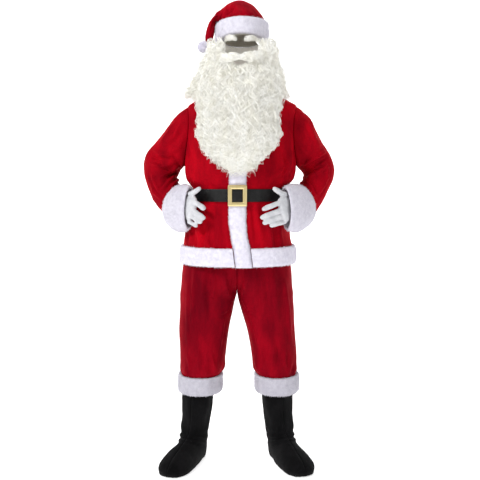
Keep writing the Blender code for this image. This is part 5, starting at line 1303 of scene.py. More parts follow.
SEAT_FOLDS = [
    ([(0.02, 0.86), (0.05, 0.79), (0.10, 0.73)], 0.012, 0.0060, 0.5),
    ([(-0.03, 0.86), (-0.06, 0.79), (-0.11, 0.73)], 0.012, 0.0060, -0.5),
    ([(0.10, 0.84), (0.12, 0.70), (0.13, 0.56)], 0.013, 0.0055, 0.5),
    ([(-0.10, 0.84), (-0.13, 0.70), (-0.14, 0.56)], 0.013, 0.0055, -0.5),
    ([(0.02, 0.71), (0.08, 0.70), (0.15, 0.715)], 0.009, 0.0060, 0.5),
    ([(-0.03, 0.71), (-0.09, 0.70), (-0.16, 0.715)], 0.009, 0.0060, -0.5),
    ([(0.08, 0.55), (0.14, 0.53), (0.20, 0.555)], 0.009, 0.0060, 0.5),
    ([(-0.08, 0.55), (-0.14, 0.53), (-0.20, 0.555)], 0.009, 0.0060, -0.5),
    ([(0.12, 0.48), (0.14, 0.42), (0.13, 0.36)], 0.009, 0.0060, 0.5),
    ([(0.18, 0.47), (0.17, 0.42), (0.18, 0.36)], 0.008, 0.0055, -0.5),
    ([(-0.12, 0.48), (-0.14, 0.42), (-0.13, 0.36)], 0.009, 0.0060, -0.5),
    ([(-0.19, 0.47), (-0.18, 0.42), (-0.19, 0.36)], 0.008, 0.0055, 0.5)]


def leg_point(tab, z, t, out=0.0):
    g = {c: curve(tab["z"], tab[c])(z) for c in ("mid", "half", "front", "back")}
    side = 1 if tab is LEG_LEFT else -1
    c, s = np.cos(t), np.sin(t)
    reach = np.where(s > 0, -g["front"], g["back"])
    return np.stack([g["mid"] + side * (g["half"] + out) * power(c, LEG_SQUARE), -(reach + out) * power(s, LEG_SQUARE),
                     np.broadcast_to(z, np.broadcast(z, t).shape)], -1)


def leg_clip(tab, z):
    mid, half = curve(tab["z"], tab["mid"])(z), curve(tab["z"], tab["half"])(z)
    c = np.abs(mid - MID_X) / half
    return np.where(c < 1, math.pi - np.arccos(np.minimum(1.0, c) ** (1 / LEG_SQUARE)), math.pi)


def trouser_panel(tab, front, mat):
    side = 1 if tab is LEG_LEFT else -1
    name = "trouser_%s_%s" % ("front" if front else "back", "left" if side > 0 else "right")
    z = np.linspace(1.030, 0.335, 92)
    end = leg_clip(tab, z)
    u = np.linspace(0, 1, 48)[None, :]
    t = end[:, None] * u * (1 if front else -1)
    zz = np.broadcast_to(z[:, None], t.shape)
    p = leg_point(tab, zz, t)
    e = 0.03
    du = leg_point(tab, zz, t + e) - leg_point(tab, zz, t - e)
    dv = leg_point(tab, np.minimum(zz + 0.01, 1.03), t) - leg_point(tab, np.maximum(zz - 0.01, 0.3), t)
    n = unit(np.cross(du, dv))
    mid = curve(tab["z"], tab["mid"])(zz)
    n = n * np.sign(((p[..., 0] - mid) * n[..., 0] + p[..., 1] * n[..., 1]))[..., None]
    x, y = p[..., 0], p[..., 1]
    drawn = [(pts, 0.82 * width, 1.15 * height, lean) for pts, width, height, lean in (LEG_FOLDS if front else SEAT_FOLDS)]
    lift = strokes(x, zz, drawn)
    waist = np.exp(-((zz - 1.03) / 0.06) ** 2)
    lift = lift + waist * 0.003 * np.sin(t * 17 + side)
    blouse = np.exp(-((zz - 0.381) / 0.030) ** 2)
    lift = lift + blouse * (0.0032 * np.sin(t * 8.5 + 3 * noise(p, 0.06, 51)) + 0.0018 * np.sin(t * 15 + 1.1))
    lift = lift + 0.0032 * noise(p, 0.10, 52, (1, 1, 2.2)) + 0.0010 * noise(p, 0.03, 53)
    inside = u * end[:, None] / math.pi
    edge_o = np.linalg.norm(p - p[:, :1], axis=-1)
    edge_i = np.linalg.norm(p - p[:, -1:], axis=-1)
    lift = lift * ramp(edge_o, 0.0, 0.014) * ramp(edge_i, 0.0, 0.022)
    lift = lift * ramp(zz, 0.354, 0.365)
    below = 1 - ramp(zz, 0.354, 0.359)
    lift = np.clip(lift, -0.0085, 0.0095) - 0.0008 * below
    lift = lift - 0.0011 * np.exp(-(edge_o / 0.0035) ** 2) * ramp(zz, 0.349, 0.369)
    crease_in = np.exp(-(edge_i / 0.0035) ** 2) * 0.0010
    lift = lift - crease_in
    q = p + n * lift[..., None]
    gap = (-1 if front else 1) * SEAM / 2
    q[:, 0, 1] += gap
    inner = q - n * VELVET
    lim = MID_X + side * SEAM / 2
    cut = end < math.pi - 1e-6
    q[:, -1, 0] = np.where(cut, lim, q[:, -1, 0])
    inner[:, -1, 0] = np.where(cut, lim, inner[:, -1, 0])
    q[:, -1, 1] += np.where(cut, 0, gap)
    inner[:, -1, 1] = np.where(cut, q[:, -1, 1] + (1 if front else -1) * VELVET, q[:, -1, 1])
    if front:
        inner[..., 1] = np.minimum(inner[..., 1], -SEAM / 2)
    else:
        inner[..., 1] = np.maximum(inner[..., 1], SEAM / 2)
    ob = shell(name + "_cloth", low(q), mat, VELVET, inner=low(inner))
    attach(ob, "root")
    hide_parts(name)
    return ob


def waistband():
    """Elastic casing, finely gathered."""
    n = 360
    t = 2 * np.pi * (np.arange(n) + 0.5) / n
    c, s = np.cos(t), np.sin(t)
    reach = np.where(s < 0, 0.130, 0.100)
    prof = []
    for z, out in ((1.0335, 0.0), (1.036, 0.0012), (1.046, 0.0016), (1.050, 0.0004), (1.054, 0.0014), (1.064, 0.0010), (1.0678, 0.0),
                   (1.0678, -0.0026), (1.050, -0.0028), (1.0335, -0.0018)):
        g = out + 0.0006 * np.sin(t * 120) * (out > 0)
        prof.append(np.stack([MID_X + (0.160 + g) * power(c, LEG_SQUARE), (reach + g) * power(s, LEG_SQUARE), np.full(n, z)], -1))
    # a darker copy of the red velvet for the waistband: painted shade
    ob = sweep("waistband_elastic", low(np.stack(prof, 1)), velvet("red_velvet_waistband", 0.9), closed=True)
    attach(ob, "root")
    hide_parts("waistband")
    return ob


def leg_cuff(tab):
    name = "left" if tab is LEG_LEFT else "right"
    # a darker copy of the plush for the leg cuffs: painted shade
    white, fur = plush("leg_cuff_plush_" + name, painted_light_level=0.74), plush("leg_cuff_fur_" + name, True, 0.74)
    n, m = 110, 18
    t = 2 * np.pi * np.arange(n) / n
    k = np.linspace(0, 1, m)
    z = 0.3540 - 0.0735 * (0.5 - 0.5 * np.cos(np.pi * k))
    thick = 0.0128 * np.maximum(0.0, 1 - np.abs(2 * k - 1) ** 2.8) ** 0.6
    zc = np.clip(z, 0.335, 0.354)
    zz, tt = np.broadcast_arrays(zc[None, :], t[:, None])
    base = leg_point(tab, zz, tt, LIE + 0.0003)
    base[..., 2] = z[None]
    out = leg_point(tab, zz, tt, (LIE + thick)[None, :])
    out[..., 2] = z[None]
    mid = curve(tab["z"], tab["mid"])(np.array(0.344))
    nor = unit((out - np.array([mid, 0, 0])) * np.array([1, 1, 0]))
    crink = 0.0016 * np.sin(tt * 11 + 3 * noise(out, 0.05, 61)) + 0.0018 * noise(out, 0.017, 62) + 0.0022 * noise(out, 0.05, 63)
    out = out + nor * (crink * (thick / 0.0128)[None])[..., None]
    ob = sweep("leg_cuff_%s_plush" % name, low(np.concatenate([out, base[:, ::-1][:, 1:-1]], 1)), white, closed=True)
    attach(ob, "root")
    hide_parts("leg_cuff_" + name)
    centre = np.array([float(mid), 0, 0.319 - ORIGIN_Z])
    side_of = lambda c, nn: ((((c - centre) * nn)[:, :2]).sum(1) > 0).astype(float) + 0.02
    pts, nrm, _ = surface_points(ob, 3100, RNG, side_of)
    f = spikes("leg_cuff_%s_fur" % name, pts, nrm, 0.0058, 0.0009, fur, RNG)
    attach(f, "root")
    return [ob, f]


# ------------------------------------------------------------ boot covers
def boot_half(side, half, mat):
    """Half of a boot cover; the seam runs down the front, and under and up the back."""
    outer_sign = 1 if side == "left" else -1
    sign = outer_sign if half == "outer" else -outer_sign
    (hx, hy), (dx, dy) = BOOT_PLACE[side]
    fwd, across = unit([dx, dy, 0.0]), unit([-dy, dx, 0.0])
    rows = len(BOOT["bf"])
    s = np.concatenate([np.linspace(0, rows - 1, 66)])
    col = {c: along(BOOT[c])(s) for c in BOOT}
    lean = across[None] * (col["inward"] * (1 if side == "right" else -1))[:, None]
    spot = lambda f, z: np.array([hx, hy, 0.0])[None] + fwd[None] * np.asarray(f)[:, None] + np.array([0, 0, 1.0])[None] * np.asarray(z)[:, None]
    b0, t0 = spot(col["bf"], col["bz"]) + lean, spot(col["tf"], col["tz"]) + lean
    mid, a = (b0 + t0) / 2, (t0 - b0) / 2
    la = np.linalg.norm(a, axis=-1)
    t = np.pi * np.linspace(0, 1, 30)
    ring = lambda cut: (mid[:, None] + unit(a)[:, None] * ((la - cut)[:, None] * np.cos(t))[..., None]
                        + across[None, None] * sign * ((col["half"] - cut)[:, None] * np.sin(t))[..., None])
    p = ring(0.0)
    n = unit(p - mid[:, None])
    shin = ramp(s, 4.6, 2.2)[:, None]
    bend = np.exp(-((s - 4.4) / 1.3) ** 2)[:, None]
    lift = 0.0028 * noise(p, 0.045, 71 + outer_sign, (1, 1, 1.6)) + 0.0012 * noise(p, 0.018, 72)
    lift = lift + bend * 0.0042 * np.sin(s * 5.2)[:, None] * (0.55 + 0.45 * np.cos(t))[None]
    lift = lift + shin * 0.0022 * np.sin(t * 5 + s[:, None] * 0.8 + (1 if half == "outer" else 2.2))
    lift = lift + np.exp(-((s - 2.0) / 0.5) ** 2)[:, None] * 0.0022 * np.sin(t * 3 + 1)[None]
    edge = np.minimum(np.linalg.norm(p - p[:, :1], axis=-1), np.linalg.norm(p - p[:, -1:], axis=-1))
    lift = np.clip(lift * ramp(edge, 0, 0.012), -0.0045, 0.0045) - 0.0013 * np.exp(-(edge / 0.0032) ** 2) + 0.0005 * np.exp(-((edge - 0.008) / 0.0028) ** 2)
    hem = np.exp(-(s / 0.16) ** 2)[:, None]
    p = p + n * (lift * (1 - hem) - 0.0 * hem)[..., None]
    floor_o, floor_i = SOLE_T + SEAM, SOLE_T + SEAM + 0.0018
    tip = spot([BOOT_TIP[0]], [BOOT_TIP[1]])[0]
    close = np.array([0.86, 0.66, 0.42, 0.2, 0.06])[:, None, None]
    cap = tip[None, None] + (p[-1][None] - tip[None, None]) * close + fwd * ((1 - close) * close * 0.010)
    p = np.concatenate([p, cap])
    mids = np.concatenate([mid, np.broadcast_to(mid[-1], (5, 3))])
    n2 = unit(p - mids[:, None])
    inner = p - n2 * 0.0017
    shift = across * sign * SEAM / 2
    for g, lowest in ((p, floor_o), (inner, floor_i)):
        g += shift
        flat = g[..., 2] < lowest
        g[..., 2] = np.where(flat, lowest, g[..., 2])
        keep = ((g - (np.array([hx, hy, 0]) + fwd * 0)) @ across) * sign
    for g in (p, inner):
        off = ((g - np.array([hx, hy, 0.0])) @ across) * sign - (((mids - np.array([hx, hy, 0.0])) @ across) * sign)[:, None]
        fix = np.maximum(0, SEAM / 2 - off)
        g += across * sign * fix[..., None]
    node = "boot_%s_%s" % (side, half)
    ob = shell(node + "_felt", low(p), mat, 0.0017, inner=low(inner))
    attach(ob, "root")
    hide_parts(node)
    return ob


def boot_sole(side):
    """Thin rubber sole with a rounded edge, wholly under the foot."""
    m, t, b = nodes_of("sole_rubber_" + side)
    n = tex(t, "ShaderNodeTexNoise", Scale=300.0, Detail=3.0, Roughness=0.6)
    t.links.new(coords(t), n.inputs["Vector"])
    col = mix_colour(t, steps(t, n.outputs["Fac"], ((0.3, 0.0), (0.7, 1.0))), (0.010, 0.010, 0.011), (0.026, 0.026, 0.028))
    t.links.new(col, b.inputs["Base Color"])
    t.links.new(steps(t, n.outputs["Fac"], ((0.2, 0.8), (0.8, 0.6))), b.inputs["Roughness"])
    bump(t, b, n.outputs["Fac"], 0.4, 0.0008)
    (hx, hy), (dx, dy) = BOOT_PLACE[side]
    fwd, across = unit([dx, dy, 0.0]), unit([-dy, dx, 0.0])
    half = curve(SOLE["f"], SOLE["half"])
    f0, f1 = float(SOLE["f"][0]), float(SOLE["f"][-1])
    f = f0 + (f1 - f0) * (0.5 - 0.5 * np.cos(np.pi * np.linspace(0, 1, 60)))
    h = half(f) * np.minimum(1.0, np.sqrt(np.clip((f - f0 + 0.0006) / 0.010, 0, 1)) * 0.5 + 0.5) * 0.985
    right = np.stack([f, h], 1)
    left = np.stack([f[::-1], -h[::-1]], 1)
    loop = np.concatenate([right, left])
    mid = np.array([(f0 + f1) / 2, 0.0])
    rows = []
    for shrink, z in ((0.9925, 0.0), (1.0, 0.0007), (1.0, SOLE_T - 0.0006), (0.9925, SOLE_T)):
        q = mid + (loop - mid) * shrink
        rows.append(np.array([hx, hy, 0.0]) + q[:, :1] * fwd + q[:, 1:] * across + np.array([0, 0, z]))
    g = np.stack(rows)
    k = len(loop)
    half_n = k // 2
    faces = [grid_faces(4, k, True)]
    i = np.arange(half_n - 1)
    low_cap = np.stack([i, k - 1 - i, k - 2 - i, i + 1], -1)
    faces.append(low_cap)
    faces.append(low_cap[:, ::-1] + 3 * k)
    ob = outward(mesh_object("boot_%s_sole_rubber" % side, low(g).reshape(-1, 3), faces, m, smooth=False))
    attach(ob, "root")
    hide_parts("boot_%s_sole" % side)
    return ob


# ------------------------------------------------------------ hat
HAT_FOLDS = [
    ([seen(234.5, 4), seen(230.5, 9), seen(224.5, 13.5)], 0.0034, -0.0060, 0.0),
    ([seen(229, 3), seen(227, 7), seen(228, 12)], 0.0030, -0.0050, 0.0),
    ([seen(218, 9), seen(213, 17), seen(210, 27), seen(208, 38)], 0.0050, -0.0050, 0.0),
    ([seen(222, 8), seen(217, 16), seen(214, 24)], 0.0038, 0.0036, 0.0),
    ([seen(232, 3), seen(232.5, 8), seen(231, 13)], 0.0050, -0.0045, 0.0),
    ([seen(237, 4), seen(239, 10), seen(243, 17)], 0.0060, 0.0030, 0.4),
    ([seen(226, 5), seen(224, 11), seen(219, 16)], 0.0060, 0.0032, -0.4),
    ([seen(213, 14), seen(209, 22), seen(207, 32)], 0.0040, 0.0022, 0.4),
    ([seen(250, 9), seen(254, 15), seen(257, 20)], 0.0070, 0.0025, 0.3)]


def oval(mid, half, front, back, t, out=0.0, square=0.94):
    t = np.asarray(t, float)
    s = np.sin(t)
    reach = np.where(s > 0, back, -front) + out
    return mid + (half + out) * power(np.cos(t), square), reach * power(s, square)


def hat():
    # a darker copy of the red velvet for the hat: painted shade
    red = velvet("red_velvet_hat", 0.9)
    count = 96
    s = np.linspace(0, len(HAT["ox"]) - 1, 80)
    p, mid = tube_grid(HAT, s, count)
    n = grid_normals(p, True)
    n = n * np.sign(((p - mid[:, None]) * n).sum())
    face = ramp(-n[..., 1], -0.2, 0.3)
    lift = strokes(p[..., 0], p[..., 2], HAT_FOLDS) * face + strokes(p[..., 0] + 0.004, p[..., 2] - 0.003, HAT_FOLDS) * (1 - face) * 0.7
    lift = lift + 0.0016 * noise(p, 0.035, 81)
    lift = lift * ramp(s, 0.9, 2.2)[:, None] * ramp(-s, -16.6, -14.0)[:, None]
    t = 2 * np.pi * np.arange(count) / count
    seam = np.exp(-(((t - 1.05) % (2 * np.pi)) * 0.06 / 0.0020) ** 2)[None, :] * 0.0009
    p = p + n * (np.clip(lift, -0.0085, 0.0050) - seam * 0)[..., None]
    tip = np.array(HAT_TIP)
    close = np.array([0.80, 0.52, 0.25, 0.06])[:, None, None]
    cap = tip + (p[-1][None] - tip) * close
    outer = np.concatenate([p, cap])
    w = 0.0012
    inner = outer - n_full(outer, np.concatenate([mid, np.broadcast_to(mid[-1], (4, 3))])) * w
    inner[-4:] = outer[-4:] + unit(mid[-1] - tip) * w
    ob = shell("hat_cap_cloth", low(outer), red, w, closed=True, inner=low(inner))
    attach(ob, "root")
    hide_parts("hat_cap")
    return ob


def n_full(g, mid):
    n = grid_normals(g, True)
    return n * np.sign(((g - mid[:, None]) * n).sum())


def arch(z, t):
    """Rise of the hat's lower edge over the forehead; it fades out 50 mm higher."""
    return ARCH * np.maximum(0.0, -np.sin(t)) ** 2 * np.clip(1 - (z - 1.6735) / 0.050, 0, 1)


def hat_band():
    # a slightly darker copy of the plush for the hat band: painted shade
    white, fur = plush("hat_band_plush", painted_light_level=0.94), plush("hat_band_fur", True, 0.94)
    g, n, m = BAND_INNER, 130, 20
    t = 2 * np.pi * np.arange(n) / n
    k = np.linspace(0, 1, m)
    z = 1.6765 + (1.7525 - 1.6765) * (0.5 - 0.5 * np.cos(np.pi * k))
    thick = 0.0142 * np.maximum(0.0, 1 - np.abs(2 * k - 1) ** 2.8) ** 0.6
    dip = 0.007 * np.maximum(0.0, -np.cos(t)) ** 3
    drop = dip[:, None] * ramp(z, 1.725, 1.748)[None, :]
    zz = z[None, :] - drop
    zz = zz + arch(zz, t[:, None])
    x, y = oval(g["mid"], 0.0925, -0.1135, 0.1215, t[:, None], thick[None, :] - 0.002, 1.0)
    out = np.stack(np.broadcast_arrays(x, y, zz), -1)
    nor = unit(np.stack(np.broadcast_arrays(np.cos(t)[:, None] + 0 * zz, np.sin(t)[:, None] + 0 * zz, (k - 0.5)[None] * 0.9 + 0 * zz), -1))
    lump = 0.0015 * noise(out, 0.015, 82) + 0.0022 * noise(out, 0.05, 83)
    out = out + nor * (lump * (thick / 0.0142)[None])[..., None]
    low_ = np.clip((z - 1.700) / 0.028, 0, 1)
    base = []
    for j in range(1, m - 1):
        h, f, b = (a + (c - a) * low_[j] for a, c in ((g["half"], 0.0895), (g["front"], -0.1075), (g["back"], 0.1155)))
        bx, by = oval(g["mid"], h, f, b, t, 0.0, 1.0)
        base.append(np.stack([bx, by, zz[:, j]], -1))
    base = np.stack(base[::-1], 1)
    ob = sweep("hat_band_plush", low(np.concatenate([out, base], 1)), white, closed=True)
    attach(ob, "root")
    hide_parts("hat_band")
    side_of = lambda c, nn: ((((c - np.array([0.014, 0, 0])) * nn)[:, :2]).sum(1) > 0).astype(float) + 0.02
    pts, nrm, _ = surface_points(ob, 3000, RNG, side_of)
    f = spikes("hat_band_fur", pts, nrm, 0.0060, 0.0009, fur, RNG)
    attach(f, "root")
    return [ob, f]


def ball(centre, radius, rows=28, cols=44):
    a = np.pi * np.linspace(0.004, 0.996, rows)[:, None]
    t = 2 * np.pi * np.arange(cols)[None] / cols
    return centre + radius * np.stack([np.sin(a) * np.cos(t), np.sin(a) * np.sin(t), np.cos(a) + 0 * t], -1)


def pompom():
    # a lighter copy of the plush, to lighten the pompom that hangs in shade: painted light
    white, fur = plush("pompom_plush", painted_light_level=1.16), plush("pompom_fur", True, 1.16)
    c = np.array(POMPOM_AT)
    g = ball(c, POMPOM_R - 0.0035)
    n = unit(g - c)
    g = g + n * (0.0022 * noise(g, 0.014, 91) + 0.0008 * noise(g, 0.006, 92))[..., None]
    ob = sweep("pompom_ball", low(g), white)
    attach(ob, "root")
    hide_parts("pompom")
    pts, nrm, _ = surface_points(ob, 1500, RNG)
    f = spikes("pompom_fur", pts, nrm, 0.0085, 0.0009, fur, RNG, lay=(0, 0, -0.12), spread=0.35)
    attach(f, "root")
    return [ob, f]


# ------------------------------------------------------------ hair
H = {c: curve(HAIR["z"], HAIR[c]) for c in ("left", "right", "back", "thick")}
WIG_FROM, WIG_TO = math.radians(-15), math.radians(195)


def wig_point(z, t, depth=0.0):
    """Point of the hanging hair: depth runs from 0 on the outside to 1 on the inside."""
    z, t, depth = np.broadcast_arrays(np.asarray(z, float), np.asarray(t, float), np.asarray(depth, float))
    l, r, b, th = (H[c](z) for c in ("left", "right", "back", "thick"))
    d = th * depth
    s = np.sin(t)
    reach = np.where(s > 0, b - d, -(HAIR_FRONT + d))
    return np.stack([(l + r) / 2 + ((r - l) / 2 - d) * power(np.cos(t), 0.95), reach * power(s, 0.95), z], -1)


def locks(name, line, normal, mat, strands, amp, wave, turns, rng, radius=0.0014, spread=0.0032, steps_=18, tip=0.35, flat=0.6,
          curl_in=1.0, rise=None, slack=0.5):
    """Curled locks. line (n, k, 3) are the locks' middle lines and normal (n, k, 3) the way out of the hair.
    Each lock is a bundle of strands that wind together, closer at the tip."""
    n, k, _ = line.shape
    tang = unit(np.gradient(line, axis=1))
    side = unit(np.cross(tang, normal))
    seg = np.linalg.norm(np.diff(line, axis=1), axis=2)
    dist = np.concatenate([np.zeros((n, 1)), np.cumsum(seg, axis=1)], 1)
    u = np.linspace(0, 1, k)[None, :]
    phase = rng.uniform(0, 2 * math.pi, (n, 1)) if turns is None else turns
    w = wave * rng.uniform(0.8, 1.25, (n, 1))
    a = amp * rng.uniform(0.75, 1.3, (n, 1)) * ramp(u, -0.05, 0.22) * (1 + slack * u)
    hand = rng.choice([-1.0, 1.0], (n, 1))
    paths, radii = [], []
    for s in range(strands):
        ph = phase + rng.normal(0, 0.22, (n, 1)) + 2 * math.pi * dist / w
        ox, oy = rng.normal(0, spread, (n, 1)), rng.normal(0, spread * flat, (n, 1))
        pinch = 1 - tip * u ** 1.5
        sx = a * np.sin(ph) + ox * pinch + 0.35 * spread * np.sin(ph * 0.5 + rng.uniform(0, 6, (n, 1)))
        sy = a * flat * curl_in * hand * np.cos(ph) + oy * pinch
        if rise is not None:
            sy = sy + rise
        paths.append(line + side * sx[..., None] + normal * sy[..., None])
        radii.append(radius * rng.uniform(0.75, 1.2, (n, 1)) * (0.55 + 0.45 * np.sin(np.pi * np.clip(u * 0.9 + 0.12, 0, 1))) * (1 - 0.72 * u ** 5))
    paths, radii = np.concatenate(paths), np.concatenate(radii)
    return paths, np.broadcast_to(radii, paths.shape[:2])


def wig():
    base = hair("wig_base", base=True)
    mat = hair("wig_hair")
    z = np.linspace(1.672, 1.476, 44)
    t = np.linspace(WIG_FROM, WIG_TO, 84)
    zz, tt = np.meshgrid(z, t, indexing="ij")
    out = wig_point(zz, tt, 0.22)
    inn = wig_point(zz, tt, 0.96)
    nor = grid_normals(out)
    nor = nor * np.sign((nor * (out - np.array([0.01, 0.0, 0])) * np.array([1, 1, 0])).sum())
    rip = 0.0022 * np.sin(tt * 34 + 6 * noise(out, 0.08, 101) + zz * 30) + 0.003 * noise(out, 0.03, 102, (1, 1, 2))
    out = out + nor * rip[..., None] - nor * 0.001
    inn = inn + nor * (0.0012 * np.sin(tt * 60 + 5 * noise(inn, 0.05, 103)) * ramp(zz, 1.46, 1.48))[..., None]
    inn[-1, :, 2] += 0.012
    ob = shell("wig_inside", low(out), base, 0.01, inner=low(inn))
    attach(ob, "root")
    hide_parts("wig")
    rng = np.random.default_rng(77)
    k = 15
    u = np.linspace(0, 1, k)[None, :]
    lines, norms = [], []
    for count, z_top, z_low, depth in ((100, (1.668, 1.674), (1.478, 1.52), 0.02), (80, (1.60, 1.66), (1.452, 1.478), 0.0), (60, (1.54, 1.60), (1.449, 1.46), -0.03)):
        t0 = (np.arange(count) + rng.uniform(-0.4, 0.4, count) + 0.5) / count * (WIG_TO - WIG_FROM + 0.16) + WIG_FROM - 0.08
        za, zb = rng.uniform(*z_top, count)[:, None], rng.uniform(*z_low, count)[:, None]
        zl = za + (zb - za) * u
        drift = rng.normal(0, 0.05, (count, 1)) * u
        tl = np.clip(t0[:, None] + drift, WIG_FROM - 0.06, WIG_TO + 0.06)
        p = wig_point(zl, tl, depth)
        e = wig_point(zl, tl, depth - 0.2) - wig_point(zl, tl, depth + 0.2)
        lines.append(p)
        norms.append(unit(e))
    # the two front edges, layers of hair that hang beside the face
    for edge, sgn in ((WIG_FROM, -1), (WIG_TO, 1)):
        count = 62
        dep = ((np.arange(count) + rng.uniform(0, 1, count)) / count * 1.9 % 1.0) * 0.98
        za = 1.671 - 0.004 * rng.random((count, 1)) - 0.02 * (rng.random((count, 1)) > 0.6)
        zb = rng.uniform(1.46, 1.52, count)[:, None]
        zl = za + (zb - za) * u
        tl = np.full((count, k), edge) + sgn * (0.03 + rng.uniform(0, 0.03, (count, 1)))
        p = wig_point(zl, tl, dep[:, None] + 0 * zl)
        p[..., 1] -= 0.003 + 0.016 * rng.random((count, 1)) * np.sin(np.pi * u)
        lines.append(p)
        norms.append(unit(np.stack([0.25 * np.sign(p[..., 0] - 0.01), -np.ones(p.shape[:2]), np.zeros(p.shape[:2])], -1)))
    line, norm = np.concatenate(lines), np.concatenate(norms)
    flare = ramp(u, 0.62, 1.0) * np.where(line[..., 2] < 1.52, 1.0, 0.3)
    line = line + norm * (flare * 0.006)[..., None]
    paths, radii = locks("wig", line, norm, mat, 4, 0.0094, 0.056, None, rng, radius=0.00145, spread=0.0052, flat=0.8)
    waist = (1 - ramp(paths[..., 2], 1.625, 1.655)) * ramp(paths[..., 2], 1.440, 1.500)
    paths[..., 0] -= waist * (0.24 * np.maximum(paths[..., 0] - 0.135, 0) - 0.14 * np.maximum(-0.140 - paths[..., 0], 0))
    floor_ = 1.444
    paths[..., 2] = np.where(paths[..., 2] < floor_, floor_ + 0.15 * (paths[..., 2] - floor_), paths[..., 2])
    third = len(paths) // 3
    hs = []
    for part, sl in (("a", slice(0, third)), ("b", slice(third, 2 * third)), ("c", slice(2 * third, None))):
        h = tubes("wig_locks_" + part, low(paths[sl]), radii[sl], mat)
        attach(h, "root")
        hs.append(h)
    # fine loose hairs that stray from the locks
    pick = rng.choice(len(line), 66, replace=False)
    fl, fn = line[pick], norm[pick]
    fp, fr = locks("stray", fl, fn, mat, 2, 0.0105, 0.052, None, rng, radius=0.00065, spread=0.0080, slack=0.9, rise=0.0050)
    fp[..., 2] = np.maximum(fp[..., 2], 1.440)
    s = tubes("wig_stray_hairs", low(fp), fr, mat)
    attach(s, "root")
    return [ob, *hs, s]


def temple_locks():
    """Locks of the wig that come out from under the hat beside the brows and run into the beard."""
    mat = hair("temple_hair")
    rng = np.random.default_rng(61)
    s = np.linspace(0, 1, 15)[None, :]
    lines, norms = [], []
    for sgn, near, far in ((-1, -0.0585, -0.116), (1, 0.0775, 0.140)):
        count = 40
        x0 = near + (far - near) * ((np.arange(count)[:, None] + rng.random((count, 1))) / count)
        x1 = x0 + rng.normal(0.004 * sgn, 0.004, (count, 1))
        away = np.abs(x0 - near) / abs(far - near)
        y0 = -0.109 - 0.008 * rng.random((count, 1)) + 0.030 * away ** 2
        z0 = rng.uniform(1.648, 1.676, (count, 1))
        z1 = rng.uniform(1.560, 1.606, (count, 1))
        bulge = np.sin(np.pi * np.clip(s * 0.9, 0, 1))
        puff = 0.010 * np.sin(np.pi * np.clip(s * 1.7, 0, 1)) * ramp(away, 0.55, 1.0) * (sgn > 0)
        lines.append(np.stack([x0 + (x1 - x0) * s - sgn * 0.002 * bulge + puff, y0 - (0.014 + 0.010 * rng.random((count, 1))) * bulge - 0.012 * s, z0 + (z1 - z0) * s], -1))
        norms.append(np.broadcast_to(unit(np.array([0.2 * sgn, -1.0, 0.0])), lines[-1].shape))
    line, norm = np.concatenate(lines), np.concatenate(norms)
    paths, radii = locks("temple", line, norm, mat, 4, 0.0052, 0.050, None, rng, radius=0.00145, spread=0.0034, flat=0.8)
    h = tubes("temple_locks", low(paths), radii, mat)
    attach(h, "root")
    return h


def shoulder_locks():
    """The longest locks of the wig: they lie on the front of the wearer's right shoulder."""
    mat = hair("shoulder_hair")
    rng = np.random.default_rng(65)
    s = np.linspace(0, 1, 14)[None, :]
    count = 34
    f = (np.arange(count)[:, None] + rng.random((count, 1))) / count
    x0 = -0.128 - 0.044 * f
    x1 = -0.142 - 0.052 * f + rng.normal(0, 0.003, (count, 1))
    y0 = -0.030 - 0.035 * rng.random((count, 1))
    y1 = -0.066 - 0.026 * rng.random((count, 1))
    z0 = rng.uniform(1.500, 1.560, (count, 1))
    z1 = 1.428 + 0.018 * f + rng.uniform(0, 0.016, (count, 1))
    line = np.stack([x0 + (x1 - x0) * s - 0.010 * np.sin(np.pi * s), y0 + (y1 - y0) * s, z0 + (z1 - z0) * s], -1)
    norm = np.broadcast_to(unit(np.array([-0.5, -1.0, 0.0])), line.shape)
    paths, radii = locks("shoulder", line, norm, mat, 4, 0.0080, 0.055, None, rng, radius=0.00140, spread=0.0046, flat=0.7)
    paths[..., 2] = np.maximum(paths[..., 2], 1.424)
    h = tubes("shoulder_locks", low(paths), radii, mat)
    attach(h, "root")
    return h


def chin_locks():
    """The top of the beard: locks that leave the lip and fall over it, parted where the mouth shows."""
    mat = hair("chin_hair")
    rng = np.random.default_rng(63)
    s = np.linspace(0, 1, 15)[None, :]
    count = 54
    x0 = -0.068 + 0.150 * ((np.arange(count)[:, None] + rng.random((count, 1))) / count)
    part = ramp(np.abs(x0 - 0.006), 0.016, 0.034)
    z0 = 1.568 + 0.018 * part + rng.uniform(-0.002, 0.002, (count, 1))
    y0 = -0.128 - 0.016 * (1 - part) - 0.010 * part - 0.004 * rng.random((count, 1))
    x1 = x0 * 1.12 + rng.normal(0, 0.005, (count, 1))
    z1 = 1.512 + rng.uniform(-0.012, 0.012, (count, 1))
    y1 = -0.192 + 0.8 * x0 ** 2 / 0.068
    bow = np.sin(np.pi * s) * 0.010
    line = np.stack([x0 + (x1 - x0) * s, y0 + (y1 - y0) * s - bow, z0 + (z1 - z0) * s ** 1.2], -1)
    norm = np.broadcast_to(unit(np.array([0.0, -1.0, 0.35])), line.shape)
    paths, radii = locks("chin", line, norm, mat, 3, 0.0050, 0.055, None, rng, radius=0.00140, spread=0.0034, flat=0.7)
    h = tubes("chin_locks", low(paths), radii, mat)
    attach(h, "root")
    return h


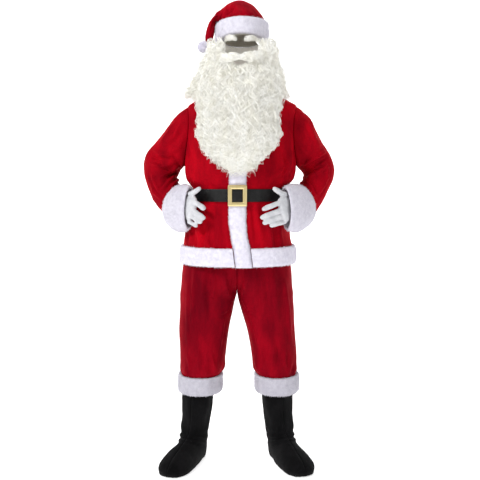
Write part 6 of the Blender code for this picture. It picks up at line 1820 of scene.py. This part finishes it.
def wig_cap():
    """Stretch cap of fine net under the hat."""
    m, t, b = nodes_of("wig_net")
    w = tex(t, "ShaderNodeTexWave", Scale=170.0, Distortion=0.4)
    w.bands_direction = "DIAGONAL"
    t.links.new(coords(t), w.inputs["Vector"])
    col = mix_colour(t, w.outputs["Color"], (0.42, 0.40, 0.35), (0.66, 0.64, 0.57))
    t.links.new(col, b.inputs["Base Color"])
    t.links.new(steps(t, w.outputs["Fac"], ((0.0, 0.9), (1.0, 0.75))), b.inputs["Roughness"])
    bump(t, b, w.outputs["Color"], 0.4, 0.0006)
    g = BAND_INNER
    z = np.concatenate([np.linspace(1.6740, 1.757, 26), np.linspace(1.757, 1.775, 9)[1:]])
    half = curve(WIG_CAP["z"], WIG_CAP["half"])(z)
    cols = 72
    tt = 2 * np.pi * np.arange(cols) / cols
    def ring(h, zz, cut):
        kk = h / 0.070
        x, y = oval(g["mid"], h - cut, -0.095 * kk + cut, 0.095 * kk - cut, tt)
        return np.stack([x, y, zz + arch(zz, tt)], -1)
    out = [ring(h - 0.0002, a, 0.0) for h, a in zip(half, z)]
    inn = [ring(h - 0.0002, a - 0.0008, 0.0013) for h, a in zip(half, z)]
    top = np.array([g["mid"], 0.0, WIG_CAP_TOP])
    for kk in (0.8, 0.55, 0.3, 0.05):
        rise = (WIG_CAP_TOP - 1.775) * (1 - kk ** 2)
        o = out[len(z) - 1].copy()
        o = top * (1 - kk) + o * kk
        o[:, 2] = 1.775 + rise
        out.append(o)
        inn.append(o - np.array([0, 0, 0.0013]))
    ob = shell("wig_cap_net", low(np.stack(out)), m, 0.001, closed=True, inner=low(np.stack(inn)))
    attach(ob, "root")
    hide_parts("wig_cap")
    return ob


B = {c: along(BEARD[c]) for c in BEARD}
BEARD_ROWS = len(BEARD["front"]) - 1


def beard_point(i, u, inside=False):
    i, u = np.broadcast_arrays(np.asarray(i, float), np.asarray(u, float))
    half, ys, front = (B["right"](i) - B["left"](i)) / 2, B["ys"](i), B["front"](i)
    thick = B["thick"](i)
    if inside:
        half, ys, front = half - np.minimum(0.014, 0.4 * half), ys + 0.25 * thick, front + thick
    a = np.abs(u)
    bow = np.maximum(0.0, 1 - a ** 2.3) ** 0.62
    return np.stack([(B["left"](i) + B["right"](i)) / 2 + half * u, ys + (front - ys) * bow,
                     B["zmid"](i) + (B["zside"](i) - B["zmid"](i)) * a ** 1.6], -1)


def beard_frame(i, u):
    e = 0.02
    p = beard_point(i, u)
    du = beard_point(i, np.clip(u + e, -0.995, 0.995)) - beard_point(i, np.clip(u - e, -0.995, 0.995))
    di = beard_point(np.clip(i + 0.1, 0, BEARD_ROWS), u) - beard_point(np.clip(i - 0.1, 0, BEARD_ROWS), u)
    n = unit(np.cross(du, di))
    n = n * np.sign(-n[..., 1:2] + 1e-9)
    return p, n


def beard():
    base = hair("beard_base", dark=(0.80, 0.785, 0.70), light=(0.90, 0.89, 0.84), base=True)
    mat = hair("beard_hair")
    i = np.linspace(0, BEARD_ROWS, 70)
    u = np.sin(np.pi / 2 * np.linspace(-1, 1, 60))
    ii, uu = np.meshgrid(i, u, indexing="ij")
    out, n = beard_frame(ii, np.clip(uu, -0.995, 0.995))
    edge = ramp(1 - np.abs(uu), 0.0, 0.08) * ramp(ii, 0, 0.4) * ramp(BEARD_ROWS - ii, 0, 0.8)
    rip = 0.0020 * np.sin(uu * 30 + 7 * noise(out, 0.07, 111) + ii * 2) + 0.0035 * noise(out, 0.028, 112, (1, 1, 2))
    out = out + n * ((rip - 0.0045) * edge)[..., None]
    inn = beard_point(ii, uu, True)
    ob = shell("beard_inside", low(out), base, 0.01, inner=low(inn))
    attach(ob, "root")
    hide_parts("beard")
    rng = np.random.default_rng(99)
    k = 15
    s = np.linspace(0, 1, k)[None, :]
    lines, norms, lift = [], [], []
    rows = np.linspace(0.0, BEARD_ROWS - 1.1, 15)
    for r, start in enumerate(rows):
        width = float((B["right"](start) - B["left"](start)))
        count = int(max(7, round(width / 0.0132)))
        u0 = ((np.arange(count) + 0.5 + rng.uniform(-0.35, 0.35, count)) / count * 2 - 1) * 0.985
        u0 = np.sign(u0) * np.abs(u0) ** 0.92
        reach = rng.uniform(3.2, 5.0, count)
        i0 = start + rng.uniform(-0.35, 0.35, count)
        i1 = np.minimum(i0 + reach, BEARD_ROWS - 0.02 + 0 * i0)
        il = np.clip(i0[:, None] + (i1 - i0)[:, None] * s, 0, BEARD_ROWS)
        drift = rng.normal(0, 0.07, (count, 1))
        ul = np.clip(u0[:, None] + drift * s, -0.99, 0.99)
        p, nn = beard_frame(il, ul)
        lines.append(p)
        norms.append(nn)
        lift.append(np.full((count, 1), 0.0) + 0.0040 * s ** 0.7)
    line, norm, up = np.concatenate(lines), np.concatenate(norms), np.concatenate(lift)
    line = line + norm * up[..., None]
    paths, radii = locks("beard", line, norm, mat, 5, 0.0092, 0.050, None, rng, radius=0.00124, spread=0.0046, slack=0.30, flat=0.8)
    cut = len(paths) // 3
    objs = [ob]
    for part, sl in (("upper", slice(0, cut)), ("middle", slice(cut, 2 * cut)), ("lower", slice(2 * cut, None))):
        h = tubes("beard_locks_" + part, low(paths[sl]), radii[sl], mat)
        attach(h, "root")
        objs.append(h)
    # loose ringlets over the lower edge and stray hairs
    count = 78
    uu = np.linspace(-0.97, 0.97, count) + rng.uniform(-0.02, 0.02, count)
    i0 = np.where(np.abs(uu) > 0.5, rng.uniform(4.5, 8.0, count), rng.uniform(7.0, 9.0, count))[:, None]
    il = np.clip(i0 + (BEARD_ROWS - i0) * s * rng.uniform(0.7, 1.0, (count, 1)), 0, BEARD_ROWS)
    p, nn = beard_frame(il, np.clip(uu[:, None] + 0 * s, -0.99, 0.99))
    p = p + s[..., None] ** 2 * np.stack([0.020 * uu * rng.random(count), 0 * uu, -0.024 * rng.random(count)], -1)[:, None, :]
    lp, lr = locks("ringlets", p, nn, mat, 3, 0.0105, 0.031, None, rng, radius=0.00080, spread=0.0026, slack=0.3, flat=0.9, rise=0.007)
    pick = rng.choice(len(line), 90, replace=False)
    fp, fr = locks("stray", line[pick], norm[pick], mat, 2, 0.0110, 0.036, None, rng, radius=0.00060, spread=0.0075, slack=0.7, rise=0.005)
    h = tubes("beard_ringlets", low(np.concatenate([lp, fp])), np.concatenate([lr, fr]), mat)
    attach(h, "root")
    objs.append(h)
    return objs


def moustache():
    base, mat = hair("moustache_base", base=True), hair("moustache_hair")
    M = {c: curve(MOUSTACHE["u"], MOUSTACHE[c]) for c in ("top", "low", "front", "thick")}
    x = np.linspace(MOUSTACHE["u"][0], MOUSTACHE["u"][-1], 90)
    sec = []
    for a in x:
        top, lo, fr, th = (float(M[c](a)) for c in ("top", "low", "front", "thick"))
        mid, h = (top + lo) / 2, (top - lo) / 2
        ang = np.linspace(0, 2 * np.pi, 18, endpoint=False)
        sec.append(np.stack([np.full(18, a), fr + th * 0.5 - 0.45 * th * np.cos(ang), mid + 0.86 * h * np.sin(ang)], -1))
    g = np.array(sec)
    g[..., 1] += 0.0012 * noise(g, 0.012, 121, (1, 1, 1)) + 0.002
    g[..., 2] -= 0.007
    ob = sweep("moustache_inside", low(g), base)
    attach(ob, "root")
    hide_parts("moustache")
    rng = np.random.default_rng(55)
    k = 15
    s = np.linspace(0, 1, k)[None, :]
    lines, norms = [], []
    for sgn in (-1, 1):
        count = 44
        x0 = 0.0065 + sgn * rng.uniform(0.0, 0.030, (count, 1)) * (rng.random((count, 1)) > 0.35)
        end = (-0.0715 if sgn < 0 else 0.0855)
        x1 = x0 + (end - x0) * rng.uniform(0.55, 1.0, (count, 1))
        v0 = rng.uniform(-0.1, 1.0, (count, 1))
        v1 = np.clip(v0 + rng.normal(-0.15, 0.25, (count, 1)), -1.0, 1.0)
        xx = x0 + (x1 - x0) * s
        v = v0 + (v1 - v0) * s
        top, lo, fr, th = (M[c](xx) for c in ("top", "low", "front", "thick"))
        z = (top + lo) / 2 + (top - lo) / 2 * v * 0.95
        y = fr + th * 0.5 - (0.55 * th + 0.001) * np.sqrt(np.clip(1 - (0.9 * v) ** 2, 0, 1))
        lines.append(np.stack([xx + 0.016 * sgn * s ** 2, y, z - 0.007 - 0.020 * s ** 2.5 * rng.uniform(0.3, 1.0, (count, 1))], -1))
        norms.append(unit(np.stack([0 * xx, -np.sqrt(np.clip(1 - (0.8 * v) ** 2, 0.05, 1)), 0.8 * v], -1)))
    line, norm = np.concatenate(lines), np.concatenate(norms)
    paths, radii = locks("moustache", line, norm, mat, 4, 0.0042, 0.040, None, rng, radius=0.00130, spread=0.0026, slack=0.8, flat=0.8)
    h = tubes("moustache_locks", low(paths), radii, mat)
    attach(h, "root")
    return [ob, h]


def eyebrow(node):
    base, mat = hair(node + "_base", (0.62, 0.61, 0.55), (0.80, 0.79, 0.74), base=True), hair(node + "_hair", (0.70, 0.69, 0.62), (0.90, 0.89, 0.85))
    path = [np.array(p) for p in BROWS[node]]
    at = lambda t: path[0] * (1 - t) ** 2 + 2 * path[1] * t * (1 - t) + path[2] * t * t
    sec = []
    for t in np.linspace(0, 1, 22):
        fat = 0.0022 + 0.0036 * math.sin(math.pi * min(1.0, 0.15 + t * 0.8))
        a = np.linspace(0, 2 * np.pi, 12, endpoint=False)
        sec.append(at(t) + np.stack([0 * a, 0.4 * fat * np.cos(a), fat * np.sin(a)], -1))
    ob = sweep(node + "_inside", low(np.array(sec)), base)
    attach(ob, "root")
    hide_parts(node)
    rng = np.random.default_rng(31 if node.endswith("left") else 32)
    count, k = 46, 12
    s = np.linspace(0, 1, k)[None, :]
    outer_end = 0.0                 # the table starts at the temple
    t0 = rng.uniform(0.45, 1.0, (count, 1))
    t1 = np.clip(t0 - rng.uniform(0.35, 0.62, (count, 1)), outer_end, 1)
    tt = t0 + (t1 - t0) * s
    p = (path[0] * ((1 - tt) ** 2)[..., None] + 2 * path[1] * (tt * (1 - tt))[..., None] + path[2] * (tt * tt)[..., None])
    fat = 0.0030 + 0.0055 * np.sin(np.pi * np.minimum(1.0, 0.15 + tt * 0.8))
    v = rng.uniform(-0.9, 0.9, (count, 1))
    p = p + np.stack([0 * tt, -0.45 * fat * np.sqrt(1 - v * v), fat * v * 0.95 + 0.002 * s * rng.random((count, 1))], -1)
    n = np.broadcast_to(np.array([0, -1.0, 0.15]), p.shape)
    paths, radii = locks(node, p, unit(n), mat, 3, 0.0022, 0.026, None, rng, radius=0.00085, spread=0.0020)
    h = tubes(node + "_hairs", low(paths), radii, mat)
    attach(h, "root")
    return [ob, h]


# ------------------------------------------------------------ gloves
def glove(side):
    name = "glove_" + side
    spec = GLOVE[side]
    mat = knit("white_knit_" + side)
    tab = spec["palm"]
    rows, cols = 26, 40
    s = np.linspace(0, len(tab["x"]) - 1, rows)
    c = np.stack([along(tab[k])(s) for k in "xyz"], -1)
    high, thick, lean = (along(tab[k])(s) for k in ("high", "thick", "lean"))
    way = unit(np.gradient(c, axis=0))
    up = unit(np.stack([lean, 0 * lean, 1 + 0 * lean], -1) - way * way[:, 2:3])
    across = unit(np.cross(way, up))
    start = np.linspace(0.014, 0.001, 5)[:, None]
    c = np.concatenate([c[:1] - way[:1] * start, c])
    rep = lambda a: np.concatenate([np.repeat(a[:1], 5, 0), a])
    high, thick, way, up, across = map(rep, (high, thick, way, up, across))
    t = 2 * np.pi * np.arange(cols) / cols
    ring = (c[:, None] + up[:, None] * (high[:, None] * power(np.cos(t), 0.8))[..., None]
            + across[:, None] * (thick[:, None] * power(np.sin(t), 0.8))[..., None])
    tips = [c[-1] + way[-1] * 0.006 + (ring[-1] - c[-1]) * q for q in (0.7, 0.35, 0.08)]
    ring = np.concatenate([ring, np.stack([c[-1] + way[-1] * 0.004 + (ring[-1] - c[-1]) * 0.85, *tips[:0], c[-1] + way[-1] * 0.008 + (ring[-1] - c[-1]) * 0.5,
                                           c[-1] + way[-1] * 0.009 + (ring[-1] - c[-1]) * 0.08])])
    bodies = [sweep(name + "_palm", ring, mat)]
    for fname, a, b, e, r0, r1 in spec["fingers"]:
        a, b, e = (np.array(q, float) for q in (a, b, e))
        q = np.concatenate([np.linspace(0, 0.90, 22), [0.93, 0.955, 0.975, 0.99, 0.998]])
        p = a * ((1 - q) ** 2)[:, None] + 2 * b * (q * (1 - q))[:, None] + e * (q * q)[:, None]
        total = np.linalg.norm(np.diff(p, axis=0), axis=1).sum()
        left = np.concatenate([np.cumsum(np.linalg.norm(np.diff(p, axis=0), axis=1)[::-1])[::-1], [0]]) + 0.0006
        r = r0 + (r1 - r0) * q
        r = r * np.where(left < r, np.sqrt(np.clip(1 - (1 - left / r) ** 2, 0.01, 1)), 1.0)
        r = r * (1 + 0.05 * np.sin(q * 9.5 + 0.8))
        d = unit(np.gradient(p, axis=0))
        fu = unit(np.array([0, 0, 1.0]) - d * d[:, 2:3])
        fs = np.cross(d, fu)
        tt = 2 * np.pi * np.arange(20) / 20
        g = p[:, None] + fu[:, None] * (r[:, None] * np.cos(tt))[..., None] + fs[:, None] * (r[:, None] * np.sin(tt))[..., None]
        bodies.append(sweep(name + "_" + fname, g, mat))
    ob = merge(name + "_knit", bodies)
    for kind, props in (("REMESH", dict(mode="VOXEL", voxel_size=0.0029)), ("SMOOTH", dict(factor=0.5, iterations=3))):
        mod = ob.modifiers.new(kind, kind)
        for k, v in props.items():
            setattr(mod, k, v)
    bake(ob)
    import bmesh
    bm = bmesh.new()
    bm.from_mesh(ob.data)
    start_at, start_way = c[5], way[5]
    bmesh.ops.bisect_plane(bm, geom=bm.verts[:] + bm.edges[:] + bm.faces[:], plane_co=Vector(start_at), plane_no=Vector(-start_way), clear_outer=True)
    loose = [v for v in bm.verts if not v.link_faces]
    bmesh.ops.delete(bm, geom=loose, context="VERTS")
    bm.to_mesh(ob.data)
    bm.free()
    co = np.empty(len(ob.data.vertices) * 3, np.float32)
    nr = np.empty(len(ob.data.vertices) * 3, np.float32)
    ob.data.vertices.foreach_get("co", co)
    ob.data.vertices.foreach_get("normal", nr)
    co, nr = co.reshape(-1, 3).astype(float), nr.reshape(-1, 3).astype(float)
    away = np.linalg.norm(co - start_at, axis=1)
    rib = 0.0005 * np.sin(away * 700) * (1 - ramp(away, 0.040, 0.075))
    crease = 0.0009 * noise(co, 0.012, 131) + 0.0006 * noise(co, 0.006, 132)
    co = co + nr * (crease + rib - 0.0004)[:, None]
    ob.data.vertices.foreach_set("co", low(co).astype(np.float32).ravel())
    mod = ob.modifiers.new("wall", "SOLIDIFY")
    mod.thickness, mod.offset = 0.0009, -1.0
    bake(ob)
    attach(ob, "root")
    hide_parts(name)
    return ob


def bake(ob):
    """Makes the modifiers' result the mesh itself."""
    bpy.context.view_layer.update()
    graph = bpy.context.evaluated_depsgraph_get()
    me = bpy.data.meshes.new_from_object(ob.evaluated_get(graph))
    ob.modifiers.clear()
    old = ob.data
    ob.data = me
    me.name = ob.name
    bpy.data.meshes.remove(old)
    me.polygons.foreach_set("use_smooth", np.ones(len(me.polygons), bool))
    me.update()


# ------------------------------------------------------------ build
jacket()
trim = {"hem": hem_band(), "placket": placket()}
strap, free_end, frame_piece = belt(), belt_end(), buckle()
sleeves = {"left": sleeve(1, SLEEVE_LEFT, ELBOW_LEFT), "right": sleeve(-1, SLEEVE_RIGHT, ELBOW_RIGHT)}
cuffs = {"left": cuff(1, SLEEVE_LEFT), "right": cuff(-1, SLEEVE_RIGHT)}
legs = {}
for leg, tab_ in (("left", LEG_LEFT), ("right", LEG_RIGHT)):
    # a darker copy of the red velvet for the trouser legs: painted shade
    red_ = velvet("red_velvet_leg_" + leg, 0.72)
    legs[leg] = [trouser_panel(tab_, True, red_), trouser_panel(tab_, False, red_)]
band = waistband()
leg_cuffs = {"left": leg_cuff(LEG_LEFT), "right": leg_cuff(LEG_RIGHT)}
boots = {}
for foot in ("left", "right"):
    black_ = felt("black_felt_" + foot)
    boots[foot] = [boot_half(foot, "outer", black_), boot_half(foot, "inner", black_)]
soles = [boot_sole("left"), boot_sole("right")]
hat_ = hat()
hat_trim = hat_band()
bobble = pompom()
hair_ = wig()
temples = temple_locks()
chin = chin_locks()
shoulder = shoulder_locks()
net = wig_cap()
beard_ = beard()
moustache_ = moustache()
brows = eyebrow("eyebrow_left") + eyebrow("eyebrow_right")
gloves = {"left": glove("left"), "right": glove("right")}


# ------------------------------------------------------------ stage, light and camera
def stage():
    m, t, b = nodes_of("pale_floor")
    n = tex(t, "ShaderNodeTexNoise", Scale=3.0, Detail=2.0)
    t.links.new(coords(t), n.inputs["Vector"])
    t.links.new(mix_colour(t, n.outputs["Fac"], (0.90, 0.90, 0.905), (0.93, 0.93, 0.935)), b.inputs["Base Color"])
    b.inputs["Roughness"].default_value = 0.8
    b.inputs["Specular IOR Level"].default_value = 0.1
    b.inputs["Emission Color"].default_value = (1.0, 1.0, 1.0, 1)
    b.inputs["Emission Strength"].default_value = 0.66
    z = -ORIGIN_Z
    v = np.array([(-14, -9, z), (14, -9, z), (14, 16, z), (-14, 16, z)], float)
    floor = mesh_object("floor", v, np.array([[0, 1, 2, 3]]), m, smooth=False)
    wm, wt, wb = nodes_of("backdrop_paper")
    wb.inputs["Base Color"].default_value = (0.9, 0.9, 0.9, 1)
    wb.inputs["Emission Color"].default_value = (1.0, 1.0, 1.0, 1)
    wb.inputs["Emission Strength"].default_value = 1.0
    wb.inputs["Roughness"].default_value = 0.9
    v = np.array([(-12, 8, z - 0.02), (12, 8, z - 0.02), (12, 8, z + 10), (-12, 8, z + 10)], float)
    mesh_object("backdrop", v, np.array([[0, 1, 2, 3]]), wm, smooth=False)
    w = bpy.data.worlds.new("studio")
    bpy.context.scene.world = w
    w.use_nodes = True
    bg = w.node_tree.nodes["Background"]
    bg.inputs["Color"].default_value = (1.0, 1.0, 1.0, 1.0)
    bg.inputs["Strength"].default_value = 0.42

    def area(name, at, to, size, power_):
        l = bpy.data.lights.new(name, "AREA")
        l.shape, l.size, l.energy = "SQUARE", size, power_
        o = bpy.data.objects.new(name, l)
        bpy.context.scene.collection.objects.link(o)
        o.location = at
        o.rotation_euler = (Vector(to) - Vector(at)).to_track_quat("-Z", "Y").to_euler()
    area("key", (-2.2, -2.7, 1.9), (0, 0, -0.4), 0.9, 98)
    area("fill", (2.4, -2.8, 0.4), (0, 0, -0.5), 2.2, 12)
    area("top", (0.3, 0.4, 2.4), (0, 0, -0.2), 1.8, 26)
    cam = bpy.data.cameras.new("camera")
    cam.lens, cam.sensor_width, cam.sensor_fit = 55.19, 36.0, "HORIZONTAL"
    cam.clip_start, cam.clip_end = 0.05, 60
    co = bpy.data.objects.new("camera", cam)
    bpy.context.scene.collection.objects.link(co)
    co.location = (CAM_X, CAM_Y, CAM_H - ORIGIN_Z)
    co.rotation_euler = (math.pi / 2 - PITCH, 0, 0)
    bpy.context.scene.camera = co
    bpy.context.scene.view_settings.view_transform = "Standard"


stage()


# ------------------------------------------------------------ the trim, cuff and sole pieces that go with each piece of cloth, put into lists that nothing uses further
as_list(trim["placket"])
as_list(trim["hem"])
for way_ in ("left", "right"):
    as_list(cuffs[way_])
    for leg_part in legs[way_]:
        trims = leg_cuffs[way_] if "front" in leg_part.name else []
        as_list(trims)
    for boot_part in boots[way_]:
        lower = [soles[0 if way_ == "left" else 1]] if "inner" in boot_part.name else []
